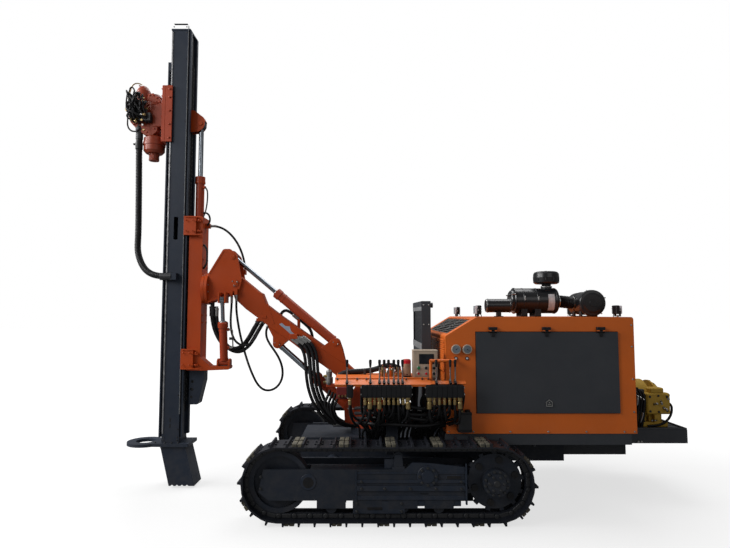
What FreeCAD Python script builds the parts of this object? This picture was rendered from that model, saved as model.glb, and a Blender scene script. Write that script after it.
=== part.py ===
import FreeCAD, Part
import math
import os
import Sketcher

os.makedirs("parts", exist_ok=True)
doc = FreeCAD.newDocument("DrillingRig")

# A crawler drilling rig: two tracks, a power pack in a cabinet, a boom and an upright feed mast.
# The mast is at -X, the cabinet at +X, the operator's table on the near side at -Y, the ground at Z = 0.

# Driving sizes, in millimetres and degrees: name, value
SIZES = (
    # tracks: one side is a frame, an idler in front, a drive sprocket behind and a loop of shoes
    ("track_gauge", 2050),
    ("track_middle", -75),
    ("wheel_base", 1880),
    ("shoe_count", 42),
    ("shoe_pitch", 135),
    ("shoe_width", 300),
    ("shoe_thick", 12),
    ("lug_rise", 30),
    ("lug_thick", 14),
    ("pad_rise", 16),
    ("pad_width", 110),
    ("pad_length", 70),
    ("link_rise", 44),
    ("link_thick", 34),
    ("link_spread", 92),
    ("rail_gap", 0.3),
    ("frame_wide", 176),
    ("frame_rise", 262),
    ("frame_wall", 22),
    ("frame_nose", 175),
    ("frame_tail", 254),
    ("roller_radius", 48),
    ("roller_length", 150),
    ("hub_radius", 116),
    ("hub_length", 150),
    ("axle_radius", 64),
    # chassis
    ("chassis_front", -915),
    ("chassis_length", 2650),
    ("chassis_wide", 640),
    ("chassis_base", 330),
    ("chassis_rise", 230),
    # boom post, turning on the chassis
    ("post_x", -205),
    ("ring_radius", 215),
    ("ring_rise", 58),
    ("post_gap", 0.3),
    ("post_radius", 195),
    ("post_floor", 40),
    ("cheek_thick", 28),
    ("cheek_rise", 480),
    ("pin_side_gap", 5),
    ("pin_radius", 26),
    ("eye_radius", 62),
    # boom: its foot pin from the post, and its tip pin from the foot pin
    ("boom_foot_back", 44),
    ("boom_foot_height", 1070),
    ("boom_reach", 1415),
    ("boom_climb", 1064),
    ("boom_deep", 155),
    ("boom_wide", 150),
    ("boom_wall", 12),
    # lift cylinder, below the boom
    ("lift_base_x", -214),
    ("lift_base_z", 797),
    ("lift_eye_along", 1015),
    ("lift_eye_drop", 244),
    ("lift_barrel_radius", 56),
    ("lift_barrel_length", 520),
    ("lift_rod_radius", 30),
    ("lift_rod_inside", 290),
    # pitch cylinder, above the boom
    ("pitch_base_along", 520),
    ("pitch_base_rise", 137),
    ("pitch_ear_gap", 120),
    ("pitch_eye_x", -29),
    ("pitch_eye_z", 285),
    ("pitch_barrel_radius", 50),
    ("pitch_barrel_length", 845),
    ("pitch_rod_radius", 23),
    ("pitch_rod_inside", 345),
    # boom swing cylinder, level, on the far side
    ("turn_base_x", 411),
    ("turn_arm", 250),
    ("turn_height", 672),
    ("turn_barrel_radius", 38),
    ("turn_barrel_length", 350),
    ("turn_rod_radius", 20),
    ("turn_rod_inside", 160),
    ("turn_eye_radius", 40),
    ("turn_eye_thick", 46),
    # arm head: the pair of plates that turns on the boom's tip pin
    ("arm_thick", 22),
    ("arm_reach", 286),
    ("flange_radius", 172),
    ("flange_thick", 30),
    ("flange_drop", 58),
    ("hinge_pin_radius", 48),
    # slide frame, behind the mast
    ("slide_gap", 5),
    ("slide_deep", 144),
    ("slide_wide", 220),
    ("slide_wall", 20),
    ("slide_above", 716),
    ("slide_below", 927),
    ("tail_length", 360),
    ("jaw_tall", 205),
    ("jaw_thick", 15),
    ("jaw_side", 20),
    # feed swing cylinder, beside the slide frame
    ("sway_base_y", -70),
    ("sway_base_z", 1290),
    ("sway_eye_y", -190),
    ("sway_eye_z", 1955),
    ("sway_x", -1770),
    ("sway_barrel_radius", 42),
    ("sway_barrel_length", 430),
    ("sway_rod_radius", 20),
    ("sway_rod_inside", 240),
    ("sway_eye_radius", 34),
    ("sway_eye_thick", 40),
    ("sway_foot_gap", 106),
    # mast
    ("mast_gap", 56),
    ("mast_deep", 180),
    ("mast_wide", 250),
    ("mast_wall", 12),
    ("mast_top", 4925),
    ("mast_base", 457.3),
    ("lip_deep", 14),
    ("lip_gap", 20),
    ("lip_wide", 45),
    ("neck_wide", 20),
    ("stop_height", 4470),
    # mast extending cylinder
    ("push_barrel_radius", 46),
    ("push_rod_radius", 26),
    ("push_barrel_top", 3310),
    ("push_barrel_base", 2000),
    ("push_rod_inside", 560),
    ("push_lug_base", 3843),
    ("push_lug_rise", 202),
    # rotary head on its carriage
    ("drill_reach", 210),
    ("carriage_base", 3713),
    ("carriage_rise", 651),
    ("carriage_wide", 300),
    ("carriage_deep", 117),
    ("gearbox_base", 3776),
    ("gearbox_rise", 467),
    ("gearbox_wide", 240),
    ("gearbox_deep", 185),
    ("motor_radius", 78),
    ("motor_base", 3930),
    ("motor_rise", 360),
    ("bell_radius", 112),
    ("bell_base", 3572),
    ("spindle_radius", 54),
    ("spindle_base", 3493),
    ("spindle_bore", 24),
    # guide ring and foot at the mast's lower end
    ("guide_bore", 100),
    ("guide_radius", 190),
    ("guide_thick", 32),
    ("guide_height", 425),
    ("claw_lean", 105),
    ("claw_wall", 20),
    ("claw_clear", 22),
    # power pack cabinet on its base
    ("deck_front", 471),
    ("deck_rise", 102),
    ("deck_base", 602),
    ("cab_front", 481),
    ("cab_length", 1758),
    ("cab_side_gap", 52),
    ("cab_rise", 1071),
    ("cab_wall", 24),
    ("brow_rise", 178),
    ("brow_run", 294),
    ("door_front", 764),
    ("door_length", 1320),
    ("door_base", 892),
    ("door_rise", 743),
    ("door_thick", 22),
    ("door_gap", 5),
    ("slat_thick", 6),
    ("engine_length", 900),
    ("engine_wide", 620),
    ("engine_rise", 640),
    # oil cooler in front of the cabinet
    ("cooler_front", 295),
    ("cooler_deep", 89),
    ("cooler_wide", 940),
    ("cooler_base", 760),
    ("cooler_rise", 1172),
    ("cooler_tank", 80),
    # roof pieces
    ("muffler_x", 1045),
    ("muffler_y", -430),
    ("muffler_lift", 145),
    ("muffler_length", 150),
    ("muffler_radius", 70),
    ("cleaner_radius", 118),
    ("cleaner_x", 1260),
    ("cleaner_length", 490),
    ("cleaner_y", -200),
    ("cleaner_z", 1945),
    ("cross_x", 2115),
    ("cross_length", 420),
    # rear
    ("rear_length", 646),
    ("rear_wide", 1000),
    ("rear_base", 543),
    ("rear_rise", 131),
    ("airend_length", 470),
    ("airend_radius", 215),
    # operator's table
    ("table_front", -541),
    ("table_length", 860),
    ("table_wide", 425),
    ("table_step", 102),
    ("table_base", 1160),
    ("table_rise", 62),
    ("bank_deep", 80),
    ("bank_rise", 112),
    ("tube_radius", 14),
    ("control_x", 175),
    ("jar_x", 120),
    ("tank_x", 576),
    ("gauge_z", 1476),
)

# Work lamps on the cabinet: place behind its front, share of its half width, drop below the roof
LAMPS = ((115, -0.905, 112), (343, -0.729, 0), (1714, -0.729, 0), (343, 0.729, 0), (1714, 0.729, 0))

# Valve banks on the near edge of the table: front end, length
BANKS = ((-435, 60), (-290, 428), (285, 320))

# Lever places along the banks
LEVERS = (-405, -205, -115, -75, -30, 17, 61, 111, 365, 495, 540)


class Size:
    """A number together with the expression on the sheet that gives it."""

    def __init__(self, value, text):
        self.value = float(value)
        self.text = text

    def __add__(self, other):
        other = size(other)
        return Size(self.value + other.value, "(%s + %s)" % (self.text, other.text))

    def __radd__(self, other):
        return size(other) + self

    def __sub__(self, other):
        other = size(other)
        return Size(self.value - other.value, "(%s - %s)" % (self.text, other.text))

    def __rsub__(self, other):
        return size(other) - self

    def __mul__(self, other):
        other = size(other)
        return Size(self.value * other.value, "(%s * %s)" % (self.text, other.text))

    def __rmul__(self, other):
        return size(other) * self

    def __truediv__(self, other):
        other = size(other)
        return Size(self.value / other.value, "(%s / %s)" % (self.text, other.text))

    def __neg__(self):
        return Size(-self.value, "(0 - %s)" % self.text)


def size(value):
    """A Size as it is, or a plain number made into one."""
    if isinstance(value, Size):
        return value
    return Size(value, "%.6g" % value if value >= 0 else "(0 - %.6g)" % -value)


def span(dx, dz):
    """The distance across two right-angled steps."""
    dx = size(dx)
    dz = size(dz)
    return Size(math.hypot(dx.value, dz.value), "sqrt((%s)^2 + (%s)^2)" % (dx.text, dz.text))


def slope(dz, dx):
    """The angle in degrees of a line that rises dz over dx."""
    dx = size(dx)
    dz = size(dz)
    return Size(math.degrees(math.atan2(dz.value, dx.value)), "(atan2(%s; %s) / 1 deg)" % (dz.text, dx.text))


def cosine(angle):
    return Size(math.cos(math.radians(angle.value)), "cos(%s * 1 deg)" % angle.text)


def sine(angle):
    return Size(math.sin(math.radians(angle.value)), "sin(%s * 1 deg)" % angle.text)


class Sheet:
    """The driving sizes by name."""


sheet = doc.addObject("Spreadsheet::Sheet", "Sizes")
s = Sheet()
for row, (alias, value) in enumerate(SIZES, start=1):
    sheet.set("A%d" % row, alias.replace("_", " "))
    sheet.set("B%d" % row, str(value))
    sheet.setAlias("B%d" % row, alias)
    setattr(s, alias, Size(value, "Sizes." + alias))
doc.recompute()

# the cabinet fits between the tracks, and the table stands out beyond its near side
s.cab_wide = s.track_gauge - s.shoe_width - 2 * s.cab_side_gap
s.table_near = -(s.cab_wide / 2) - s.table_step

nodes = []


def bind(thing, prop, value):
    """Ties one property of an object to the sheet."""
    value = size(value)
    thing.setExpression(prop, value.text)


def put(thing, x, y, z, turn_axis=None, turn=None):
    """Places an object, turned about an axis by an angle if one is given."""
    x, y, z = size(x), size(y), size(z)
    rotation = FreeCAD.Rotation()
    if turn_axis is not None:
        rotation = FreeCAD.Rotation(FreeCAD.Vector(*turn_axis), size(turn).value)
    thing.Placement = FreeCAD.Placement(FreeCAD.Vector(x.value, y.value, z.value), rotation)
    bind(thing, "Placement.Base.x", x)
    bind(thing, "Placement.Base.y", y)
    bind(thing, "Placement.Base.z", z)
    if isinstance(turn, Size):
        thing.setExpression("Placement.Rotation.Angle", turn.text + " * 1 deg")


def block(name, x, y, z, length, width, height):
    """A box from its lowest corner."""
    made = doc.addObject("Part::Box", name)
    for prop, value in (("Length", length), ("Width", width), ("Height", height)):
        setattr(made, prop, size(value).value)
        bind(made, prop, value)
    put(made, x, y, z)
    return made


def slab(name, x, z, length, width, height, y=0):
    """A box that is centred across the machine, or on y."""
    return block(name, x, size(y) - size(width) / 2, z, length, width, height)


AXIS_TURN = {"z": (None, None), "x": ((0, 1, 0), 90), "y": ((1, 0, 0), -90)}


def bar(name, along, x, y, z, radius, length):
    """A round bar that starts at a point and runs along +X, +Y or +Z."""
    made = doc.addObject("Part::Cylinder", name)
    made.Radius = size(radius).value
    made.Height = size(length).value
    bind(made, "Radius", radius)
    bind(made, "Height", length)
    turn_axis, turn = AXIS_TURN[along]
    put(made, x, y, z, turn_axis, turn)
    return made


def taper(name, along, x, y, z, radius, far_radius, length):
    """A cone that starts at a point and runs along +X, +Y or +Z."""
    made = doc.addObject("Part::Cone", name)
    for prop, value in (("Radius1", radius), ("Radius2", far_radius), ("Height", length)):
        setattr(made, prop, size(value).value)
        bind(made, prop, value)
    turn_axis, turn = AXIS_TURN[along]
    put(made, x, y, z, turn_axis, turn)
    return made


def cross_bar(name, x, z, radius, length, y=0):
    """A round bar across the machine, centred on y."""
    return bar(name, "y", x, size(y) - size(length) / 2, z, radius, length)


SKETCH_TURN = {"xy": FreeCAD.Rotation(),
               "xz": FreeCAD.Rotation(FreeCAD.Vector(1, 0, 0), 90),
               "yz": FreeCAD.Rotation(FreeCAD.Vector(1, 1, 1), 120)}
PUSH = {"xy": FreeCAD.Vector(0, 0, 1), "xz": FreeCAD.Vector(0, 1, 0), "yz": FreeCAD.Vector(1, 0, 0)}
START = {"xy": "Placement.Base.z", "xz": "Placement.Base.y", "yz": "Placement.Base.x"}


def rounded_corner(before, corner, after, radius):
    """Where a corner's arc leaves its two sides, and the arc itself."""
    to_before = (before - corner).normalize()
    to_after = (after - corner).normalize()
    half = to_before.getAngle(to_after) / 2
    reach = radius / math.tan(half)
    middle = (to_before + to_after).normalize()
    centre = corner + middle * (radius / math.sin(half))
    first = corner + to_before * reach
    last = corner + to_after * reach
    crest = centre - middle * radius
    return first, crest, last


def draw(sketch, corners):
    """Draws a closed outline of corners (u, v) or (u, v, radius), each tied to the sheet."""
    points = [FreeCAD.Vector(size(c[0]).value, size(c[1]).value, 0) for c in corners]
    count = len(points)
    starts, ends, arcs = {}, {}, {}
    for i, corner in enumerate(corners):
        if len(corner) == 3:
            first, crest, last = rounded_corner(points[i - 1], points[i], points[(i + 1) % count],
                                                size(corner[2]).value)
            arcs[i] = (first, crest, last)
            ends[i] = first
            starts[i] = last
        else:
            starts[i] = ends[i] = points[i]
    lines = []
    for i in range(count):
        lines.append(sketch.addGeometry(Part.LineSegment(starts[i], ends[(i + 1) % count])))
    for i, corner in enumerate(corners):
        before, after = lines[i - 1], lines[i]
        if i in arcs:
            arc = sketch.addGeometry(Part.Arc(*arcs[i]))
            mark = sketch.addGeometry(Part.Point(points[i]), True)
            turned = (points[i] - points[i - 1]).cross(points[(i + 1) % count] - points[i]).z
            first_end, last_end = (1, 2) if turned > 0 else (2, 1)
            sketch.addConstraint(Sketcher.Constraint("Tangent", before, 2, arc, first_end))
            sketch.addConstraint(Sketcher.Constraint("Tangent", arc, last_end, after, 1))
            number = sketch.addConstraint(Sketcher.Constraint("Radius", arc, size(corner[2]).value))
            sketch.setExpression("Constraints[%d]" % number, size(corner[2]).text)
            sketch.addConstraint(Sketcher.Constraint("PointOnObject", mark, 1, before))
            sketch.addConstraint(Sketcher.Constraint("PointOnObject", mark, 1, after))
            held, spot = mark, 1
        else:
            sketch.addConstraint(Sketcher.Constraint("Coincident", before, 2, after, 1))
            held, spot = after, 1
        for kind, value in (("DistanceX", corner[0]), ("DistanceY", corner[1])):
            value = size(value)
            number = sketch.addConstraint(Sketcher.Constraint(kind, -1, 1, held, spot, value.value))
            sketch.setExpression("Constraints[%d]" % number, value.text)


def draw_hole(sketch, u, v, radius):
    """Draws a round hole in an outline."""
    u, v, radius = size(u), size(v), size(radius)
    ring = sketch.addGeometry(Part.Circle(FreeCAD.Vector(u.value, v.value, 0), FreeCAD.Vector(0, 0, 1),
                                          radius.value))
    number = sketch.addConstraint(Sketcher.Constraint("DistanceX", -1, 1, ring, 3, u.value))
    sketch.setExpression("Constraints[%d]" % number, u.text)
    number = sketch.addConstraint(Sketcher.Constraint("DistanceY", -1, 1, ring, 3, v.value))
    sketch.setExpression("Constraints[%d]" % number, v.text)
    number = sketch.addConstraint(Sketcher.Constraint("Radius", ring, radius.value))
    sketch.setExpression("Constraints[%d]" % number, radius.text)


def plate(name, side, corners, start, thick, holes=()):
    """A plate with a drawn outline on the xy, xz or yz plane, from start and thick along the third axis."""
    sketch = doc.addObject("Sketcher::SketchObject", name + "_outline")
    start = size(start)
    sketch.Placement = FreeCAD.Placement(PUSH[side] * start.value, SKETCH_TURN[side])
    bind(sketch, START[side], start)
    draw(sketch, corners)
    for u, v, radius in holes:
        draw_hole(sketch, u, v, radius)
    made = doc.addObject("Part::Extrusion", name)
    made.Base = sketch
    made.DirMode = "Custom"
    made.Dir = PUSH[side]
    made.Solid = True
    made.LengthFwd = size(thick).value
    bind(made, "LengthFwd", thick)
    return made


def join(name, *pieces):
    """Several pieces welded into one."""
    made = doc.addObject("Part::MultiFuse", name)
    made.Shapes = list(pieces)
    made.Refine = True
    return made


def cut(name, base, *tools):
    """A piece with others taken out of it."""
    made = doc.addObject("Part::Cut", name)
    made.Base = base
    made.Tool = tools[0] if len(tools) == 1 else together(name + "_tools", *tools)
    made.Refine = True
    return made


def together(name, *pieces):
    """Separate pieces kept side by side."""
    made = doc.addObject("Part::Compound", name)
    made.Links = list(pieces)
    return made


def node(label, thing):
    """Names a finished sub-part."""
    thing.Label = label
    nodes.append(thing)
    return thing


def ears(name, side, corners, middle, inside, thick, holes=()):
    """A pair of like plates on both sides of a gap."""
    half = size(inside) / 2
    first = plate(name + "_a", side, corners, size(middle) - half - thick, thick, holes)
    second = plate(name + "_b", side, corners, size(middle) + half, thick, holes)
    return [first, second]


# key heights and places
wheel_z = s.lug_rise + s.shoe_thick + s.shoe_count * s.shoe_pitch / (2 * math.pi) - s.wheel_base / math.pi
loop_radius = wheel_z - s.lug_rise - s.shoe_thick
rail_radius = loop_radius - s.link_rise
idler_x = s.track_middle - s.wheel_base / 2
sprocket_x = idler_x + s.wheel_base
frame_side = s.frame_wide / 2
frame_base = wheel_z - s.frame_rise * 0.56
chassis_top = s.chassis_base + s.chassis_rise


def loop_point(along, lift):
    """A point of the track loop, by distance along its pitch line from under the idler, lifted outwards."""
    radius = loop_radius.value
    base = s.wheel_base.value
    arc = math.pi * radius
    along = along % (2 * base + 2 * arc)
    front = idler_x.value
    middle = wheel_z.value
    if along < base:
        return front + along, middle - radius - lift
    along -= base
    if along < arc:
        angle = along / radius - math.pi / 2
        return front + base + (radius + lift) * math.cos(angle), middle + (radius + lift) * math.sin(angle)
    along -= arc
    if along < base:
        return front + base - along, middle + radius + lift
    angle = (along - base) / radius + math.pi / 2
    return front + (radius + lift) * math.cos(angle), middle + (radius + lift) * math.sin(angle)


def track_loop(label, side):
    """One endless track: plates with grouser lugs on two link rails, and a rubber pad on every third shoe."""
    middle = side * s.track_gauge.value / 2
    pitch = s.shoe_pitch.value
    width = s.shoe_width.value
    outer = []
    inner = []
    pads = []
    lug_at = pitch * 0.28
    for shoe in range(int(s.shoe_count.value)):
        start = shoe * pitch
        # plate front, lug foot, lug crest front and back, lug foot, plate back
        steps = ((4, s.shoe_thick.value), (lug_at, s.shoe_thick.value),
                 (lug_at + 3, s.shoe_thick.value + s.lug_rise.value),
                 (lug_at + 3 + s.lug_thick.value, s.shoe_thick.value + s.lug_rise.value),
                 (lug_at + 8 + s.lug_thick.value, s.shoe_thick.value), (pitch - 4, s.shoe_thick.value))
        outer += [loop_point(start + along, lift) for along, lift in steps]
        inner += [loop_point(start, 0)]
        if shoe % 3 == 0:
            pads.append(start + pitch * 0.72)
    face = Part.Face([Part.makePolygon([FreeCAD.Vector(x, 0, z) for x, z in ring + ring[:1]])
                      for ring in (outer, inner)])
    face.validate()
    solid = face.extrude(FreeCAD.Vector(0, width, 0))
    solid.translate(FreeCAD.Vector(0, middle - width / 2, 0))
    pieces = []
    pad_sink = 2
    for along in pads:
        corners = [loop_point(along + step, lift) for step, lift in (
            (-s.pad_length.value / 2, s.shoe_thick.value - pad_sink),
            (s.pad_length.value / 2, s.shoe_thick.value - pad_sink),
            (s.pad_length.value / 2 - 8, s.shoe_thick.value + s.pad_rise.value),
            (-s.pad_length.value / 2 + 8, s.shoe_thick.value + s.pad_rise.value))]
        pad = Part.Face(Part.makePolygon([FreeCAD.Vector(x, 0, z) for x, z in corners + corners[:1]]))
        for edge in (-1, 1):
            one = pad.extrude(FreeCAD.Vector(0, s.pad_width.value, 0))
            one.translate(FreeCAD.Vector(0, middle + edge * 80 - s.pad_width.value / 2, 0))
            pieces.append(one)
    for edge in (-1, 1):
        rails = []
        for radius in (loop_radius.value + 1, rail_radius.value):
            low = wheel_z.value - radius
            high = wheel_z.value + radius
            front, back = idler_x.value, sprocket_x.value
            rails.append(Part.Wire([
                Part.makeLine(FreeCAD.Vector(front, 0, low), FreeCAD.Vector(back, 0, low)),
                Part.Arc(FreeCAD.Vector(back, 0, low), FreeCAD.Vector(back + radius, 0, wheel_z.value),
                         FreeCAD.Vector(back, 0, high)).toShape(),
                Part.makeLine(FreeCAD.Vector(back, 0, high), FreeCAD.Vector(front, 0, high)),
                Part.Arc(FreeCAD.Vector(front, 0, high), FreeCAD.Vector(front - radius, 0, wheel_z.value),
                         FreeCAD.Vector(front, 0, low)).toShape()]))
        band = Part.Face(rails[0]).cut(Part.Face(rails[1]))
        rail = band.extrude(FreeCAD.Vector(0, s.link_thick.value, 0))
        rail.translate(FreeCAD.Vector(0, middle + edge * s.link_spread.value / 2 - s.link_thick.value / 2, 0))
        pieces.append(rail)
    made = doc.addObject("Part::Feature", label)
    made.Shape = solid.multiFuse(pieces)
    made.Placement = FreeCAD.Placement()
    return node(label, made)


def track_frame(label, side):
    """The side frame: a beam with a forked nose round the idler, skids for the rollers and a carrier post."""
    middle = s.track_gauge * side / 2
    nose = idler_x - s.frame_nose
    tail = sprocket_x - s.frame_tail
    top = frame_base + s.frame_rise
    shell = plate(label + "_beam", "xz", [(nose, frame_base + 70), (nose + 40, top), (tail, top, 20),
                                          (tail, frame_base, 20), (nose + 90, frame_base)],
                  middle - frame_side, s.frame_wide,
                  holes=[(idler_x + 256, wheel_z + 10, 46)])
    fork = slab(label + "_fork", nose - 10, frame_base - 10, s.frame_nose + rail_radius + 20,
                s.frame_wide - 2 * s.frame_wall, s.frame_rise + 20, middle)
    motor_gap = slab(label + "_motor_gap", tail - 90, frame_base - 10, 100, s.frame_wide - 2 * s.frame_wall,
                     s.frame_rise + 20, middle)
    skids = []
    for number in range(4):
        left = idler_x + 330 + number * 310
        for edge in (-1, 1):
            skids.append(slab(label + "_skid_%d_%d" % (number, edge + 1), left, frame_base - 66, 250, s.frame_wall, 70,
                              middle + (frame_side - s.frame_wall / 2) * edge))
    post = slab(label + "_post", idler_x + 980, top - 5, 110, s.frame_wide, 30, middle)
    carrier_ears = ears(label + "_carrier_ear", "xz",
                        [(idler_x + 990, top - 5), (idler_x + 1080, top - 5),
                         (idler_x + 1065, wheel_z + rail_radius - 20, 20), (idler_x + 1005, wheel_z + rail_radius - 20, 20)],
                        middle, 142, 14)
    bridge = slab(label + "_bridge", tail - 30, frame_base + 8, 24, s.frame_wide, s.frame_rise - 16, middle)
    body = cut(label + "_body", shell, fork, motor_gap)
    return node(label, join(label, body, post, bridge, *carrier_ears, *skids))


def idler(label, side):
    """The front idler wheel, on its axle between the fork's cheeks."""
    middle = s.track_gauge * side / 2
    inside = s.frame_wide - 2 * s.frame_wall
    rim = cross_bar(label + "_rim", idler_x, wheel_z, rail_radius - s.rail_gap, 120, middle)
    groove_out = cross_bar(label + "_groove_out", idler_x, wheel_z, rail_radius - 40, 130, middle)
    groove_in = cross_bar(label + "_groove_in", idler_x, wheel_z, rail_radius - 38, 50, middle)
    hub = cross_bar(label + "_hub", idler_x, wheel_z, 70, inside - 2, middle)
    ring = cut(label + "_ring", rim, groove_out)
    return join(label, ring, groove_in, hub)


def sprocket(label, side):
    """The drive sprocket with its teeth, on a hydraulic hub motor that is bolted to the frame's tail."""
    middle = s.track_gauge * side / 2
    disc = cross_bar(label + "_disc", sprocket_x, wheel_z, rail_radius - 26, 44, middle)
    hub = cross_bar(label + "_hub", sprocket_x, wheel_z, s.hub_radius, s.hub_length + 60, middle)
    cover = cross_bar(label + "_cover", sprocket_x, wheel_z, s.hub_radius - 34, s.hub_length + 84, middle)
    teeth = []
    count = 13
    for tooth in range(count):
        turn = 360.0 * tooth / count
        one = block(label + "_tooth_%d" % tooth, -18, middle - 20, 0, 36, 40, rail_radius - s.rail_gap - 2)
        put(one, sprocket_x - 18 * math.cos(math.radians(turn)), middle - 20,
            wheel_z + 18 * math.sin(math.radians(turn)), (0, 1, 0), turn)
        teeth.append(one)
    mount = slab(label + "_mount", sprocket_x - s.frame_tail + 0.3, wheel_z - 70, s.frame_tail - 60, 30, 140,
                 middle - side * (s.frame_wide / 2 - 15))
    return node(label, join(label, disc, hub, cover, mount, *teeth))


def rollers(label, side):
    """Four lower rollers and one carrier roller, each on its own pin."""
    middle = s.track_gauge * side / 2
    made = []
    for number in range(4):
        x = idler_x + 330 + 125 + number * 310
        z = wheel_z - rail_radius + s.roller_radius + s.rail_gap
        body = cross_bar(label + "_roller_%d" % number, x, z, s.roller_radius, s.frame_wide - 2 * s.frame_wall - 2, middle)
        made.append(body)
    x = idler_x + 1035
    z = wheel_z + rail_radius - 40 - s.rail_gap
    made.append(cross_bar(label + "_carrier", x, z, 40, 141.4, middle))
    return made


for side_name, side in (("near", -1), ("far", 1)):
    track_loop("track_" + side_name, side)
    track_frame("track_frame_" + side_name, side)
    sprocket("sprocket_" + side_name, side)
    node("wheels_" + side_name, together("wheels_" + side_name, idler("idler_" + side_name, side),
                                         *rollers("rollers_" + side_name, side)))

# chassis: a box between the tracks with two cross axles that carry the side frames
box_beam = slab("chassis_box", s.chassis_front, s.chassis_base, s.chassis_length, s.chassis_wide, s.chassis_rise)
axle_span = s.track_gauge - s.frame_wide
axle_front = cross_bar("axle_front", idler_x + 420, frame_base + s.frame_rise / 2, s.axle_radius, axle_span)
axle_rear = cross_bar("axle_rear", sprocket_x - 420, frame_base + s.frame_rise / 2, s.axle_radius, axle_span)
slew_ring = bar("slew_ring", "z", s.post_x, 0, chassis_top - 1, s.ring_radius, s.ring_rise + 1)
turn_base = slab("turn_base", s.turn_base_x - 14, chassis_top - 1, 70, 44,
                 s.turn_height - s.turn_eye_thick / 2 - 5 - chassis_top + 1, s.turn_arm)
turn_cap_leg = slab("turn_cap_leg", s.turn_base_x + 42, chassis_top - 1, 14, 80,
                    s.turn_height + s.turn_eye_thick / 2 + 25 - chassis_top + 1, s.turn_arm)
turn_cap = slab("turn_cap", s.turn_base_x - 14, s.turn_height + s.turn_eye_thick / 2 + 5, 70, 44, 20, s.turn_arm)
turn_pin = bar("turn_pin", "z", s.turn_base_x, s.turn_arm, chassis_top + 20, s.turn_rod_radius - 2,
               s.turn_height + s.turn_eye_thick / 2 + 25 - chassis_top - 20)
table_leg = block("table_leg", s.table_front + 470, s.table_near + 160, chassis_top - 60, 110, 90,
                  s.table_base - chassis_top + 60)
table_arm = block("table_arm", s.table_front + 470, s.table_near + 200, chassis_top - 60, 110,
                  -(s.table_near + 200) - s.chassis_wide / 2 + 10, 60)
node("chassis_frame", join("chassis_frame", box_beam, axle_front, axle_rear, slew_ring, turn_base, turn_cap_leg,
                           turn_cap, turn_pin, table_leg, table_arm))

# the boom's pins, and points given along and above its centre line
foot_x = s.post_x - s.boom_foot_back
foot_z = s.boom_foot_height
tip_x = foot_x - s.boom_reach
tip_z = foot_z + s.boom_climb
boom_turn = slope(s.boom_climb, s.boom_reach)
boom_length = span(s.boom_reach, s.boom_climb)
post_base = chassis_top + s.ring_rise + s.post_gap


def on_boom(along, rise):
    """A point beside the boom, along from the foot pin and risen from the centre line."""
    x = foot_x - along * cosine(boom_turn) + rise * sine(boom_turn)
    z = foot_z + along * sine(boom_turn) + rise * cosine(boom_turn)
    return x, z


def ram_barrel(label, along, across, radius, length, rod_radius, eye_radius, eye_wide, pin_radius):
    """A hydraulic barrel from its base eye at the origin, along one axis, with its pin across it."""
    far = {"x": lambda d: (d, 0, 0), "y": lambda d: (0, d, 0), "z": lambda d: (0, 0, d)}[along]
    side = {"x": lambda d: (d, 0, 0), "y": lambda d: (0, d, 0), "z": lambda d: (0, 0, d)}[across]
    tube = bar(label + "_tube", along, *far(eye_radius * 0.7), radius, length - eye_radius * 0.7)
    gland = bar(label + "_gland", along, *far(length - radius * 1.1), radius + 6, radius * 1.1)
    cap = bar(label + "_cap", along, *far(eye_radius * 0.7), radius + 4, radius * 0.5)
    port = bar(label + "_port", along, *far(length - radius * 2.2), radius + 3, radius * 0.35)
    eye = bar(label + "_eye", across, *side(-size(eye_wide) / 2), eye_radius, eye_wide)
    bore = bar(label + "_bore", along, *far(eye_radius * 1.25), rod_radius + 1, length)
    pin_hole = bar(label + "_pin_hole", across, *side(-size(eye_wide)), pin_radius + 0.5, 2 * size(eye_wide))
    return node(label, cut(label, join(label + "_body", tube, gland, cap, port, eye), bore, pin_hole))


def ram_rod(label, along, across, reach, start, rod_radius, eye_radius, eye_wide, pin_radius):
    """A chromed rod in the same frame as its barrel, from inside it out to the eye, with a solid pin."""
    far = {"x": lambda d: (d, 0, 0), "y": lambda d: (0, d, 0), "z": lambda d: (0, 0, d)}[along]

    def side(d):
        x, y, z = far(reach)
        return (x, y, z) if across == along else {"x": (d, y, z), "y": (x, d, z), "z": (x, y, d)}[across]

    stem = bar(label + "_stem", along, *far(start), rod_radius, reach - start)
    neck = bar(label + "_neck", along, *far(reach - eye_radius * 1.6), rod_radius * 1.1, eye_radius * 1.2)
    eye = bar(label + "_eye", across, *side(-size(eye_wide) / 2), eye_radius, eye_wide)
    return node(label, join(label, stem, neck, eye))


def pin_heads(name, x, z, radius, half, thick=8):
    """The two round heads of a pin, outside a pair of ears."""
    return [cross_bar(name + "_near", x, z, radius, thick, -(size(half) + size(thick) / 2) + 1),
            cross_bar(name + "_far", x, z, radius, thick, size(half) + size(thick) / 2 - 1)]


# turning post on the slew ring: two cheeks that hold the boom foot pin and the lift cylinder's base pin
cheek_gap = s.boom_wide + 2 * s.pin_side_gap
lift_x = s.lift_base_x + s.post_x
lift_z = s.lift_base_z
post_disc = bar("post_disc", "z", s.post_x, 0, post_base, s.post_radius, s.post_floor)
cheeks = ears("post_cheek", "xz",
              [(lift_x - 62, post_base + 30, 20), (lift_x - 70, lift_z + 40, 60), (foot_x - 85, foot_z + 10, 60),
               (foot_x - 30, foot_z + 78, 60), (foot_x + 84, foot_z + 40, 60),
               (s.post_x + 150, post_base + 200, 60), (s.post_x + 175, post_base + 30)],
              0, cheek_gap, s.cheek_thick)
post_web = slab("post_web", s.post_x + 60, post_base + 20, 30, cheek_gap + 4, 210)
post_floor = slab("post_floor", lift_x - 62, post_base, 300, cheek_gap + 2 * s.cheek_thick, s.post_floor)
foot_pin = cross_bar("foot_pin", foot_x, foot_z, s.pin_radius, cheek_gap + 2 * s.cheek_thick)
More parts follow.
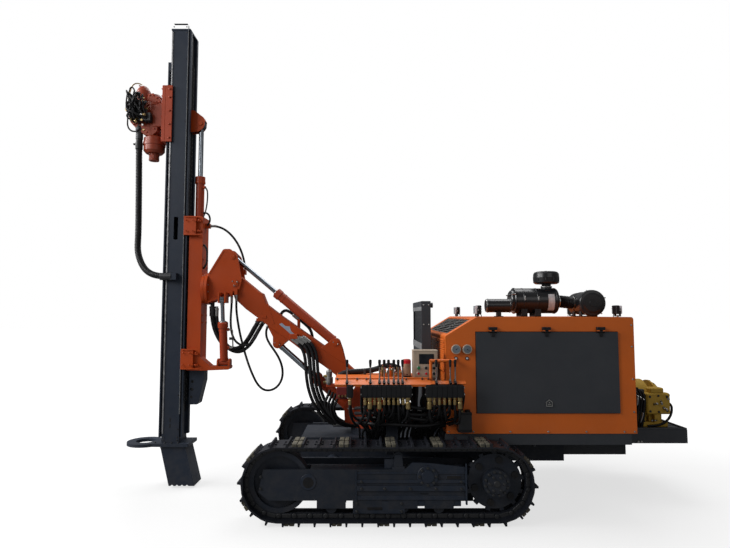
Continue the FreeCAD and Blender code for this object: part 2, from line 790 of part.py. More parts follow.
lift_pin = cross_bar("lift_pin", lift_x, lift_z, s.pin_radius, cheek_gap + 2 * s.cheek_thick)
heads = (pin_heads("foot_head", foot_x, foot_z, 44, cheek_gap / 2 + s.cheek_thick)
         + pin_heads("lift_head", lift_x, lift_z, 40, cheek_gap / 2 + s.cheek_thick))
arm_low = s.turn_height - s.turn_eye_thick / 2 - 5
arm_corners = [(s.post_x - 60, 60), (s.post_x + 60, 60), (s.post_x + 42, s.turn_arm + 42, 40),
               (s.post_x - 42, s.turn_arm + 42, 40)]
arm_plates = [plate("turn_arm_low", "xy", arm_corners, arm_low - 20, 20),
              plate("turn_arm_high", "xy", arm_corners, arm_low + s.turn_eye_thick + 10, 20)]
arm_web = block("turn_arm_web", s.post_x - 60, cheek_gap / 2 + s.cheek_thick - 4, arm_low - 20, 120, 60,
                s.turn_eye_thick + 50)
node("boom_post", join("boom_post", post_disc, post_web, post_floor, foot_pin, lift_pin, arm_web, *arm_plates,
                       *cheeks, *heads))

# boom swing cylinder
turn_reach = s.turn_base_x - s.post_x
put(ram_barrel("turn_barrel", "x", "z", s.turn_barrel_radius, s.turn_barrel_length, s.turn_rod_radius,
               s.turn_eye_radius, s.turn_eye_thick, s.turn_rod_radius - 2),
    s.turn_base_x, s.turn_arm, s.turn_height, (0, 0, 1), 180)
put(ram_rod("turn_rod", "x", "z", turn_reach, s.turn_barrel_length - s.turn_rod_inside, s.turn_rod_radius,
            s.turn_eye_radius, s.turn_eye_thick, s.turn_rod_radius - 2),
    s.turn_base_x, s.turn_arm, s.turn_height, (0, 0, 1), 180)

# boom: a box beam in its own frame, origin on the foot pin, its tip at -X, its top at +Z
half_deep = s.boom_deep / 2
boom_box = plate("boom_box", "xz",
                 [(-boom_length - 62, -52, 40), (-boom_length + 20, 66, 50), (-boom_length + 330, half_deep),
                  (-200, half_deep), (60, 66, 50), (60, -66, 50), (-200, -half_deep),
                  (-boom_length + 330, -half_deep), (-boom_length + 100, -66)],
                 -s.boom_wide / 2, s.boom_wide)
lift_ears = ears("lift_ear", "xz",
                 [(-s.lift_eye_along - 110, -half_deep + 4), (-s.lift_eye_along - 46, -s.lift_eye_drop - 46, 44),
                  (-s.lift_eye_along + 46, -s.lift_eye_drop - 46, 44), (-s.lift_eye_along + 110, -half_deep + 4)],
                 0, 80, 18)
pitch_ears = ears("pitch_ear", "xz",
                  [(-s.pitch_base_along - 150, half_deep - 4), (-s.pitch_base_along - 46, s.pitch_base_rise + 46, 44),
                   (-s.pitch_base_along + 46, s.pitch_base_rise + 46, 44),
                   (-s.pitch_base_along + 200, half_deep - 4)],
                  0, s.pitch_ear_gap, 18)
pitch_pin = cross_bar("pitch_pin", -s.pitch_base_along, s.pitch_base_rise, s.pin_radius - 4, s.pitch_ear_gap + 36)
boom_heads = (pin_heads("pitch_head", -s.pitch_base_along, s.pitch_base_rise, 34, s.pitch_ear_gap / 2 + 18)
              + pin_heads("lift_eye_head", -s.lift_eye_along, -s.lift_eye_drop, 34, 58))
foot_boss = cross_bar("boom_foot_boss", 0, 0, s.eye_radius + 6, s.boom_wide)
tip_boss = cross_bar("boom_tip_boss", -boom_length, 0, s.eye_radius, s.boom_wide)
foot_hole = cross_bar("boom_foot_hole", 0, 0, s.pin_radius + 0.5, s.boom_wide * 2)
tip_hole = cross_bar("boom_tip_hole", -boom_length, 0, s.pin_radius + 0.5, s.boom_wide * 2)
hose_clamps = [block("clamp_under", -1370, -72, -half_deep - 30, 190, 112, 34),
               block("clamp_side", -960, -135, -95, 80, 64, 50)]
boom_weld = join("boom_weld", boom_box, *hose_clamps, foot_boss, tip_boss, pitch_pin, *lift_ears, *pitch_ears,
                 *boom_heads)
boom = cut("boom", boom_weld, foot_hole, tip_hole)
node("boom", boom)
put(boom, foot_x, 0, foot_z, (0, 1, 0), boom_turn)

# lift cylinder: from the post's lower pin up to the ears below the boom
lift_eye_x, lift_eye_z = on_boom(s.lift_eye_along, -s.lift_eye_drop)
lift_turn = slope(lift_eye_z - lift_z, lift_x - lift_eye_x)
lift_reach = span(lift_x - lift_eye_x, lift_eye_z - lift_z)
for piece in (ram_barrel("lift_barrel", "x", "y", s.lift_barrel_radius, s.lift_barrel_length, s.lift_rod_radius,
                         s.eye_radius, 70, s.pin_radius),
              ram_rod("lift_rod", "x", "y", lift_reach, s.lift_barrel_length - s.lift_rod_inside, s.lift_rod_radius,
                      s.eye_radius - 14, 70, s.pin_radius)):
    put(piece, lift_x, 0, lift_z, (0, 1, 0), lift_turn - 180)

# pitch cylinder: from the ears on top of the boom to the arm head
pitch_x, pitch_z = on_boom(s.pitch_base_along, s.pitch_base_rise)
pitch_eye_x = tip_x + s.pitch_eye_x
pitch_eye_z = tip_z + s.pitch_eye_z
pitch_turn = slope(pitch_eye_z - pitch_z, pitch_x - pitch_eye_x)
pitch_reach = span(pitch_x - pitch_eye_x, pitch_eye_z - pitch_z)
for piece in (ram_barrel("pitch_barrel", "x", "y", s.pitch_barrel_radius, s.pitch_barrel_length, s.pitch_rod_radius,
                         s.eye_radius - 12, s.pitch_ear_gap - 10, s.pin_radius - 4),
              ram_rod("pitch_rod", "x", "y", pitch_reach, s.pitch_barrel_length - s.pitch_rod_inside,
                      s.pitch_rod_radius, s.eye_radius - 20, 70, s.pin_radius - 4)):
    put(piece, pitch_x, 0, pitch_z, (0, 1, 0), pitch_turn - 180)

# arm head: two plates on the tip pin, closed at the front by the round flange of the feed's swing hinge
arm_gap = s.boom_wide + 2 * s.pin_side_gap
flange_x = tip_x - s.arm_reach
flange_z = tip_z - s.flange_drop
arm_plates = ears("arm_plate", "xz",
                  [(flange_x + 1, flange_z - 150), (flange_x + 1, flange_z + 160), (tip_x - 128, tip_z + 368, 34),
                   (tip_x - 52, tip_z + 368, 34), (pitch_eye_x + 52, pitch_eye_z + 10, 40), (tip_x + 74, tip_z + 30, 50),
                   (tip_x + 50, tip_z - 76, 60), (tip_x - 120, tip_z - 150, 40)],
                  0, arm_gap, s.arm_thick)
arm_web = slab("arm_web", flange_x - 2, flange_z - 150, 34, arm_gap + 4, 300)
arm_brow = plate("arm_brow", "xz", [(flange_x + 4, flange_z + 120), (flange_x + 4, flange_z + 158),
                                    (tip_x - 165, tip_z + 296), (tip_x - 154, tip_z + 270)],
                 -arm_gap / 2 - 2, arm_gap + 4)
flange = bar("arm_flange", "x", flange_x - s.flange_thick, 0, flange_z, s.flange_radius, s.flange_thick)
hinge_pin = bar("hinge_pin", "x", flange_x - s.flange_thick - s.slide_gap - s.flange_thick - 12, 0, flange_z,
                s.hinge_pin_radius, s.flange_thick * 2 + s.slide_gap + 20)
tip_pin = cross_bar("tip_pin", tip_x, tip_z, s.pin_radius, arm_gap + 2 * s.arm_thick)
arm_heads = (pin_heads("tip_head", tip_x, tip_z, 42, arm_gap / 2 + s.arm_thick)
             + pin_heads("pitch_eye_head", pitch_eye_x, pitch_eye_z, 30, arm_gap / 2 + s.arm_thick))
pitch_cheeks = [cross_bar("pitch_spacer_%d" % (edge + 1), pitch_eye_x, pitch_eye_z, 36, arm_gap / 2 - 38,
                          edge * (arm_gap / 4 + 20.5)) for edge in (-1, 1)]
sway_half = s.sway_eye_thick / 2 + 5
sway_arm = block("sway_arm", s.sway_x - sway_half - 16, s.sway_eye_y - 34, s.sway_eye_z - 36,
                 2 * sway_half + 32, -(s.sway_eye_y - 34) - arm_gap / 2 - 4, 110)
sway_slot = block("sway_slot", s.sway_x - sway_half, s.sway_eye_y - 60, s.sway_eye_z - 80,
                  2 * sway_half, -(s.sway_eye_y - 60) - arm_gap / 2 - s.arm_thick - 4, 300)
sway_pins = [bar("sway_pin_%d" % edge, "x", s.sway_x + edge * (sway_half + 15) - 4, s.sway_eye_y, s.sway_eye_z,
                 24, 8) for edge in (-1, 1)]
arm_clamps = [block("clamp_web", flange_x + 26, -30, flange_z - 146, 40, 60, 60),
              block("clamp_plate", tip_x - 46, -arm_gap / 2 - s.arm_thick - 26, tip_z - 144, 30, 30, 60),
              block("clamp_plate_low", tip_x + 4, -arm_gap / 2 - s.arm_thick - 26, tip_z - 124, 30, 30, 60),
              block("clamp_far", tip_x + 29, arm_gap / 2 + s.arm_thick - 4, tip_z + 106, 40, 70, 50)]
node("arm_head", join("arm_head", *arm_clamps, arm_web, arm_brow, flange, hinge_pin, tip_pin,
                      cut("sway_ears", sway_arm, sway_slot), *arm_plates, *arm_heads, *pitch_cheeks, *sway_pins))

# slide frame: a channel that hangs from the swing hinge and holds the mast in two pairs of jaws
slide_back = flange_x - s.flange_thick - s.slide_gap - s.flange_thick
slide_front = slide_back - s.slide_deep
slide_base = tip_z - s.slide_below
slide_height = s.slide_below + s.slide_above
mast_back = slide_front - s.mast_gap
mast_front = mast_back - s.mast_deep
mast_middle = mast_back - s.mast_deep / 2
lip_side = s.mast_wide / 2
channel = slab("slide_channel", slide_front, slide_base, s.slide_deep, s.slide_wide, slide_height)
channel_room = slab("slide_room", slide_front - 1, slide_base - 1, s.slide_deep - s.slide_wall + 1,
                    s.slide_wide - 2 * s.slide_wall, slide_height + 2)
hinge_plate = bar("slide_flange", "x", slide_back - 1, 0, flange_z, s.flange_radius - 6, s.flange_thick + 1)
hinge_hole = bar("slide_hinge_hole", "x", slide_back - 60, 0, flange_z, s.hinge_pin_radius + 0.5, 120)
jaws = []
for level, jaw_base in (("top", slide_base + slide_height - s.jaw_tall), ("low", slide_base + 15)):
    for edge in (-1, 1):
        hook = mast_back + 5
        outline = [(hook, edge * (lip_side - 25)), (hook + s.jaw_thick, edge * (lip_side - 25)),
                   (hook + s.jaw_thick, edge * (lip_side + 5)), (slide_front, edge * (lip_side + 5)),
                   (slide_front, edge * (s.slide_wide / 2 - 2)), (slide_front + 80, edge * (s.slide_wide / 2 - 2)),
                   (slide_front + 80, edge * (lip_side + 5 + s.jaw_side)), (hook, edge * (lip_side + 5 + s.jaw_side))]
        if edge == -1:
            outline.reverse()
        jaws.append(plate("jaw_%s_%d" % (level, edge + 1), "xy", outline, jaw_base, s.jaw_tall))
        for rib in range(2):
            jaws.append(block("jaw_rib_%s_%d_%d" % (level, edge + 1, rib), slide_front + 78,
                              edge * (s.slide_wide / 2 + 12.5) - 14, jaw_base + 40 + 110 * rib, 50, 28, 14))
foot_bracket = block("sway_foot", slide_back - 2, -s.slide_wide / 2, slide_base + 62, 60, s.slide_wide / 2 + 40, 100)
sway_back = s.sway_x - s.sway_foot_gap / 2
sway_lug_a = plate("sway_lug_a", "yz", [(s.sway_base_y - 44, slide_base + 40, 20), (s.sway_base_y + 60, slide_base + 40),
                                        (s.sway_base_y + 60, slide_base + 110, 30), (s.sway_base_y, s.sway_base_z + 44, 40),
                                        (s.sway_base_y - 44, s.sway_base_z + 20, 30)], sway_back - 16, 16)
sway_lug_b = plate("sway_lug_b", "yz", [(s.sway_base_y - 44, slide_base + 40, 20), (s.sway_base_y + 60, slide_base + 40),
                                        (s.sway_base_y + 60, slide_base + 110, 30), (s.sway_base_y, s.sway_base_z + 44, 40),
                                        (s.sway_base_y - 44, s.sway_base_z + 20, 30)],
                   s.sway_x + s.sway_foot_gap / 2, 16)
sway_tray = plate("sway_tray", "xz", [(slide_back - 2, slide_base), (slide_back - 2, slide_base + 140),
                                      (slide_back + 110, slide_base + 46),
                                      (s.sway_x + s.sway_foot_gap / 2 + 16, slide_base + 46),
                                      (s.sway_x + s.sway_foot_gap / 2 + 16, slide_base + 10, 20),
                                      (slide_back + 60, slide_base)],
                  -s.slide_wide / 2, 130)
sway_base_pin = bar("sway_base_pin", "x", sway_back - 16, s.sway_base_y, s.sway_base_z, s.pin_radius - 8,
                    s.sway_foot_gap + 32)
push_seat = slab("push_seat", slide_front + 10, s.push_barrel_base - 60.3, s.slide_deep - 12,
                 s.slide_wide - 2 * s.slide_wall + 2, 60)
clamp_top = block("clamp_top", slide_back - 2, -25, 2740, 52, 50, 50)
slide_weld = join("slide_weld", clamp_top, cut("slide_body", channel, channel_room), hinge_plate, push_seat,
                  sway_lug_a, sway_lug_b, sway_tray, sway_base_pin, *jaws)
node("slide_frame", cut("slide_frame", slide_weld, hinge_hole))

# tail bracket below the slide frame
tail = plate("tail_cheek", "xz", [(slide_front + 22, slide_base), (slide_back + 33, slide_base),
                                  (slide_back + 33, slide_base - 110, 20), (slide_front + 120, slide_base - s.tail_length, 20),
                                  (slide_front + 22, slide_base - s.tail_length, 10)],
             -70, 140, holes=[(slide_front + 56, slide_base - 120, 16), (slide_front + 50, slide_base - 200, 16)])
node("tail_bracket", tail)

# feed swing cylinder, upright beside the slide frame
sway_reach = span(s.sway_eye_y - s.sway_base_y, s.sway_eye_z - s.sway_base_z)
sway_turn = slope(s.sway_base_y - s.sway_eye_y, s.sway_eye_z - s.sway_base_z)
for piece in (ram_barrel("sway_barrel", "z", "x", s.sway_barrel_radius, s.sway_barrel_length, s.sway_rod_radius,
                         s.sway_eye_radius, s.sway_foot_gap - 10, s.pin_radius - 8),
              ram_rod("sway_rod", "z", "x", sway_reach, s.sway_barrel_length - s.sway_rod_inside, s.sway_rod_radius,
                      s.sway_eye_radius, s.sway_eye_thick, s.pin_radius - 8)):
    put(piece, s.sway_x, s.sway_base_y, s.sway_base_z, (1, 0, 0), sway_turn)

# mast: a hollow beam with a lipped rail along each corner
mast_height = s.mast_top - s.mast_base
beam = slab("mast_beam", mast_front, s.mast_base, s.mast_deep, s.mast_wide, mast_height)
beam_room = slab("mast_room", mast_front + s.mast_wall, s.mast_base - 1, s.mast_deep - 2 * s.mast_wall,
                 s.mast_wide - 2 * s.mast_wall, mast_height + 2)
slots = [slab("mast_slot", mast_middle - 20, 2600, 46, s.mast_wide + 10, 245)]
rails = []
for where, face, out, rail_top in (("front", mast_front, -1, s.stop_height), ("back", mast_back, 1, s.mast_top)):
    for edge in (-1, 1):
        lip_out = face + out * s.lip_gap
        outline = [(face - out, edge * (lip_side - s.lip_wide)), (face - out, edge * (lip_side - s.lip_wide + s.neck_wide)),
                   (lip_out, edge * (lip_side - s.lip_wide + s.neck_wide)), (lip_out, edge * lip_side),
                   (lip_out + out * s.lip_deep, edge * lip_side),
                   (lip_out + out * s.lip_deep, edge * (lip_side - s.lip_wide))]
        if out * edge == -1:
            outline.reverse()
        rails.append(plate("rail_%s_%d" % (where, edge + 1), "xy", outline, s.mast_base + 60,
                           rail_top - s.mast_base - 60))
lip_depth = s.lip_gap + s.lip_deep
stops = [slab("mast_stop_%d" % edge, mast_front - lip_depth, s.stop_height - 1, lip_depth + 1, 40, 92,
              edge * (lip_side - 20)) for edge in (-1, 1)]
top_cap = slab("mast_cap", mast_front - 6, s.mast_top - 1, s.mast_deep + 30, s.mast_wide + 12, 17)
sheave_lug = slab("mast_eye", mast_middle - 24, s.mast_top + 10, 48, 20, 70)
push_x = slide_front + s.slide_deep / 2
push_lug = plate("push_lug", "xz", [(mast_back - 2, s.push_lug_base + s.push_lug_rise), (mast_back - 2, s.push_lug_base - 30),
                                    (push_x + 42, s.push_lug_base + 20, 20),
                                    (push_x + 42, s.push_lug_base + 110, 20)], -40, 80)
mast_clamp = block("mast_clamp", mast_front + 70, -lip_side - 68, 2165, 60, 70, 70)
node("mast", join("mast", mast_clamp, cut("mast_box", beam, beam_room, *slots), top_cap, sheave_lug, push_lug,
                  *rails, *stops))
node("push_rod", bar("push_rod", "z", push_x, 0, s.push_barrel_top - s.push_rod_inside, s.push_rod_radius,
                     s.push_lug_base - s.push_barrel_top + s.push_rod_inside - 1))
push_tube = bar("push_tube", "z", push_x, 0, s.push_barrel_base, s.push_barrel_radius,
                s.push_barrel_top - s.push_barrel_base)
push_gland = bar("push_gland", "z", push_x, 0, s.push_barrel_top - 70, s.push_barrel_radius + 7, 70)
push_bore = bar("push_bore", "z", push_x, 0, s.push_barrel_base + 50, s.push_rod_radius + 1,
                s.push_barrel_top - s.push_barrel_base)
node("push_barrel", cut("push_barrel", join("push_body", push_tube, push_gland), push_bore))

# carriage and rotary head, on the mast's front rails
drill_x = mast_front - s.drill_reach
carriage_back = mast_front - lip_depth - 5
carriage_front = carriage_back - s.carriage_deep
saddle = slab("carriage_saddle", carriage_front, s.carriage_base, s.carriage_deep, s.carriage_wide, s.carriage_rise)
shoes = []
for edge in (-1, 1):
    hook = mast_front - 5
    outline = [(hook, edge * (lip_side - 20)), (hook, edge * s.carriage_wide / 2),
               (carriage_back - 2, edge * s.carriage_wide / 2), (carriage_back - 2, edge * (lip_side + 5)),
               (hook - 10, edge * (lip_side + 5)), (hook - 10, edge * (lip_side - 20))]
    if edge == -1:
        outline.reverse()
    shoes.append(plate("carriage_shoe_%d" % (edge + 1), "xy", outline, s.carriage_base, s.carriage_rise))
node("carriage", join("carriage", saddle, *shoes))
gear_case = plate("gear_case", "xy",
                  [(carriage_front + 1, -s.gearbox_wide / 2), (carriage_front + 1, s.gearbox_wide / 2),
                   (drill_x - 110, s.gearbox_wide / 2, 90), (drill_x - 110, -s.gearbox_wide / 2, 90)],
                  s.gearbox_base, s.gearbox_rise)
case_rim = plate("case_rim", "xy",
                 [(carriage_front + 1, -s.gearbox_wide / 2 - 14), (carriage_front + 1, s.gearbox_wide / 2 + 14),
                  (drill_x - 124, s.gearbox_wide / 2 + 14, 100), (drill_x - 124, -s.gearbox_wide / 2 - 14, 100)],
                 s.gearbox_base + 210, 44)
motor_x = drill_x - 180
motor_seat = bar("motor_seat", "z", motor_x, 0, s.motor_base + 100, s.motor_radius + 22, 60)
motor_arm = slab("motor_arm", motor_x - 20, s.motor_base + 96, 140, 150, 68)
motor = bar("motor_body", "z", motor_x, 0, s.motor_base, s.motor_radius, s.motor_rise)
dome = doc.addObject("Part::Sphere", "motor_dome")
dome.Radius = s.motor_radius.value
bind(dome, "Radius", s.motor_radius)
put(dome, motor_x, 0, s.motor_base + s.motor_rise)
swivel = bar("swivel", "z", drill_x, 0, s.gearbox_base + s.gearbox_rise - 1, 62, 60)
elbow = bar("air_elbow", "x", drill_x - 90, 0, s.gearbox_base + s.gearbox_rise + 30, 26, 90)
node("head_motor", join("head_motor", motor, dome, motor_seat))
bell = taper("bell_cone", "z", drill_x, 0, s.bell_base, s.bell_radius - 20, s.bell_radius, s.gearbox_base - s.bell_base)
bell_room = bar("bell_room", "z", drill_x, 0, s.bell_base - 1, s.spindle_radius + 8, 60)
bell_bearing = bar("bell_bearing", "z", drill_x, 0, s.bell_base + 50, s.spindle_radius + 0.05, 72)
hose_seat = block("hose_seat", drill_x - 190, -105, s.gearbox_base + 59, 130, 90, 45)
motor_room = bar("motor_room", "z", motor_x, 0, s.motor_base - 1, s.motor_radius + 0.3, s.motor_rise + 200)
seat_room = bar("seat_room", "z", motor_x, 0, s.motor_base + 99.7, s.motor_radius + 22.3, 60.6)
head_body = join("head_body", gear_case, case_rim, motor_arm, swivel, elbow, hose_seat,
                 cut("head_bell", bell, bell_room, bell_bearing))
node("rotary_head", cut("rotary_head", head_body, motor_room, seat_room, saddle))
spindle_bar = bar("spindle_bar", "z", drill_x, 0, s.spindle_base, s.spindle_radius, s.bell_base - s.spindle_base + 110)
spindle_hole = bar("spindle_hole", "z", drill_x, 0, s.spindle_base - 1, s.spindle_bore, 100)
node("spindle", cut("spindle", spindle_bar, spindle_hole))

# guide ring and claw foot on the mast's lower end
ring_disc = bar("guide_disc", "z", drill_x, 0, s.guide_height, s.guide_radius, s.guide_thick)
ring_arm = plate("guide_arm", "xy", [(drill_x + 60, -s.guide_radius + 40), (mast_back + 110, -lip_side - 30, 10),
                                     (mast_back + 110, lip_side + 30, 10), (drill_x + 60, s.guide_radius - 40)],
                 s.guide_height, s.guide_thick)
guide_hole = bar("guide_hole", "z", drill_x, 0, s.guide_height - 1, s.guide_bore, s.guide_thick + 2)
node("guide_ring", cut("guide_ring", join("guide_weld", ring_disc, ring_arm), guide_hole))
claw_top = s.guide_height - 0.3
claw_side = [(mast_front - 12, claw_top), (mast_back + 66, claw_top), (mast_back + 66 + s.claw_lean, s.claw_clear),
             (mast_front + 86, s.claw_clear), (mast_front + s.claw_lean - 20, s.claw_clear + 20)]
claw_plates = ears("claw_plate", "xz", claw_side, 0, s.mast_wide - 2 * s.claw_wall, s.claw_wall)
claw_face = plate("claw_face", "xz", [(mast_front - 12, claw_top), (mast_front + 10, claw_top),
                                      (mast_front + 108, s.claw_clear), (mast_front + 86, s.claw_clear)],
                  -lip_side, s.mast_wide)
claw_heel = plate("claw_heel", "xz", [(mast_back + 44, claw_top), (mast_back + 66, claw_top),
                                      (mast_back + 66 + s.claw_lean, s.claw_clear),
                                      (mast_back + 44 + s.claw_lean, s.claw_clear)],
                  -lip_side, s.mast_wide)
notches = [bar("claw_notch_%d" % number, "y", mast_front + 120 + 52 * number, -lip_side - 1, s.claw_clear - 4, 15,
               s.mast_wide + 2) for number in range(4)]
claw_cap = slab("claw_cap", mast_front - 12, claw_top - 20, s.mast_deep + 78, s.mast_wide, 20)
node("claw_foot", cut("claw_foot", join("claw_weld", claw_face, claw_heel, claw_cap, *claw_plates), *notches))

# base frame of the power pack
deck_length = s.cab_front + s.cab_length - s.deck_front - 50
deck_top = s.deck_base + s.deck_rise
deck_body = slab("deck_body", s.deck_front, s.deck_base, deck_length, s.cab_wide - 12, s.deck_rise)
deck_room = slab("deck_room", s.deck_front + 60, s.deck_base - 1, deck_length - 120, s.cab_wide - 132, s.deck_rise - 9)
deck_feet = [slab("deck_foot_%d_%d" % (a, b), s.deck_front + 150 + 900 * a, chassis_top, 120, 160,
                  s.deck_base + s.deck_rise - 8 - chassis_top, 200 * b) for a in (0, 1) for b in (-1, 1)]
drain = bar("deck_drain", "z", s.deck_front + 830, -s.cab_wide / 2 + 60, s.deck_base - 24, 18, 30)
node("base_deck", join("base_deck", cut("deck_shell", deck_body, deck_room), drain, *deck_feet))

# cabinet: a sheet shell with a sloping brow, open where the doors and grilles sit
cab_back = s.cab_front + s.cab_length
cab_top = deck_top + s.cab_rise
brow_foot = cab_top - s.brow_rise
cab_profile = [(s.cab_front, deck_top + 0.3), (cab_back, deck_top + 0.3), (cab_back, cab_top, 24),
               (s.cab_front + s.brow_run, cab_top, 30), (s.cab_front, brow_foot, 20)]
cab_outer = plate("cab_outer", "xz", cab_profile, -s.cab_wide / 2, s.cab_wide)
cab_profile_in = [(s.cab_front + s.cab_wall, deck_top - 10), (cab_back - s.cab_wall, deck_top - 10),
                  (cab_back - s.cab_wall, cab_top - s.cab_wall),
                  (s.cab_front + s.brow_run + 8, cab_top - s.cab_wall),
                  (s.cab_front + s.cab_wall, brow_foot - 14)]
cab_inner = plate("cab_inner", "xz", cab_profile_in, -s.cab_wide / 2 + s.cab_wall, s.cab_wide - 2 * s.cab_wall)
door_hole = slab("door_hole", s.door_front - s.door_gap, s.door_base - s.door_gap, s.door_length + 2 * s.door_gap,
                 s.cab_wide + 20, s.door_rise + 2 * s.door_gap)
louvre_base = s.door_base + 350
louvre_rise = brow_foot - 26 - louvre_base
front_hole = slab("front_hole", s.cab_front - 10, louvre_base, 60, s.cab_wide - 120, louvre_rise)
brow_angle = slope(s.brow_rise, s.brow_run)
brow_long = span(s.brow_run, s.brow_rise)
brow_hole = slab("brow_hole", 40, -80, brow_long - 80, s.cab_wide - 260, 120)
put(brow_hole, s.cab_front + 40 * cosine(brow_angle) + 80 * sine(brow_angle), -(s.cab_wide - 260) / 2,
    brow_foot + 40 * sine(brow_angle) - 80 * cosine(brow_angle), (0, 1, 0), -brow_angle)
hinge_z = s.door_base + s.door_rise + s.door_gap
leaves = []
for edge in (-1, 1):
    for number, place in enumerate((157, 655, 1160)):
        for part, shift in enumerate((-36, 16)):
            leaves.append(bar("shell_knuckle_%d_%d_%d" % (edge + 1, number, part), "x", s.door_front + place + shift,
                              (s.cab_wide / 2 + 22) * edge, hinge_z, 9, 20))
            leaves.append(slab("shell_lug_%d_%d_%d" % (edge + 1, number, part), s.door_front + place + shift, hinge_z,
                               20, 18, 20, (s.cab_wide / 2 + 22) * edge))
        leaves.append(slab("shell_leaf_%d_%d" % (edge + 1, number), s.door_front + place - 36, hinge_z + 14, 72, 32, 26,
                           (s.cab_wide / 2 + 15) * edge))
        leaves.append(bar("hinge_pin_%d_%d" % (edge + 1, number), "x", s.door_front + place - 36,
                          (s.cab_wide / 2 + 22) * edge, hinge_z, 4, 72))
node("cabinet_shell", join("cabinet_shell", cut("cabinet_sheet", cab_outer, cab_inner, door_hole, front_hole, brow_hole),
                           *leaves))

slats = [slab("louvre_bar_%d" % number, s.cab_front + 6, louvre_base + 14 + 30 * number, 16, s.cab_wide - 121, 14)
         for number in range(11)]
stiles = [slab("louvre_stile_%d" % number, s.cab_front + 2, louvre_base + 0.3, 22, 26, louvre_rise - 0.6,
               (s.cab_wide / 2 - 73.3) * offset) for number, offset in enumerate((-1, -0.5, 0, 0.5, 1))]
node("front_louvres", join("front_louvres", *slats, *stiles))
brow_wide = s.cab_wide - 261
brow_bars = []
for number in range(9):
    brow_bars.append(("brow_bar_%d" % number, 48 + 29 * number, 8, 16, 0))
grille_pieces = [slab(name, along, -18, thick, brow_wide, deep) for name, along, thick, deep, _ in brow_bars]
grille_pieces += [slab("brow_stile_%d" % number, 40.3, -20, brow_long - 80.6, 24, 18, (brow_wide / 2 - 12) * offset)
                  for number, offset in enumerate((-1, -0.34, 0.34, 1))]
brow_grille = join("brow_grille", *grille_pieces)
node("brow_grille", brow_grille)
put(brow_grille, s.cab_front, 0, brow_foot, (0, 1, 0), -brow_angle)

for side_name, side in (("near", -1), ("far", 1)):
    face = s.cab_wide / 2 * side
    skin = slab("door_skin_" + side_name, s.door_front, s.door_base, s.door_length, s.door_thick, s.door_rise,
                face + side * (s.door_thick / 2 - 8))
    latch = plate("latch_" + side_name, "xz",
                  [(s.door_front + 634, 953), (s.door_front + 694, 953), (s.door_front + 694, 995),
                   (s.door_front + 664, 1018), (s.door_front + 634, 995)],
                  face + side * (s.door_thick - 8) + (side - 1) * 3, 6)
    rods = [bar("door_knuckle_%s_%d" % (side_name, number), "x", s.door_front + place - 15,
                face + side * 22, hinge_z, 9, 30) for number, place in enumerate((157, 655, 1160))]
    straps = [slab("door_strap_%s_%d" % (side_name, number), s.door_front + place - 15, hinge_z - 46, 30, 10, 46,
                   face + side * 19) for number, place in enumerate((157, 655, 1160))]
    pins = [bar("door_bore_%s_%d" % (side_name, number), "x", s.door_front + place - 40, face + side * 22, hinge_z,
                4.5, 80) for number, place in enumerate((157, 655, 1160))]
    leaf_rooms = [slab("leaf_room_%s_%d" % (side_name, number), s.door_front + place - 41, hinge_z - 14, 82, 60, 80,
                       face + side * 20) for number, place in enumerate((157, 655, 1160))]
    door_body = join("door_body_" + side_name, skin, latch)
    cleared = cut("door_cleared_" + side_name, door_body, *leaf_rooms)
    node("door_" + side_name, cut("door_" + side_name, join("door_hung_" + side_name, cleared, *rods, *straps), *pins))

# engine block inside, on the deck
node("engine_block", slab("engine_block", s.door_front + 160, deck_top + 0.3, s.engine_length, s.engine_wide,
                          s.engine_rise))

# oil cooler standing in front of the cabinet
cooler_frame = slab("cooler_frame", s.cooler_front, s.cooler_base, s.cooler_deep, s.cooler_wide, s.cooler_rise, -30)
cooler_recess = slab("cooler_recess", s.cooler_front - 1, s.cooler_base + s.cooler_tank, 13, s.cooler_wide - 60,
                     s.cooler_rise - 2 * s.cooler_tank, -30)
cooler_legs = [slab("cooler_leg_%d" % number, s.cooler_front + 10, chassis_top, s.cooler_deep - 20, 60,
                    s.cooler_base - chassis_top + 2, across) for number, across in enumerate((-280, 90))]
node("oil_cooler", join("oil_cooler", cut("cooler_body", cooler_frame, cooler_recess), *cooler_legs))

# on the roof
roof = cab_top + 0.3
lamps = []
for number, (behind, share, drop) in enumerate(LAMPS):
    x = s.cab_front + behind
    y = s.cab_wide * share / 2
    base_z = roof - drop
    lamps.append(slab("lamp_foot_%d" % number, x - 12, base_z, 24, 50, 34, y))
    lamps.append(slab("lamp_body_%d" % number, x - 26, base_z + 30, 52, 92, 62, y))
node("work_lamps", cut("work_lamps", join("lamp_set", *lamps), cab_outer))
muffler_z = roof + s.muffler_lift
muffler_body = bar("muffler_body", "x", s.muffler_x - 120, s.muffler_y, muffler_z, s.muffler_radius, s.muffler_length)
muffler_foot = slab("muffler_foot", s.muffler_x - 80, roof, 70, 90, s.muffler_lift - 55, s.muffler_y)
muffler_tail = bar("muffler_tail", "x", s.muffler_x - 150, s.muffler_y, muffler_z, 24, s.muffler_length + 50)
node("muffler", join("muffler", muffler_body, muffler_foot, muffler_tail))
cleaner_body = bar("cleaner_body", "x", s.cleaner_x, s.cleaner_y, s.cleaner_z, s.cleaner_radius, s.cleaner_length)
cleaner_end = bar("cleaner_end", "x", s.cleaner_x - 14, s.cleaner_y, s.cleaner_z, s.cleaner_radius - 14, 20)
cleaner_foot = slab("cleaner_foot", s.cleaner_x + 100, roof, 240, 180, s.cleaner_z - roof, s.cleaner_y)
neck = bar("cleaner_neck", "z", s.cleaner_x + 365, s.cleaner_y, s.cleaner_z, 48, 180)
rain_cap = bar("rain_cap", "z", s.cleaner_x + 365, s.cleaner_y, s.cleaner_z + 175, 128, 90)
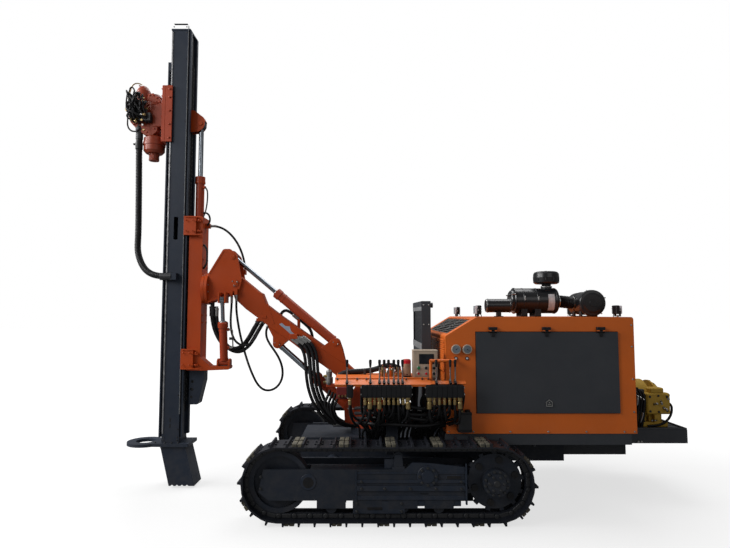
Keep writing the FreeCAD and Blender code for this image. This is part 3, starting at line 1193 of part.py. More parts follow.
rain_top = taper("rain_top", "z", s.cleaner_x + 365, s.cleaner_y, s.cleaner_z + 265, 128, 60, 44)
node("air_cleaner", join("air_cleaner", cleaner_body, cleaner_end, cleaner_foot, neck, rain_cap, rain_top))
cross_body = bar("cross_body", "y", s.cross_x, -s.cross_length, s.cleaner_z - 10, s.cleaner_radius,
                 s.cross_length)
cross_end = bar("cross_end", "y", s.cross_x, -s.cross_length - 16, s.cleaner_z - 10, s.cleaner_radius - 16, 20)
cross_foot = slab("cross_foot", s.cross_x - 80, roof, 160, 200, s.cleaner_z - 10 - roof, -210)
node("cross_cleaner", join("cross_cleaner", cross_body, cross_end, cross_foot))
elbow_bar = bar("elbow_bar", "x", s.cleaner_x + s.cleaner_length + 0.3, s.cleaner_y, s.cleaner_z - 10, 58,
                s.cross_x - s.cleaner_x - s.cleaner_length)
elbow_end = bar("elbow_end", "y", s.cross_x, -s.cross_length - 20, s.cleaner_z - 10, s.cleaner_radius + 0.3,
                s.cross_length + 40)
node("intake_elbow", cut("intake_elbow", elbow_bar, elbow_end))

# compressor and its platform behind the cabinet
rear_plate = slab("rear_plate", cab_back + 0.3, s.rear_base + 60, s.rear_length, s.rear_wide, s.rear_rise - 60)
rear_rails = [slab("rear_rail_%d" % (edge + 1), cab_back + 0.3, s.rear_base, s.rear_length, 90, 80,
                   edge * (s.rear_wide / 2 - 45)) for edge in (-1, 1)]
tongue_x = s.chassis_front + s.chassis_length + 0.3
rear_tongue = slab("rear_tongue", tongue_x, s.chassis_base + 20, cab_back + 200 - tongue_x, 300,
                   s.deck_base - 0.3 - s.chassis_base - 20)
rear_riser = slab("rear_riser", cab_back + 40, s.rear_base, 160, 300, 70)
node("rear_platform", join("rear_platform", rear_plate, rear_tongue, rear_riser, *rear_rails))
airend_z = s.rear_base + s.rear_rise + 0.3
airend_x = cab_back + 30
airend_shell = bar("airend_shell", "x", airend_x, -130, airend_z + s.airend_radius + 20, s.airend_radius,
                   s.airend_length - 120)
airend_foot = slab("airend_foot", airend_x + 20, airend_z, s.airend_length - 160, 300, s.airend_radius, -130)
airend_box = slab("airend_box", airend_x + s.airend_length - 130, airend_z, 130, 360, 330, -130)
node("air_end", join("air_end", airend_shell, airend_foot, airend_box))

# operator's table
table_plate = block("table_plate", s.table_front, s.table_near, s.table_base, s.table_length, s.table_wide, s.table_rise)
table_room = block("table_room", s.table_front + 10, s.table_near + 10, s.table_base - 1, s.table_length - 20,
                   s.table_wide - 20, s.table_rise - 9)
table_hold = block("table_hold", s.table_front + 460, s.table_near + 150, s.table_base + 0.3, 130, 110, s.table_rise - 5)
node("control_box", block("control_box", s.control_x, s.table_near + 60, s.table_base + s.table_rise + 0.3, 225, 130, 245))
banks = []
for number, (left, length) in enumerate(BANKS):
    banks.append(block("bank_%d" % number, left, s.table_near - s.bank_deep - 8, s.table_base - s.bank_rise + 10,
                       length, s.bank_deep, s.bank_rise))
    banks.append(block("bank_lug_%d" % number, left + 8, s.table_near - 12, s.table_base - 30, length - 16, 11.7, 30))
node("valve_banks", together("valve_banks_all", *[join("valve_bank_%d" % number, *banks[2 * number:2 * number + 2])
                                                 for number in range(3)]))
levers = []
for number, x in enumerate(LEVERS):
    lever_y = s.table_near - s.bank_deep / 2 - 8
    levers.append(bar("lever_rod_%d" % number, "z", x, lever_y, s.table_base + 10.3, 6, 170))
    levers.append(bar("lever_knob_%d" % number, "z", x, lever_y, s.table_base + 165, 17, 40))
node("levers", join("levers", *levers))
rail_x = s.table_front + s.table_length + 14
rail_up = bar("guard_post", "z", rail_x, s.table_near + 20, s.table_base, s.tube_radius, 220)
rail_across = bar("guard_bar", "x", rail_x - 10, s.table_near + 20, s.table_base + 216, s.tube_radius, 240)
rail_in = bar("guard_end", "y", rail_x + 226, s.table_near + 20, s.table_base + 216, s.tube_radius,
              -(s.table_near + 20) - s.cab_wide / 2 - 0.3)
rail_lug = block("guard_lug", rail_x - 20, s.table_near, s.table_base, 34, 40, 40)
node("control_table", join("control_table", cut("table_shell", table_plate, table_room), table_hold, rail_lug,
                           rail_up, rail_across, rail_in))
jar_base = s.table_base + s.table_rise + 0.3
jar_y = s.table_near + 130
node("fluid_jar", join("fluid_jar", bar("jar_body", "z", s.jar_x, jar_y, jar_base, 40, 120),
                       bar("jar_cap", "z", s.jar_x, jar_y, jar_base + 119, 34, 40)))
node("side_tank", block("side_tank", s.tank_x, -s.cab_wide / 2 - 100.3, deck_top + 30, 122, 100, 180))
node("gauges", together("gauges_all", *[bar("gauge_%d" % number, "y", x, -s.cab_wide / 2 - 22.3, s.gauge_z, 44, 22)
                                        for number, x in enumerate((s.tank_x, s.tank_x + 103))]))


# hoses: each runs through its own list of points, with its arcs as large as the runs allow
def hose(label, diameter, points):
    """A hose as straight runs joined by tangent arcs, swept with a round section."""
    points = [FreeCAD.Vector(*point) for point in points]
    edges = []
    radii = []
    start = points[0]
    for before, corner, after in zip(points, points[1:], points[2:]):
        back = before - corner
        ahead = after - corner
        turn = math.pi - back.getAngle(ahead)
        radius = 0.45 * min(back.Length, ahead.Length) / math.tan(turn / 2)
        first, crest, last = rounded_corner(before, corner, after, radius)
        edges.append(Part.LineSegment(start, first).toShape())
        edges.append(Part.Arc(first, crest, last).toShape())
        radii.append(radius)
        start = last
    edges.append(Part.LineSegment(start, points[-1]).toShape())
    path = Part.Wire(edges)
    ring = Part.Circle(points[0], points[1] - points[0], diameter / 2).toShape()
    swept = path.makePipeShell([Part.Wire([ring])], True, False)
    expected = math.pi * diameter ** 2 / 4 * path.Length
    print("%s: %.2f m, tightest bend %.0f mm, volume %.4f of section by length"
          % (label, path.Length / 1000, min(radii), swept.Volume / expected))
    made = doc.addObject("Part::Feature", label)
    made.Shape = swept
    made.Placement = FreeCAD.Placement()
    return node(label, made)


hose("drag_hose", 60, [
    (-2750, -60, 3835), (-2750, -60, 3610), (-2763, -60, 3340), (-2761, -62, 3060), (-2757, -64, 2810),
    (-2755, -68, 2640), (-2753, -78, 2488), (-2700, -98, 2356), (-2599, -128, 2252), (-2467, -158, 2200),
    (-2325, -158, 2200)])
hose("slide_hose", 18, [
    (-1965, 0, 2765), (-1905, 0, 2765), (-1835, 14, 2745), (-1770, 40, 2700), (-1715, 75, 2635),
    (-1673, 108, 2560), (-1643, 134, 2480), (-1623, 148, 2400), (-1615, 150, 2340), (-1615, 150, 2290)])
hose("tip_hose", 40, [
    (-1925, 0, 1880), (-1925, 0, 1800), (-1913, 6, 1700), (-1883, 12, 1600), (-1831, 16, 1505), (-1755, 18, 1440),
    (-1663, 18, 1420), (-1583, 16, 1465), (-1525, 12, 1545), (-1476, 6, 1633), (-1424.6, 0, 1719.7),
    (-1376.8, 0, 1783.2)])
hose("loop_hose", 16, [
    (-1695, -91, 1990), (-1695, -91, 1930), (-1698, -93, 1850), (-1702, -96, 1760), (-1699, -98, 1670),
    (-1683, -98, 1580), (-1645, -96, 1508), (-1583, -90, 1470), (-1515, -80, 1475), (-1459, -68, 1518),
    (-1423, -58, 1585), (-1401, -52, 1655), (-1376.7, -50, 1716.9), (-1352.8, -50, 1748.6)])
hose("drop_hose", 16, [
    (-1285, -50, 1714), (-1314.8, -50, 1674.4), (-1331, -54, 1615), (-1323, -60, 1550), (-1291, -66, 1490),
    (-1247, -72, 1430), (-1200, -78, 1365), (-1160, -82, 1285), (-1140, -84, 1195), (-1150, -84, 1108),
    (-1195, -84, 1035), (-1265, -84, 995), (-1345, -84, 1000), (-1410, -82, 1060), (-1458, -76, 1148),
    (-1501, -68, 1244), (-1538, -62, 1346), (-1571, -59, 1452), (-1600, -60, 1560), (-1623, -66, 1670),
    (-1639, -77, 1780), (-1646, -89, 1872), (-1645, -91, 1950), (-1645, -91, 2010)])
hose("under_hose", 34, [
    (-994, -105, 1542.7), (-922.5, -105, 1488.9), (-875, -108, 1415), (-855, -112, 1325), (-848, -116, 1230),
    (-840, -120, 1130), (-823, -122, 1035), (-795, -122, 945), (-757, -120, 860), (-711, -114, 785),
    (-655, -102, 717), (-588, -88, 665), (-511, -80, 643), (-481, -80, 643)])

doc.recompute()
for thing in doc.Objects:
    if "Invalid" in thing.State or "Error" in thing.State:
        raise RuntimeError("%s failed: %s" % (thing.Name, thing.State))
for thing in nodes:
    shape = thing.Shape
    if shape.isNull() or not shape.isValid():
        raise RuntimeError("%s has no valid shape" % thing.Label)
    if not shape.Solids:
        raise RuntimeError("%s holds no solid" % thing.Label)
for thing in nodes:
    thing.Shape.exportStep("parts/%s.step" % thing.Label)
print("%d sub-parts, %.3f cubic metres" % (len(nodes), sum(thing.Shape.Volume for thing in nodes) / 1e9))
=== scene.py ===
# %% [markdown]
# # A crawler drilling rig
# The rig stands on two tracks. A cabinet with the engine is behind, an arm and an upright mast are in front,
# and the operator works at a table of levers on the near side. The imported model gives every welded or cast
# piece at its true size, so it is loaded first, and what follows dresses it: finishes, bolts, fittings,
# gauges and hoses.

# %% Load the rig
import bmesh
import bpy
from math import cos, pi, radians, sin
from mathutils import Matrix, Vector


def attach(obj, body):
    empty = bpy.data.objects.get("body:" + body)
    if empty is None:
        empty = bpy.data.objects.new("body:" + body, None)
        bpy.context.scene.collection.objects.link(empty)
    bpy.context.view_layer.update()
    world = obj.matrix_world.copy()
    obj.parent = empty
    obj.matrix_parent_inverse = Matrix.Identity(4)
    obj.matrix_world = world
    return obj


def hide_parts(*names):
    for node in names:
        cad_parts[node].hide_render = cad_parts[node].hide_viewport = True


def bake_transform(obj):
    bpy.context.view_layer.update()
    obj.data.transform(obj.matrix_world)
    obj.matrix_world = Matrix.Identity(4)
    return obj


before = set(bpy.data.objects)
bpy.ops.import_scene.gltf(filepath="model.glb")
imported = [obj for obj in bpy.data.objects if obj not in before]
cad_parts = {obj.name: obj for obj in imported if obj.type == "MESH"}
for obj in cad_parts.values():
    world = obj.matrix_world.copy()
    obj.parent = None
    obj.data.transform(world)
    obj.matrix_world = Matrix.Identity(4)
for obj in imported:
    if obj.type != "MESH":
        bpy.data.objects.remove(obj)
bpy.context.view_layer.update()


def placed(name, data):
    """An object of some data, linked to the scene."""
    thing = bpy.data.objects.new(name, data)
    bpy.context.scene.collection.objects.link(thing)
    return thing

# %% [markdown]
# ## Camera
# The photograph was taken from standing height, square to the rig's side. A wide lens at that height looks
# slightly upwards, so the lens and the tilt are set first and nothing is judged before they match.

# %% Camera
LENS_MM = 27.07
EYE = Vector((-0.269, -5.97, 1.80))
camera_data = bpy.data.cameras.new("camera")
camera_data.lens = LENS_MM
camera_data.sensor_width = 36.0
camera = placed("camera", camera_data)
camera.location = EYE
camera.rotation_euler = (radians(94.2), 0.0, 0.0)
bpy.context.scene.camera = camera
bpy.context.scene.view_settings.view_transform = "Standard"
print("camera at", tuple(EYE))

# %% [markdown]
# ## Finishes
# Each finish is a small node tree. Paint on a working machine is never one flat colour: it fades a little,
# gathers dust low down and is glossier where it is wiped. Noise on Object coordinates gives this without any
# picture, and it stays fixed to the steel when a joint moves.

# %% The parts of a finish
def new_finish(name):
    """A material, its node tree, its shader and its texture coordinates."""
    print("finish:", name)
    finish = bpy.data.materials.new(name)
    finish.use_nodes = True
    tree = finish.node_tree
    shader = tree.nodes["Principled BSDF"]
    place = tree.nodes.new("ShaderNodeTexCoord")
    return finish, tree, shader, place


def settle(node, values):
    """Gives a node's inputs their constants."""
    for name, value in values.items():
        node.inputs[name].default_value = value
    return node


def noise(tree, place, scale, detail=3.0, rough=0.55):
    """A noise that is fixed to the piece."""
    made = settle(tree.nodes.new("ShaderNodeTexNoise"), {"Scale": scale, "Detail": detail, "Roughness": rough})
    tree.links.new(place.outputs["Object"], made.inputs["Vector"])
    return made.outputs["Fac"]


def ramp(tree, fac, low, high, start, end):
    """Maps a value onto two stops."""
    made = settle(tree.nodes.new("ShaderNodeMapRange"),
                  {"From Min": low, "From Max": high, "To Min": start, "To Max": end})
    tree.links.new(fac, made.inputs["Value"])
    return made.outputs["Result"]


def mix(tree, fac, first, second):
    """Mixes two colours; either may be a socket."""
    made = tree.nodes.new("ShaderNodeMix")
    made.data_type = "RGBA"
    for value, socket in ((first, made.inputs[6]), (second, made.inputs[7])):
        if isinstance(value, (tuple, list)):
            socket.default_value = (*value, 1.0)
        else:
            tree.links.new(value, socket)
    tree.links.new(fac, made.inputs[0])
    return made.outputs[2]


def bump(tree, shader, height, strength, distance):
    """Raises the surface by a height."""
    made = settle(tree.nodes.new("ShaderNodeBump"), {"Strength": strength, "Distance": distance})
    tree.links.new(height, made.inputs["Height"])
    tree.links.new(made.outputs["Normal"], shader.inputs["Normal"])

# %% Sprayed paint
def sprayed_paint(name, colour, rough=0.42, dust=0.10, dust_top=0.9, coat=0.06):
    """Machine paint with faint fading, an uneven gloss and dust below a height."""
    finish, tree, shader, place = new_finish(name)
    fade = ramp(tree, noise(tree, place, 1.7, 4.0), 0.3, 0.7, 0.0, 1.0)
    worn = mix(tree, fade, tuple(c * 0.88 for c in colour), tuple(min(1.0, c * 1.08) for c in colour))
    height = tree.nodes.new("ShaderNodeSeparateXYZ")
    tree.links.new(place.outputs["Object"], height.inputs["Vector"])
    low = ramp(tree, height.outputs["Z"], 0.0, dust_top, dust, 0.02)
    patch = ramp(tree, noise(tree, place, 9.0, 5.0, 0.65), 0.42, 0.68, 0.0, 1.0)
    amount = tree.nodes.new("ShaderNodeMath")
    amount.operation = "MULTIPLY"
    tree.links.new(low, amount.inputs[0])
    tree.links.new(patch, amount.inputs[1])
    tree.links.new(mix(tree, amount.outputs[0], worn, DUST), shader.inputs["Base Color"])
    tree.links.new(ramp(tree, noise(tree, place, 5.0), 0.3, 0.7, rough - 0.06, rough + 0.10),
                   shader.inputs["Roughness"])
    settle(shader, {"Specular IOR Level": 0.3, "Coat Weight": coat, "Coat Roughness": 0.18})
    bump(tree, shader, noise(tree, place, 320.0, 2.0), 0.05, 0.0006)
    return finish


DUST = (0.19, 0.155, 0.115)
ORANGE = sprayed_paint("cabinet orange", (0.64, 0.132, 0.015), dust=0.12)
BOOM_ORANGE = sprayed_paint("boom orange", (0.39, 0.048, 0.003))
RED_ORANGE = sprayed_paint("red orange paint", (0.34, 0.042, 0.010))
RUST_RED = sprayed_paint("rust red primer", (0.17, 0.022, 0.020), rough=0.5)
HEAD_RED = sprayed_paint("dark red paint", (0.27, 0.043, 0.017))
SLATE = sprayed_paint("slate paint", (0.014, 0.021, 0.036), rough=0.46)
UNDER_SLATE = sprayed_paint("slate paint below the deck", (0.015, 0.020, 0.031), rough=0.52, coat=0.0)
CHARCOAL = sprayed_paint("charcoal paint", (0.040, 0.044, 0.052), rough=0.48, dust=0.06)
CREAM = sprayed_paint("cream enamel", (0.42, 0.34, 0.26), rough=0.4, dust=0.05)
OCHRE = sprayed_paint("ochre paint", (0.46, 0.285, 0.035), rough=0.45)
BLACK_GLOSS = sprayed_paint("black enamel", (0.008, 0.009, 0.011), rough=0.3, dust=0.03, coat=0.3)
BLACK = sprayed_paint("black satin", (0.0055, 0.006, 0.008), rough=0.5, dust=0.08, coat=0.0)

# %% [markdown]
# Bare metal needs no colour of its own beyond a tint: a high Metallic value and an uneven roughness do the
# work. Fittings on such machines are zinc or brass with a yellow passivated film, rods are hard chrome, and
# the track steel is dark, worn bright only on its edges.

# %% Bare metals
def bare_metal(name, colour, rough, streak=0.08, scale=14.0, metallic=1.0):
    """Metal with a slightly uneven roughness."""
    finish, tree, shader, place = new_finish(name)
    shader.inputs["Metallic"].default_value = metallic
    spots = noise(tree, place, scale, 4.0)
    tint = mix(tree, ramp(tree, spots, 0.35, 0.65, 0.0, 1.0), tuple(c * 0.8 for c in colour), colour)
    tree.links.new(tint, shader.inputs["Base Color"])
    tree.links.new(ramp(tree, noise(tree, place, scale * 2), 0.3, 0.7, max(0.03, rough - streak),
                        rough + streak), shader.inputs["Roughness"])
    return finish


CHROME = bare_metal("hard chrome", (0.30, 0.33, 0.37), 0.16, 0.04)
STEEL = bare_metal("machined steel", (0.42, 0.42, 0.43), 0.34)
ZINC = bare_metal("zinc plate", (0.42, 0.42, 0.41), 0.36)
BRASS = bare_metal("yellow passivated zinc", (0.42, 0.31, 0.14), 0.34)
TRACK_STEEL = bare_metal("track steel", (0.011, 0.013, 0.020), 0.50, 0.12, 22.0, 0.3)
CAST = bare_metal("cast steel", (0.036, 0.037, 0.040), 0.55, 0.1, 30.0, 0.4)
REFLECTOR = bare_metal("lamp reflector", (0.8, 0.8, 0.8), 0.1, 0.03)

# %% Worn track pads
def pad_rubber():
    """Track pads: pale dried mud over dark polyurethane, heavier in the hollows of a coarse noise."""
    finish, tree, shader, place = new_finish("track pads")
    mud = ramp(tree, noise(tree, place, 26.0, 5.0, 0.7), 0.38, 0.62, 0.0, 1.0)
    tree.links.new(mix(tree, mud, (0.040, 0.038, 0.030), (0.13, 0.115, 0.08)), shader.inputs["Base Color"])
    shader.inputs["Roughness"].default_value = 0.8
    bump(tree, shader, noise(tree, place, 120.0, 4.0), 0.4, 0.002)
    return finish


PAD = pad_rubber()

# %% Rubber and plastics
def rubber(name, colour, rough=0.5):
    """Rubber or plastic with a fine grain."""
    finish, tree, shader, place = new_finish(name)
    shader.inputs["Specular IOR Level"].default_value = 0.25
    spots = ramp(tree, noise(tree, place, 18.0, 4.0), 0.35, 0.7, 0.0, 1.0)
    tree.links.new(mix(tree, spots, colour, tuple(c * 1.5 + 0.003 for c in colour)), shader.inputs["Base Color"])
    tree.links.new(ramp(tree, noise(tree, place, 40.0), 0.3, 0.7, rough - 0.08, rough + 0.12),
                   shader.inputs["Roughness"])
    bump(tree, shader, noise(tree, place, 420.0, 2.0), 0.12, 0.0005)
    return finish


RUBBER = rubber("hose rubber", (0.0055, 0.0055, 0.0065), 0.50)
KNOB = rubber("black knob", (0.01, 0.01, 0.011), 0.26)
RED_CAP = rubber("red cap", (0.42, 0.012, 0.02), 0.35)
GREEN_CAP = rubber("green cap", (0.02, 0.14, 0.05), 0.35)
SCREEN = rubber("screen", (0.012, 0.014, 0.018), 0.12)
CORE = rubber("cooler core", (0.008, 0.008, 0.010), 0.6)
GREY_STRIP = rubber("grey tank", (0.17, 0.175, 0.18), 0.45)
DIAL = rubber("dial face", (0.12, 0.14, 0.16), 0.5)
PALE = rubber("white button", (0.55, 0.56, 0.60), 0.3)
LABEL = rubber("bare foil plate", (0.42, 0.42, 0.43), 0.3)
DECAL = rubber("bare film", (0.25, 0.30, 0.38), 0.35)
JAR = rubber("smoked jar", (0.28, 0.17, 0.11), 0.3)

# %% [markdown]
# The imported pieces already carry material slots, one for each. Giving every slot its finish paints most of
# the rig in one step, and only pieces of two finishes need more geometry on top. What the list leaves out is
# rubber.

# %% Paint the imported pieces
PAINTED = (
    (TRACK_STEEL, "track"), (CHROME, "turn_rod lift_rod pitch_rod push_rod sway_rod levers"),
    (UNDER_SLATE, "track_frame wheels sprocket chassis_frame turn_barrel"),
    (RED_ORANGE, "boom_post lift_barrel pitch_barrel push_barrel sway_barrel carriage"),
    (BOOM_ORANGE, "boom arm_head slide_frame"), (SLATE, "tail_bracket mast guide_ring claw_foot"),
    (HEAD_RED, "rotary_head head_motor spindle"), (ORANGE, "cabinet_shell front_louvres control_table"),
    (CHARCOAL, "base_deck door oil_cooler rear_platform"), (ZINC, "brow_grille gauges"), (CAST, "engine_block"),
    (BLACK, "work_lamps valve_banks"), (BLACK_GLOSS, "muffler air_cleaner cross_cleaner side_tank"),
    (OCHRE, "air_end"), (CREAM, "control_box"), (JAR, "fluid_jar"))
FINISH_OF = {label: finish for finish, labels in PAINTED for label in labels.split()}
for label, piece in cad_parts.items():
    stem = label.rsplit("_", 1)[0] if label.endswith(("_near", "_far")) else label
    finish = FINISH_OF.get(label) or FINISH_OF.get(stem) or RUBBER
    for slot in piece.material_slots:
        slot.material = finish
print("painted pieces:", len(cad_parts))

# %% [markdown]
# ## Hoses
# A hose leaves its fitting straight, hangs in one easy curve and comes back straight. A NURBS spline whose
# control points lie on that route gives the curve. A hose between two pieces that move apart is a mesh tube
# along the spline's own line.

# %% Reading a route's smooth line
def smooth_line(name, points, fine=10):
    """The line of a NURBS spline through a route's control points."""
    data = bpy.data.curves.new(name, "CURVE")
    data.dimensions = "3D"
    spline = data.splines.new("NURBS")
    spline.points.add(len(points) - 1)
    for knot, point in zip(spline.points, points):
        knot.co = (*point, 1.0)
    spline.order_u = 3
    spline.use_endpoint_u = True
    spline.resolution_u = fine
    holder = placed(name + "_line", data)
    bpy.context.view_layer.update()
    mesh = bpy.data.meshes.new_from_object(holder.evaluated_get(bpy.context.evaluated_depsgraph_get()))
    line = [v.co.copy() for v in mesh.vertices]
    bpy.data.objects.remove(holder)
    bpy.data.meshes.remove(mesh)
    clean = [line[0]]
    for point in line[1:]:
        if (point - clean[-1]).length > 1e-5:
            clean.append(point)
    return clean


def ring(mesh, centre, side, third, radius, sides):
    """Vertices round a centre, in the plane of two directions."""
    turns = [2 * pi * k / sides for k in range(sides)]
    return [mesh.verts.new(centre + (side * cos(turn) + third * sin(turn)) * radius) for turn in turns]


def skin(mesh, rings, smooth, finish=0):
    """Faces between rings, with closed ends; smooth holds a yes or no for every gap."""
    for first, second, soft in zip(rings, rings[1:], smooth):
        for k, corner in enumerate(first):
            ahead = (k + 1) % len(first)
            face = mesh.faces.new((corner, first[ahead], second[ahead], second[k]))
            face.smooth = soft
            face.material_index = finish
    for end in (list(reversed(rings[0])), rings[-1]):
        mesh.faces.new(end).material_index = finish


def sweep(mesh, line, radius_at, sides=14, finish=0):
    """Adds a round tube along a line to a bmesh; radius_at gives the radius at a distance from its start."""
    across = Vector((0.0, 1.0, 0.0))
    way = (line[1] - line[0]).normalized()
    if abs(way.dot(across)) > 0.9:
        across = Vector((1.0, 0.0, 0.0))
    side = way.cross(across).normalized()
    rings = []
    walked = 0.0
    for number, point in enumerate(line):
        if number:
            walked += (point - line[number - 1]).length
        ahead = line[min(number + 1, len(line) - 1)] - line[max(number - 1, 0)]
        way = ahead.normalized()
        side = (side - way * side.dot(way)).normalized()
        rings.append(ring(mesh, point, side, way.cross(side), radius_at(walked), sides))
    skin(mesh, rings, [True] * len(rings), finish)


def length_of(line):
    """The length of a line of points."""
    return sum((b - a).length for a, b in zip(line, line[1:]))

# %% Putting a mesh in the scene
def show(name, mesh, finishes, body=None):
    """Turns a bmesh into a piece that rides on a body."""
    data = bpy.data.meshes.new(name)
    mesh.to_mesh(data)
    mesh.free()
    for finish in finishes:
        data.materials.append(finish)
    piece = placed(name, data)
    if body:
        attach(piece, body)
    print(name, "has", len(data.polygons), "faces")
    return piece

# %% Routes of the free hoses
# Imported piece: diameter, stiffness, the two bodies that it joins, ribs per metre and its route.
HOSES = {
    "drag_hose": (0.07, "medium", ("carriage", "mast"), 60, (
        (-2.75, -0.06, 3.835), (-2.75, -0.06, 3.61), (-2.742, -0.06, 3.34), (-2.735, -0.062, 3.06),
        (-2.729, -0.064, 2.81), (-2.726, -0.068, 2.64), (-2.726, -0.078, 2.488), (-2.68, -0.098, 2.356),
        (-2.599, -0.128, 2.252), (-2.467, -0.158, 2.2), (-2.325, -0.158, 2.2))),
    "slide_hose": (0.024, "medium", ("slide_frame", "arm_head"), 0, (
        (-1.965, 0, 2.765), (-1.905, 0, 2.765), (-1.835, 0.014, 2.745), (-1.77, 0.04, 2.7),
        (-1.715, 0.075, 2.635), (-1.673, 0.108, 2.56), (-1.643, 0.134, 2.48), (-1.623, 0.148, 2.4),
        (-1.615, 0.15, 2.34), (-1.615, 0.15, 2.29))),
    "tip_hose": (0.054, "medium", ("arm_head", "boom"), 70, (
        (-1.925, 0, 1.88), (-1.925, 0, 1.8), (-1.913, 0.006, 1.7), (-1.883, 0.012, 1.6), (-1.831, 0.016, 1.505),
        (-1.755, 0.018, 1.44), (-1.663, 0.018, 1.42), (-1.583, 0.016, 1.465), (-1.525, 0.012, 1.545),
        (-1.476, 0.006, 1.633), (-1.4246, 0, 1.7197), (-1.3768, 0, 1.7832))),
    "loop_hose": (0.024, "medium", ("arm_head", "boom"), 0, (
        (-1.695, -0.091, 1.99), (-1.695, -0.091, 1.93), (-1.698, -0.093, 1.85), (-1.702, -0.096, 1.76),
        (-1.699, -0.098, 1.67), (-1.683, -0.098, 1.58), (-1.645, -0.096, 1.508), (-1.583, -0.09, 1.47),
        (-1.515, -0.08, 1.475), (-1.459, -0.068, 1.518), (-1.423, -0.058, 1.585), (-1.401, -0.052, 1.655),
        (-1.3767, -0.05, 1.7169), (-1.3528, -0.05, 1.7486))),
    "drop_hose": (0.024, "limp", ("boom", "arm_head"), 0, (
        (-1.285, -0.05, 1.714), (-1.3148, -0.05, 1.6744), (-1.331, -0.054, 1.615), (-1.323, -0.06, 1.55),
        (-1.291, -0.066, 1.49), (-1.247, -0.072, 1.43), (-1.2, -0.078, 1.365), (-1.16, -0.082, 1.285),
        (-1.14, -0.084, 1.195), (-1.15, -0.084, 1.108), (-1.195, -0.084, 1.035), (-1.265, -0.084, 0.995),
        (-1.345, -0.084, 1.0), (-1.41, -0.082, 1.06), (-1.458, -0.076, 1.148), (-1.501, -0.068, 1.244),
        (-1.538, -0.062, 1.346), (-1.571, -0.059, 1.452), (-1.6, -0.06, 1.56), (-1.623, -0.066, 1.67),
        (-1.639, -0.077, 1.78), (-1.646, -0.089, 1.872), (-1.645, -0.091, 1.95), (-1.645, -0.091, 2.01))),
    "under_hose": (0.046, "medium", ("boom", "boom_post"), 80, (
        (-0.994, -0.105, 1.5427), (-0.9225, -0.105, 1.4889), (-0.875, -0.108, 1.415), (-0.855, -0.112, 1.325),
        (-0.848, -0.116, 1.23), (-0.84, -0.12, 1.13), (-0.823, -0.122, 1.035), (-0.795, -0.122, 0.945),
        (-0.757, -0.12, 0.86), (-0.711, -0.114, 0.785), (-0.655, -0.102, 0.717), (-0.588, -0.088, 0.665),
        (-0.511, -0.08, 0.643), (-0.481, -0.08, 0.643))),
}


def ribbed(radius, per_metre):
    """A wavy radius for a corrugated sleeve, or a plain one."""
    if not per_metre:
        return lambda walked: radius
    return lambda walked: radius * (0.93 + 0.07 * cos(2 * pi * per_metre * walked))


def evenly(line, steps):
    """The same line with its points at equal distances, so that every rib gets the same share."""
    whole = length_of(line)
    spaced = [line[0]]
    walked, index = 0.0, 0
    for step in range(1, steps):
        target = whole * step / steps
        while walked + (line[index + 1] - line[index]).length < target:
            walked += (line[index + 1] - line[index]).length
            index += 1
        part = (target - walked) / (line[index + 1] - line[index]).length
        spaced.append(line[index].lerp(line[index + 1], part))
    return spaced + [line[-1]]

# %% [markdown]
# Two of these hoses are bundles in the photograph. The hoses beside the first one take its route, moved by a
# few centimetres, and are plain and thinner.

# %% Hoses beside the under hose and the tip hose
COMPANIONS = {"under_hose": ((-0.044, -0.004, -0.006), (0.041, -0.006, 0.006), (0.078, 0.002, 0.01)),
              "tip_hose": ((0.03, 0.02, -0.034), (0.052, -0.012, -0.02))}
COMPANION_DIAMETER = 0.034
for label, shifts in COMPANIONS.items():
    diameter, stiffness, pair, ribs, route = HOSES[label]
    for number, shift in enumerate(shifts):
        moved = tuple(tuple(round(a + b, 4) for a, b in zip(point, shift)) for point in route)
        HOSES[label + "_beside_%d" % (number + 1)] = (COMPANION_DIAMETER, stiffness, pair, 0, moved)
print("free hoses:", len(HOSES))

# %% Hoses between two pieces
POINTS_TO_A_RIB = 4
for label, (diameter, stiffness, (first_body, last_body), ribs, route) in HOSES.items():
    line = smooth_line(label, route, 24 if ribs else 10)
    real_length = length_of(line)
    if ribs:
        line = evenly(line, int(real_length * ribs * POINTS_TO_A_RIB))
    tube = bmesh.new()
    sweep(tube, line, ribbed(diameter / 2, ribs), 16 if ribs else 12)
    hose = show(label.replace("_", " "), tube, [RUBBER])
    hose.name = label + "_tube"
    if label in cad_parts:
        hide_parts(label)
    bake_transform(hose)
    print(label, "is %.2f m long" % real_length)

# %% Crimped sleeves at the hoses' ends
SLEEVE_SIDES, THICK_HOSE = 14, 0.05
for label, (diameter, stiffness, (first_body, last_body), ribs, route) in HOSES.items():
    back = 0.052 if label in ("tip_hose", "drag_hose") else 0.026
    steps = ((-back, -0.004, 0.42), (-0.006, 0.016, 0.62), (0.014, 0.046 + diameter, 0.56))
    for place, towards, body, which in ((route[0], route[1], first_body, "first"),
                                        (route[-1], route[-2], last_body, "last")):
        way = (Vector(towards) - Vector(place)).normalized()
        side = way.cross(Vector((0.3, 1.0, 0.2))).normalized()
        sleeve = bmesh.new()
        for start, end, share in steps:
            rings = [ring(sleeve, Vector(place) + way * walk, side, way.cross(side), diameter * share,
                          SLEEVE_SIDES) for walk in (start, end)]
            skin(sleeve, rings, [False])
        show(label + "_sleeve_" + which, sleeve, [ZINC if diameter < THICK_HOSE else CAST], body)

# %% [markdown]
# ## Small shapes
# Most trim is made of a few shapes: a block with broken edges, a round bar, a turned part and a cut plate.
# Each one is added to the bmesh of its piece, so that one finished mesh holds everything that rides on one
# body.

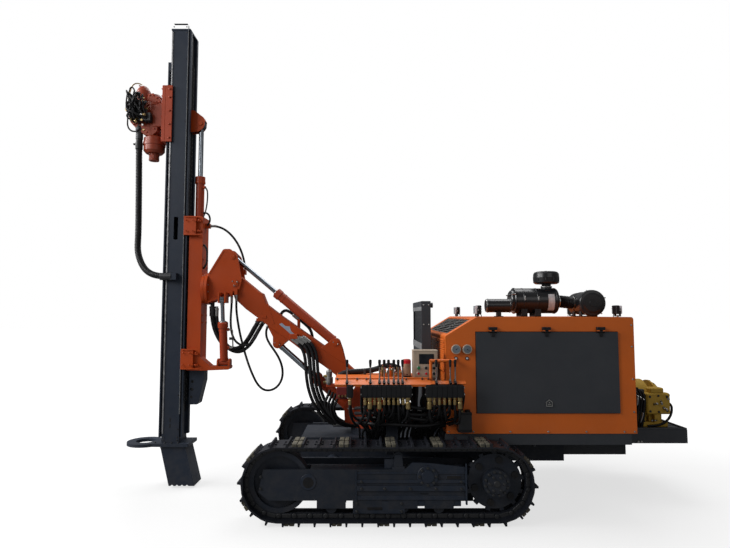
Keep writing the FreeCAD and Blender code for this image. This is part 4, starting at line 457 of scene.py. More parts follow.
# %% Block
def block(mesh, corner, other, finish=0, edge=0.0, turn=None):
    """A box between two opposite corners in any order, its edges broken by a small chamfer."""
    made = bmesh.ops.create_cube(mesh, size=1.0)["verts"]
    corner, other = Vector(corner), Vector(other)
    middle = (corner + other) / 2
    size = [abs(b - a) for a, b in zip(corner, other)]
    for vert in made:
        vert.co = Vector([a * b for a, b in zip(vert.co, size)])
        if turn is not None:
            vert.co = turn @ vert.co
        vert.co += middle
    faces = {face for vert in made for face in vert.link_faces}
    for face in faces:
        face.material_index = finish
    if edge:
        sides = list({e for face in faces for e in face.edges})
        bmesh.ops.bevel(mesh, geom=sides, offset=edge, segments=1, affect="EDGES", material=finish)

# %% Turned part, round bar, band and cap
def turned(mesh, start, end, profile, finish=0, sides=20):
    """A turned part between two points: profile is (share of the length, radius), from start to end."""
    start, end = Vector(start), Vector(end)
    way = (end - start).normalized()
    across = Vector((0, 0, 1)) if abs(way.z) < 0.9 else Vector((1, 0, 0))
    side = way.cross(across).normalized()
    third = way.cross(side)
    shares = [share for share, radius in profile]
    rings = [ring(mesh, start.lerp(end, share), side, third, max(radius, 1e-5), sides)
             for share, radius in profile]
    skin(mesh, rings, [a != b for a, b in zip(shares, shares[1:])], finish)
    for corners in rings:
        for k in range(sides):
            edge = mesh.edges.get((corners[k], corners[(k + 1) % sides]))
            if edge:
                edge.smooth = False


def bar(mesh, start, end, radius, finish=0, sides=18, edge=0.0):
    """A round bar with broken ends."""
    length = (Vector(end) - Vector(start)).length
    share = edge / length if edge else 0.0
    profile = [(0.0, radius - edge), (share, radius), (1.0 - share, radius), (1.0, radius - edge)] if edge else [
        (0.0, radius), (1.0, radius)]
    turned(mesh, start, end, profile, finish, sides)


def band(mesh, start, end, inner, outer, finish=0, sides=32):
    """A clamp band: it rises from one radius to another and falls again."""
    turned(mesh, start, end, [(0, inner), (0.2, outer), (0.8, outer), (1, inner)], finish, sides)


def capped(mesh, start, end, radius, tip, finish=0, sides=6, share=0.8):
    """A plug or a nut whose end narrows from a share of its length on."""
    turned(mesh, start, end, [(0, radius), (share, radius), (1, tip)], finish, sides)

# %% Plate, pipe and places round a circle
def plate(mesh, corners, way, finish=0):
    """A flat plate: its outline in space and the vector of its thickness."""
    way = Vector(way)
    under = [mesh.verts.new(Vector(c)) for c in corners]
    over = [mesh.verts.new(Vector(c) + way) for c in corners]
    made = [mesh.faces.new(under), mesh.faces.new(over)]
    count = len(corners)
    for k in range(count):
        made.append(mesh.faces.new((under[k], under[(k + 1) % count], over[(k + 1) % count], over[k])))
    for face in made:
        face.material_index = finish
    bmesh.ops.recalc_face_normals(mesh, faces=made)


def pipe(mesh, points, radius, finish=0, sides=8, fine=6):
    """A bent pipe or a short held hose through control points."""
    sweep(mesh, smooth_line("pipe", points, fine), lambda walked: radius, sides, finish)


def ring_of(centre, radius, count, plane="xz", start=0.0):
    """Points evenly round a circle."""
    u, v = {"xz": ((1, 0, 0), (0, 0, 1)), "xy": ((1, 0, 0), (0, 1, 0)), "yz": ((0, 1, 0), (0, 0, 1))}[plane]
    return [Vector(centre) + Vector(u) * radius * cos(start + 2 * pi * k / count)
            + Vector(v) * radius * sin(start + 2 * pi * k / count) for k in range(count)]

# %% [markdown]
# ## Repeated pieces
# A rig holds some hundreds of bolts, pads, links and fittings. One Geometry Nodes tree sets a small master
# shape on every point of a cloud. Each point carries the way the piece faces, the way it runs and its size,
# as attributes, so one tree serves them all, and the result is turned into a plain mesh before it rides on
# its body.

# %% The setting-out tree
# Each attribute's name, its kind and its column in a spot.
ATTRIBUTES = (("facing", "FLOAT_VECTOR", 1), ("running", "FLOAT_VECTOR", 2), ("scale", "FLOAT", 3))


def setting_out_tree():
    """Sets one master shape on every point, turned to the point's two directions."""
    tree = bpy.data.node_groups.new("setting out", "GeometryNodeTree")
    for name, kind in (("Points", "Geometry"), ("Master", "Object"), ("Finish", "Material"), ("Size", "Float")):
        tree.interface.new_socket(name, in_out="INPUT", socket_type="NodeSocket" + kind)
    tree.interface.new_socket("Pieces", in_out="OUTPUT", socket_type="NodeSocketGeometry")
    kinds = {"given": "NodeGroupInput", "result": "NodeGroupOutput", "master": "GeometryNodeObjectInfo",
             "facing": "GeometryNodeInputNamedAttribute", "running": "GeometryNodeInputNamedAttribute",
             "scale": "GeometryNodeInputNamedAttribute", "sized": "ShaderNodeMath",
             "up": "FunctionNodeAlignRotationToVector", "along": "FunctionNodeAlignRotationToVector",
             "spots": "GeometryNodeMeshToPoints", "lay": "GeometryNodeInstanceOnPoints",
             "real": "GeometryNodeRealizeInstances", "coat": "GeometryNodeSetMaterial"}
    node = {name: tree.nodes.new(kind) for name, kind in kinds.items()}
    for name, kind, column in ATTRIBUTES:
        node[name].data_type = kind
        node[name].inputs["Name"].default_value = name
    node["sized"].operation = "MULTIPLY"
    node["up"].axis = "Z"
    node["along"].axis = "X"
    node["along"].pivot_axis = "Z"
    for start, out, end, into in (("given", "Points", "spots", "Mesh"), ("spots", "Points", "lay", "Points"),
                                  ("given", "Master", "master", "Object"),
                                  ("master", "Geometry", "lay", "Instance"),
                                  ("facing", "Attribute", "up", "Vector"),
                                  ("up", "Rotation", "along", "Rotation"),
                                  ("running", "Attribute", "along", "Vector"),
                                  ("along", "Rotation", "lay", "Rotation"), ("scale", "Attribute", "sized", 0),
                                  ("given", "Size", "sized", 1), ("sized", "Value", "lay", "Scale"),
                                  ("lay", "Instances", "real", "Geometry"),
                                  ("real", "Geometry", "coat", "Geometry"),
                                  ("given", "Finish", "coat", "Material"),
                                  ("coat", "Geometry", "result", "Pieces")):
        tree.links.new(node[start].outputs[out], node[end].inputs[into])
    return tree


SETTING_OUT = setting_out_tree()

# %% Setting a master on its spots
def set_out(name, master_mesh, spots, finish, body, size=1.0):
    """Sets a master on spots (place, facing, running, scale) and turns it into a mesh that rides on its body."""
    cloud = bpy.data.meshes.new(name + "_spots")
    cloud.from_pydata([tuple(spot[0]) for spot in spots], [], [])
    for label, kind, column in ATTRIBUTES:
        attribute = cloud.attributes.new(label, kind, "POINT")
        for item, spot in zip(attribute.data, spots):
            if kind == "FLOAT":
                item.value = spot[column]
            else:
                item.vector = tuple(spot[column])
    master_data = bpy.data.meshes.new(name + "_master")
    master_mesh.to_mesh(master_data)
    master_mesh.free()
    holder = placed(name + "_holder", cloud)
    master = placed(name + "_master", master_data)
    laid = holder.modifiers.new("setting out", "NODES")
    laid.node_group = SETTING_OUT
    keys = {item.name: item.identifier for item in SETTING_OUT.interface.items_tree if item.in_out == "INPUT"}
    laid[keys["Master"]] = master
    laid[keys["Finish"]] = finish
    laid[keys["Size"]] = size
    bpy.context.view_layer.update()
    plain = bpy.data.meshes.new_from_object(holder.evaluated_get(bpy.context.evaluated_depsgraph_get()))
    bpy.data.objects.remove(holder)
    bpy.data.objects.remove(master)
    plain.name = name
    piece = placed(name, plain)
    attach(piece, body)
    print(name, "has", len(spots), "pieces and", sum(len(p.vertices) - 2 for p in plain.polygons), "triangles")
    return piece

# %% Masters: a hexagon bolt and a hydraulic fitting
def bolt_master():
    """A hexagon head on its washer, 1 m across the washer, facing +Z; the size input scales it."""
    mesh = bmesh.new()
    capped(mesh, (0, 0, -0.05), (0, 0, 0.12), 0.5, 0.46, sides=16)
    capped(mesh, (0, 0, 0.12), (0, 0, 0.5), 0.42, 0.36, share=0.85)
    return mesh


def fitting_master():
    """A hose fitting along +Z, 1 m long: hexagon, neck and crimped sleeve."""
    mesh = bmesh.new()
    turned(mesh, (0, 0, 0), (0, 0, 0.28), [(0, 0.24), (1, 0.24)], sides=6)
    turned(mesh, (0, 0, 0.28), (0, 0, 0.42), [(0, 0.15), (1, 0.15)], sides=10)
    turned(mesh, (0, 0, 0.42), (0, 0, 1.0), [(0, 0.2), (0.1, 0.22), (0.9, 0.22), (1, 0.19)], sides=12)
    return mesh


def seated(spots):
    """Spots with a running direction and a scale, from (place, facing)."""
    return [(place, facing, (0.3, 0.2, 0.9) if abs(Vector(facing).normalized().z) < 0.9 else (1, 0.2, 0), 1.0)
            for place, facing in spots]


def bolts(name, spots, body, size, finish):
    """Hexagon bolts at (place, facing)."""
    return set_out(name, bolt_master(), seated(spots), finish, body, size)


def fittings(name, spots, body, size, finish):
    """Hose fittings at (place, facing)."""
    return set_out(name, fitting_master(), seated(spots), finish, body, size)


def facing_out(side, across, places):
    """Spots on a side of the rig, from places along and up it, that face outwards."""
    return [((x, side * across, z), (0, side, 0)) for x, z in places]

# %% [markdown]
# ## Tracks
# A track shows its make in small things: rubber pads on every third shoe, four bolts to a shoe and the pin
# bosses of the links. All of them follow the loop that runs round the idler and the sprocket, so one
# function gives a place on that loop, the way out of it and the way along it, and the setting-out tree does
# the rest.

# %% A place on the track's loop
IDLER_X, SPROCKET_X, WHEEL_Z, LOOP_RADIUS = -1.015, 0.865, 0.346, 0.304
SHOES, PITCH, SHOE_THICK = 42, 0.135, 0.012
STRAIGHT, BEND = SPROCKET_X - IDLER_X, pi * LOOP_RADIUS
TRACK_Y = 1.025
SIDES = ((-1, "near"), (1, "far"))


def on_loop(along, lift):
    """The place, the way out and the way along, by distance from under the idler."""
    along %= 2 * (STRAIGHT + BEND)
    if along < STRAIGHT:
        return Vector((IDLER_X + along, 0, WHEEL_Z - LOOP_RADIUS - lift)), Vector((0, 0, -1)), Vector((1, 0, 0))
    along -= STRAIGHT
    if along < BEND:
        turn, centre = along / LOOP_RADIUS - pi / 2, SPROCKET_X
    elif along < BEND + STRAIGHT:
        x = SPROCKET_X - (along - BEND)
        return Vector((x, 0, WHEEL_Z + LOOP_RADIUS + lift)), Vector((0, 0, 1)), Vector((-1, 0, 0))
    else:
        turn, centre = (along - BEND - STRAIGHT) / LOOP_RADIUS + pi / 2, IDLER_X
    out = Vector((cos(turn), 0, sin(turn)))
    return Vector((centre, 0, WHEEL_Z)) + out * (LOOP_RADIUS + lift), out, Vector((-sin(turn), 0, cos(turn)))

# %% Masters: a pad and a link
def pad_master():
    """One rubber pad: two worn blocks side by side, facing +Z and running along X."""
    mesh = bmesh.new()
    for low, high in ((-0.04, -0.002), (0.002, 0.046)):
        block(mesh, (low, -0.057, -0.006), (high, 0.057, 0.0285), edge=0.005)
    return mesh


def link_master():
    """The outer side of one link: a plate with a boss for the pin, facing +Z and running along X."""
    mesh = bmesh.new()
    block(mesh, (-0.04, -0.017, -0.002), (0.04, 0.017, 0.004), edge=0.003)
    capped(mesh, (-0.0675, 0, -0.004), (-0.0675, 0, 0.009), 0.021, 0.017, sides=12)
    turned(mesh, (-0.0675, 0, 0.009), (-0.0675, 0, 0.012), [(0, 0.009), (1, 0.008)], sides=8)
    return mesh

# %% Pads, bolts and links on both tracks
pads, shoe_bolts, link_sides = [], [], []
for side in (-1, 1):
    for shoe in range(SHOES):
        start = shoe * PITCH
        if shoe % 3 == 0:
            place, out, way = on_loop(start + PITCH * 0.72, SHOE_THICK)
            pads += [(place + Vector((0, side * TRACK_Y + across, 0)), out, way, 1.0)
                     for across in (-0.08, 0.08)]
        for step, across in ((0.62, -0.045), (0.62, 0.045), (0.16, -0.045), (0.16, 0.045)):
            place, out, way = on_loop(start + PITCH * step, SHOE_THICK)
            shoe_bolts.append((place + Vector((0, side * TRACK_Y + across, 0)), out))
        place, out, way = on_loop(start + PITCH * 0.5, -0.022)
        for across in (-0.0635, 0.0635):
            face = Vector((0, 1 if across > 0 else -1, 0))
            link_sides.append((place + Vector((0, side * TRACK_Y + across, 0)), face, way, 1.0))
set_out("track_pads", pad_master(), pads, PAD, "base")
bolts("shoe_bolts", shoe_bolts, "base", 0.024, TRACK_STEEL)
set_out("link_sides", link_master(), link_sides, CAST, "base")

# %% [markdown]
# The side frames are boxes of plate with a stepped guard over the tensioner, a round cover, a lid that
# slopes to the rear and a skid that is bolted on below. These are flat plates on the outer face, so they are
# listed by their corners along and up, and the same list serves the near and the far frame.

# %% Plates of the side frames
FRAME_FACE, COVER_X, COVER_Z = 1.113, 0.272, 0.405
# Each guard bar: front, rear, foot, top and how far it stands out.
GUARD_BARS = (
    (-0.338, 0.603, 0.424, 0.44, 0.007), (-0.338, 0.603, 0.346, 0.374, 0.008),
    (-0.338, 0.603, 0.281, 0.325, 0.014), (-0.338, 0.603, 0.205, 0.24, 0.007),
    (-0.35, -0.338, 0.2, 0.455, 0.01), (0.596, 0.611, 0.17, 0.515, 0.026),
    (-0.372, 0.075, 0.088, 0.196, -0.002), (0.11, 0.56, 0.15, 0.196, -0.006),
    (-0.1, 0.06, 0.461, 0.545, -0.03), (0.431, 0.568, 0.378, 0.414, 0.004))


def frame_plates(side, where):
    """Guard bars, lid, round cover and the idler's boss on one side."""
    plates = bmesh.new()
    for front, rear, foot, top, out in GUARD_BARS:
        root = FRAME_FACE - (0.024 if out < 0 else 0.002)
        block(plates, (front, side * root, foot), (rear, side * (FRAME_FACE + out), top), edge=0.003)
    lid = [(0.051, 0.44), (0.138, 0.522), (0.3, 0.516), (0.596, 0.483), (0.596, 0.44)]
    plate(plates, [(x, side * (FRAME_FACE - 0.002), z) for x, z in lid], (0, side * 0.008, 0))
    bar(plates, (COVER_X, side * 1.11, COVER_Z), (COVER_X, side * 1.128, COVER_Z), 0.091, sides=32, edge=0.004)
    bar(plates, (COVER_X, side * 1.12, COVER_Z), (COVER_X, side * 1.136, COVER_Z), 0.055, sides=28, edge=0.003)
    bar(plates, (-0.759, side * 1.11, 0.356), (-0.759, side * 1.119, 0.356), 0.069, sides=32, edge=0.003)
    for rise in (0.0, 0.028):
        block(plates, (-0.805, side * 1.116 - 0.004, 0.366 + rise),
              (-0.713, side * 1.116 + 0.004, 0.378 + rise), edge=0.002)
    show("frame_plates_" + where, plates, [SLATE], "base")

# %% Black plates in the side frames' recesses and slots: painted shade
def painted_frame_shade(side, where):
    """Black plates on one side: painted shade in its recesses and slots."""
    dark = bmesh.new()
    bar(dark, (-0.759, side * 1.112, 0.352), (-0.759, side * 1.1205, 0.352), 0.046, sides=28)
    block(dark, (0.438, side * 1.116 - 0.002, 0.384), (0.561, side * 1.116 + 0.002, 0.408))
    block(dark, (-0.25, side * 1.112 - 0.002, 0.12), (-0.12, side * 1.112 + 0.002, 0.145), edge=0.0015)
    block(dark, (0.15, side * 1.111 - 0.002, 0.25), (0.28, side * 1.111 + 0.006, 0.262), edge=0.0015)
    show("frame_recesses_" + where, dark, [BLACK], "base")

# %% Screws of the side frames
def frame_screws(side, where):
    """The screws of one side, round the covers and on the sprocket's hub too."""
    screws = facing_out(side, 1.127, [(x, 0.303) for x in (-0.3, -0.1, 0.12, 0.34, 0.56)])
    screws += facing_out(side, 1.111, [(x, z) for x in (-0.34, 0.045) for z in (0.11, 0.175)])
    screws += facing_out(side, 1.12, [(-0.3, 0.36), (0.56, 0.36)])
    for across, radius, count, start in ((1.13, 0.099, 12, 0.2), (1.142, 0.062, 6, 0.0)):
        screws += [(spot, (0, side, 0))
                   for spot in ring_of((SPROCKET_X, side * across, WHEEL_Z), radius, count, start=start)]
    screws += [(spot, (0, side, 0)) for spot in ring_of((COVER_X, side * 1.128, COVER_Z), 0.072, 8)]
    screws += facing_out(side, FRAME_FACE, [(-1.17, z) for z in (0.3, 0.4)])
    bolts("frame_screws_" + where, screws, "base", 0.026, CAST)

# %% Sprocket caps, and all of it on both sides
def sprocket_cap(side, where):
    """The hub's cap, and black discs in the sprocket's round holes as painted shade, on one side."""
    hub = bmesh.new()
    bar(hub, (SPROCKET_X, side * 1.136, WHEEL_Z), (SPROCKET_X, side * 1.15, WHEEL_Z), 0.028, sides=20,
        edge=0.003)
    # Black discs in the sprocket's round holes: painted shade.
    for spot in ring_of((SPROCKET_X, side * 1.06, WHEEL_Z), 0.185, 6, start=0.3):
        bar(hub, spot - Vector((0, side * 0.018, 0)), spot, 0.03, finish=1, sides=20)
    show("sprocket_cap_" + where, hub, [CAST, BLACK], "base")


for side, where in SIDES:
    frame_plates(side, where)
    painted_frame_shade(side, where)
    frame_screws(side, where)
    sprocket_cap(side, where)

# %% Dark plates inside the side frames: painted shade between the tracks' runs
painted_shade_plates = bmesh.new()
# Dark plates on the inner face of each side frame: painted shade where the chassis lies in shadow.
for side in (-1, 1):
    for front, foot, top in ((-0.9, 0.395, 0.49), (0.56, 0.1, 0.4)):
        block(painted_shade_plates, (front, side * 0.8, foot), (0.72, side * 0.824, top), edge=0.004)
show("inner_guard_rails", painted_shade_plates, [UNDER_SLATE], "base")

# %% [markdown]
# ## Cabinet
# The cabinet is a painted sheet box. Three black hinges carry each door, and a latch of bright pressed steel
# sits low in the middle. Two gauges with a button below each are set in the near side.

# %% Hinges, latches and door edges
CAB_FACE, HINGE_Z, DOOR_FRONT = 0.823, 1.64, 0.764
HINGES = (0.157, 0.655, 1.16)
for side, where in SIDES:
    fixed, moving = bmesh.new(), bmesh.new()
    for place in HINGES:
        x = DOOR_FRONT + place
        block(fixed, (x - 0.038, side * 0.8215, HINGE_Z + 0.0125),
              (x + 0.038, side * 0.8555, HINGE_Z + 0.0415), edge=0.002)
        bar(fixed, (x - 0.037, side * 0.845, HINGE_Z), (x - 0.0165, side * 0.845, HINGE_Z), 0.0098, sides=14)
        bar(fixed, (x + 0.0155, side * 0.845, HINGE_Z), (x + 0.037, side * 0.845, HINGE_Z), 0.0098, sides=14)
        block(moving, (x - 0.016, side * 0.8365, HINGE_Z - 0.0475), (x + 0.016, side * 0.8485, HINGE_Z - 0.01),
              edge=0.0015)
        bar(moving, (x - 0.0148, side * 0.845, HINGE_Z), (x + 0.0148, side * 0.845, HINGE_Z), 0.0098, sides=14)
    show("hinge_leaves_" + where, fixed, [BLACK], "base")
    house = [(1.398, 0.953), (1.458, 0.953), (1.458, 0.995), (1.428, 1.018), (1.398, 0.995)]
    centre = Vector((1.428, 0, 0.983))
    for first, second in zip(house, house[1:] + house[:1]):
        a, b = (Vector((x, 0, z)) for x, z in (first, second))
        a_in, b_in = a.lerp(centre, 0.24), b.lerp(centre, 0.24)
        corners = [(p.x, side * 0.8425, p.z) for p in (a, b, b_in, a_in)]
        plate(moving, corners, (0, side * 0.0045, 0), finish=1)
    block(moving, (1.412, side * 0.842, 0.968), (1.444, side * 0.852, 0.978), finish=1, edge=0.002)
    bar(moving, (1.428, side * 0.842, 0.99), (1.428, side * 0.849, 0.99), 0.006, finish=1, sides=14)
    show("door_fittings_" + where, moving, [BLACK, ZINC], "door_" + where)
    seal = bmesh.new()
    for front, rear, foot, top in ((0.757, 2.091, 0.884, 0.893), (0.757, 2.091, 1.634, 1.643),
                                   (0.757, 0.766, 0.884, 1.643), (2.082, 2.091, 0.884, 1.643)):
        block(seal, (front, side * 0.8105, foot), (rear, side * 0.8165, top))
    show("door_seal_" + where, seal, [RUBBER], "base")

# %% Gauges and buttons
DIAL_Z, BUTTON_Z = 1.476, 1.392
dials = bmesh.new()
for x, value in ((0.576, 0.9), (0.679, 2.2)):
    for start, end, radius, finish, sides in (
            (-0.843, -0.8462, 0.037, 0, 28), (-0.8515, -0.8525, 0.036, 0, 28), (-0.8525, -0.855, 0.005, 2, 12)):
        bar(dials, (x, start, DIAL_Z), (x, end, DIAL_Z), radius, finish=finish, sides=sides)
    capped(dials, (x, -0.844, DIAL_Z), (x, -0.852, DIAL_Z), 0.0445, 0.041, finish=4, sides=28, share=0.6)
    for turn in range(9):
        angle = radians(-130 + turn * 32.5)
        mark = Vector((x + 0.03 * sin(angle), -0.853, DIAL_Z + 0.03 * cos(angle)))
        bar(dials, mark, mark - Vector((0, 0.0006, 0)), 0.0018, finish=2, sides=8)
    tip = Vector((x + 0.024 * sin(value), -0.8533, DIAL_Z + 0.024 * cos(value)))
    bar(dials, (x, -0.8533, DIAL_Z), tip, 0.0012, finish=2, sides=6)
    bar(dials, (x, -0.8225, BUTTON_Z), (x, -0.833, BUTTON_Z), 0.017, finish=2, sides=20, edge=0.002)
    bar(dials, (x, -0.832, BUTTON_Z), (x, -0.8365, BUTTON_Z), 0.01, finish=3, sides=16, edge=0.002)
show("gauge_dials", dials, [DIAL, CHROME, BLACK, PALE, CREAM], "base")

# %% Panel screws of the cabinet
screws = []
for side in (-1, 1):
    screws += facing_out(side, CAB_FACE, [(x, 0.722) for x in (0.505, 0.73, 1.07, 1.42, 1.77, 2.12, 2.215)])
    screws += facing_out(side, CAB_FACE, [(2.215, z) for z in (0.9, 1.2, 1.5, 1.7)])
screws += [((2.239, y, z), (1, 0, 0)) for y in (-0.78, -0.4, 0.0, 0.4, 0.78) for z in (0.75, 1.22, 1.73)]
bolts("cabinet_screws", screws, "base", 0.017, ZINC)

# %% Louvres in the back wall
rear = bmesh.new()
for number in range(12):
    foot = 1.02 + number * 0.045
    for left, right in ((-0.55, 0.05), (0.18, 0.62)):
        corners = [(left, foot), (right, foot), (right, foot + 0.028), (left, foot + 0.028)]
        plate(rear, [(2.2385, y, z) for y, z in corners], (0.008, 0, 0))
show("rear_louvres", rear, [ORANGE], "base")

# %% Louvre slats in the cabinet's front
slats_in_front = bmesh.new()
for across, wide in ((-0.5, 0.23), (0.0, 0.22), (0.5, 0.23)):
    left, right = across - wide, across + wide
    for number in range(15):
        foot, top = 1.262 + 0.0205 * number, 1.262 + 0.0205 * number + 0.0135
        plate(slats_in_front, [(0.474, left, foot), (0.474, right, foot), (0.482, right, top),
                               (0.482, left, top)], (0.0015, 0, 0))
show("front_slats", slats_in_front, [ORANGE], "base")

# %% [markdown]
# ## Roof
# Two air cleaners lie on the roof with a ribbed elbow between them, a rain cap stands on the first and the
# muffler lies ahead. Clamps, latches and a bare foil plate break up the plain cylinders.

# %% First air cleaner and its rain cap
CLEANER_Y, CLEANER_Z, CLEANER_R = -0.2, 1.941, 0.131
ROOF_TOP, CAP_X = 1.7755, 1.638
FOOT_SINK = 0.0003
cleaner = bmesh.new()
turned(cleaner, (1.247, CLEANER_Y, CLEANER_Z), (1.752, CLEANER_Y, CLEANER_Z),
       [(0, 0.04), (0.0, 0.096), (0.02, 0.108), (0.055, 0.112), (0.06, 0.128), (0.075, 0.136), (0.095, 0.136),
        (0.105, CLEANER_R), (0.9, CLEANER_R), (0.905, 0.135), (0.93, 0.135), (0.96, 0.124), (1, 0.07)], sides=56)
turned(cleaner, (CAP_X, CLEANER_Y, 2.055), (CAP_X, CLEANER_Y, 2.122),
       [(0, 0.055), (0.55, 0.055), (0.6, 0.047), (1, 0.047)], sides=32)
turned(cleaner, (CAP_X, CLEANER_Y, 2.117), (CAP_X, CLEANER_Y, 2.25),
       [(0, 0.108), (0.06, 0.124), (0.14, 0.131), (0.5, 0.133), (0.8, 0.129), (0.93, 0.117), (0.985, 0.096),
        (1, 0.05)], sides=56)
band(cleaner, (CAP_X, CLEANER_Y, 2.08), (CAP_X, CLEANER_Y, 2.094), 0.055, 0.059, finish=1)
bar(cleaner, (CAP_X, CLEANER_Y, 2.248), (CAP_X, CLEANER_Y, 2.256), 0.012, sides=12)
for turn in range(10):
    angle = turn * pi / 5
    spot = Vector((CAP_X + 0.131 * cos(angle), CLEANER_Y + 0.131 * sin(angle), 2.15))
    bar(cleaner, spot, spot + Vector((0, 0, 0.03)), 0.007, sides=8)
for x in (1.375, 1.515):
    turned(cleaner, (x - 0.009, CLEANER_Y, CLEANER_Z), (x + 0.009, CLEANER_Y, CLEANER_Z),
           [(0, CLEANER_R), (0.15, CLEANER_R + 0.0025), (0.85, CLEANER_R + 0.0025), (1, CLEANER_R)], sides=56)
    block(cleaner, (x - 0.006, CLEANER_Y - 0.137, CLEANER_Z + 0.002),
          (x + 0.006, CLEANER_Y - 0.129, CLEANER_Z + 0.046), finish=1, edge=0.001)
    for near, far, top in ((-0.3, -0.285, 1.865), (-0.115, -0.1, 1.865), (-0.3, -0.1, ROOF_TOP + 0.01)):
        block(cleaner, (x - 0.032, near, ROOF_TOP - FOOT_SINK), (x + 0.032, far, top), edge=0.002)
for turn in (0.5, 2.6, 4.2):
    out = Vector((0, cos(turn), sin(turn)))
    start = Vector((1.285, CLEANER_Y, CLEANER_Z)) + out * 0.134
    bar(cleaner, start, start + Vector((-0.042, 0, 0)) - out * 0.012, 0.0065, finish=1, sides=8)
    bar(cleaner, start + Vector((-0.02, 0, 0)), start + Vector((-0.02, 0, 0)) + out * 0.012, 0.004, finish=1,
        sides=8)
bar(cleaner, (1.25, -0.245, 1.995), (1.222, -0.245, 1.995), 0.011, sides=10)
body = show("air_cleaner_body", cleaner, [BLACK_GLOSS, ZINC], "base")
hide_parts("air_cleaner")

# %% Second air cleaner, across the roof
cross = bmesh.new()
CROSS_X, CROSS_Z = 2.03, 1.914
turned(cross, (CROSS_X, -0.44, CROSS_Z), (CROSS_X, 0.0, CROSS_Z),
       [(0, 0.028), (0.0, 0.034), (0.01, 0.036), (0.012, 0.086), (0.03, 0.104), (0.035, 0.124), (0.05, 0.132),
        (0.14, 0.134), (0.15, 0.12), (0.6, 0.118), (0.605, 0.121), (0.645, 0.121), (0.65, 0.118), (0.94, 0.116),
        (0.975, 0.106), (1, 0.06)], sides=56)
for y in (-0.12, -0.3):
    for side in (-1, 1):
        block(cross, (CROSS_X + side * 0.07, y - 0.03, ROOF_TOP - FOOT_SINK),
              (CROSS_X + side * 0.085, y + 0.03, 1.835), edge=0.002)
    block(cross, (CROSS_X - 0.085, y - 0.03, ROOF_TOP - FOOT_SINK),
          (CROSS_X + 0.085, y + 0.03, ROOF_TOP + 0.01), edge=0.002)
for turn in (0.4, 2.0, 4.1, 5.4):
    out = Vector((cos(turn), 0, sin(turn)))
    start = Vector((CROSS_X, -0.37, CROSS_Z)) + out * 0.12
    bar(cross, start, start + Vector((0, -0.055, 0)) + out * 0.018, 0.0065, finish=1, sides=8)
body = show("cross_cleaner_body", cross, [BLACK_GLOSS, ZINC], "base")
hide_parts("cross_cleaner")

# %% Ribbed elbow between the cleaners
elbow = bmesh.new()
start, end = Vector((1.742, CLEANER_Y, 1.938)), Vector((1.925, CLEANER_Y, 1.918))
ribs = [(number / 22, 0.066 if number % 2 else 0.058) for number in range(23)]
turned(elbow, start, end, ribs, sides=32)
for share in (0.09, 0.93):
    spot = start.lerp(end, share)
    band(elbow, spot - Vector((0.007, 0, 0)), spot + Vector((0.007, 0, 0)), 0.064, 0.069, finish=1)
body = show("ribbed_elbow", elbow, [RUBBER, ZINC], "base")
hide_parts("intake_elbow")

# %% Muffler
MUFFLER_Y, MUFFLER_Z = -0.4, 1.887
quiet = bmesh.new()
turned(quiet, (0.958, MUFFLER_Y, MUFFLER_Z), (1.205, MUFFLER_Y, MUFFLER_Z),
       [(0, 0.05), (0.0, 0.064), (0.02, 0.067), (0.05, 0.0705), (0.08, 0.0705), (0.09, 0.068), (0.93, 0.068),
        (0.94, 0.0705), (0.98, 0.0705), (1, 0.055)], sides=44)
turned(quiet, (0.9575, MUFFLER_Y, MUFFLER_Z), (0.953, MUFFLER_Y, MUFFLER_Z), [(0, 0.064), (1, 0.062)],
       finish=1, sides=44)
turned(quiet, (0.9535, MUFFLER_Y, MUFFLER_Z), (0.952, MUFFLER_Y, MUFFLER_Z), [(0, 0.054), (1, 0.054)],
       finish=2, sides=44)
block(quiet, (1.062, -0.43, ROOF_TOP - FOOT_SINK), (1.104, -0.37, 1.84), edge=0.002)
block(quiet, (1.045, -0.445, ROOF_TOP - FOOT_SINK), (1.121, -0.355, ROOF_TOP + 0.008), edge=0.002)
body = show("muffler_body", quiet, [BLACK_GLOSS, ZINC, CORE], "base")
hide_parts("muffler")

# %% A bare foil plate bent round the cleaner
foil = bmesh.new()
rings = []
for number in range(9):
    turn = radians(150 + number * 10)
    out = Vector((0, cos(turn), sin(turn)))
    centre = Vector((0, CLEANER_Y, CLEANER_Z)) + out * (CLEANER_R + 0.0008)
    rings.append([foil.verts.new(centre + Vector((x, 0, 0))) for x in (1.617, 1.682)])
for first, second in zip(rings, rings[1:]):
    foil.faces.new((first[0], first[1], second[1], second[0]))
bmesh.ops.recalc_face_normals(foil, faces=foil.faces[:])
show("foil_plate", foil, [LABEL], "base")

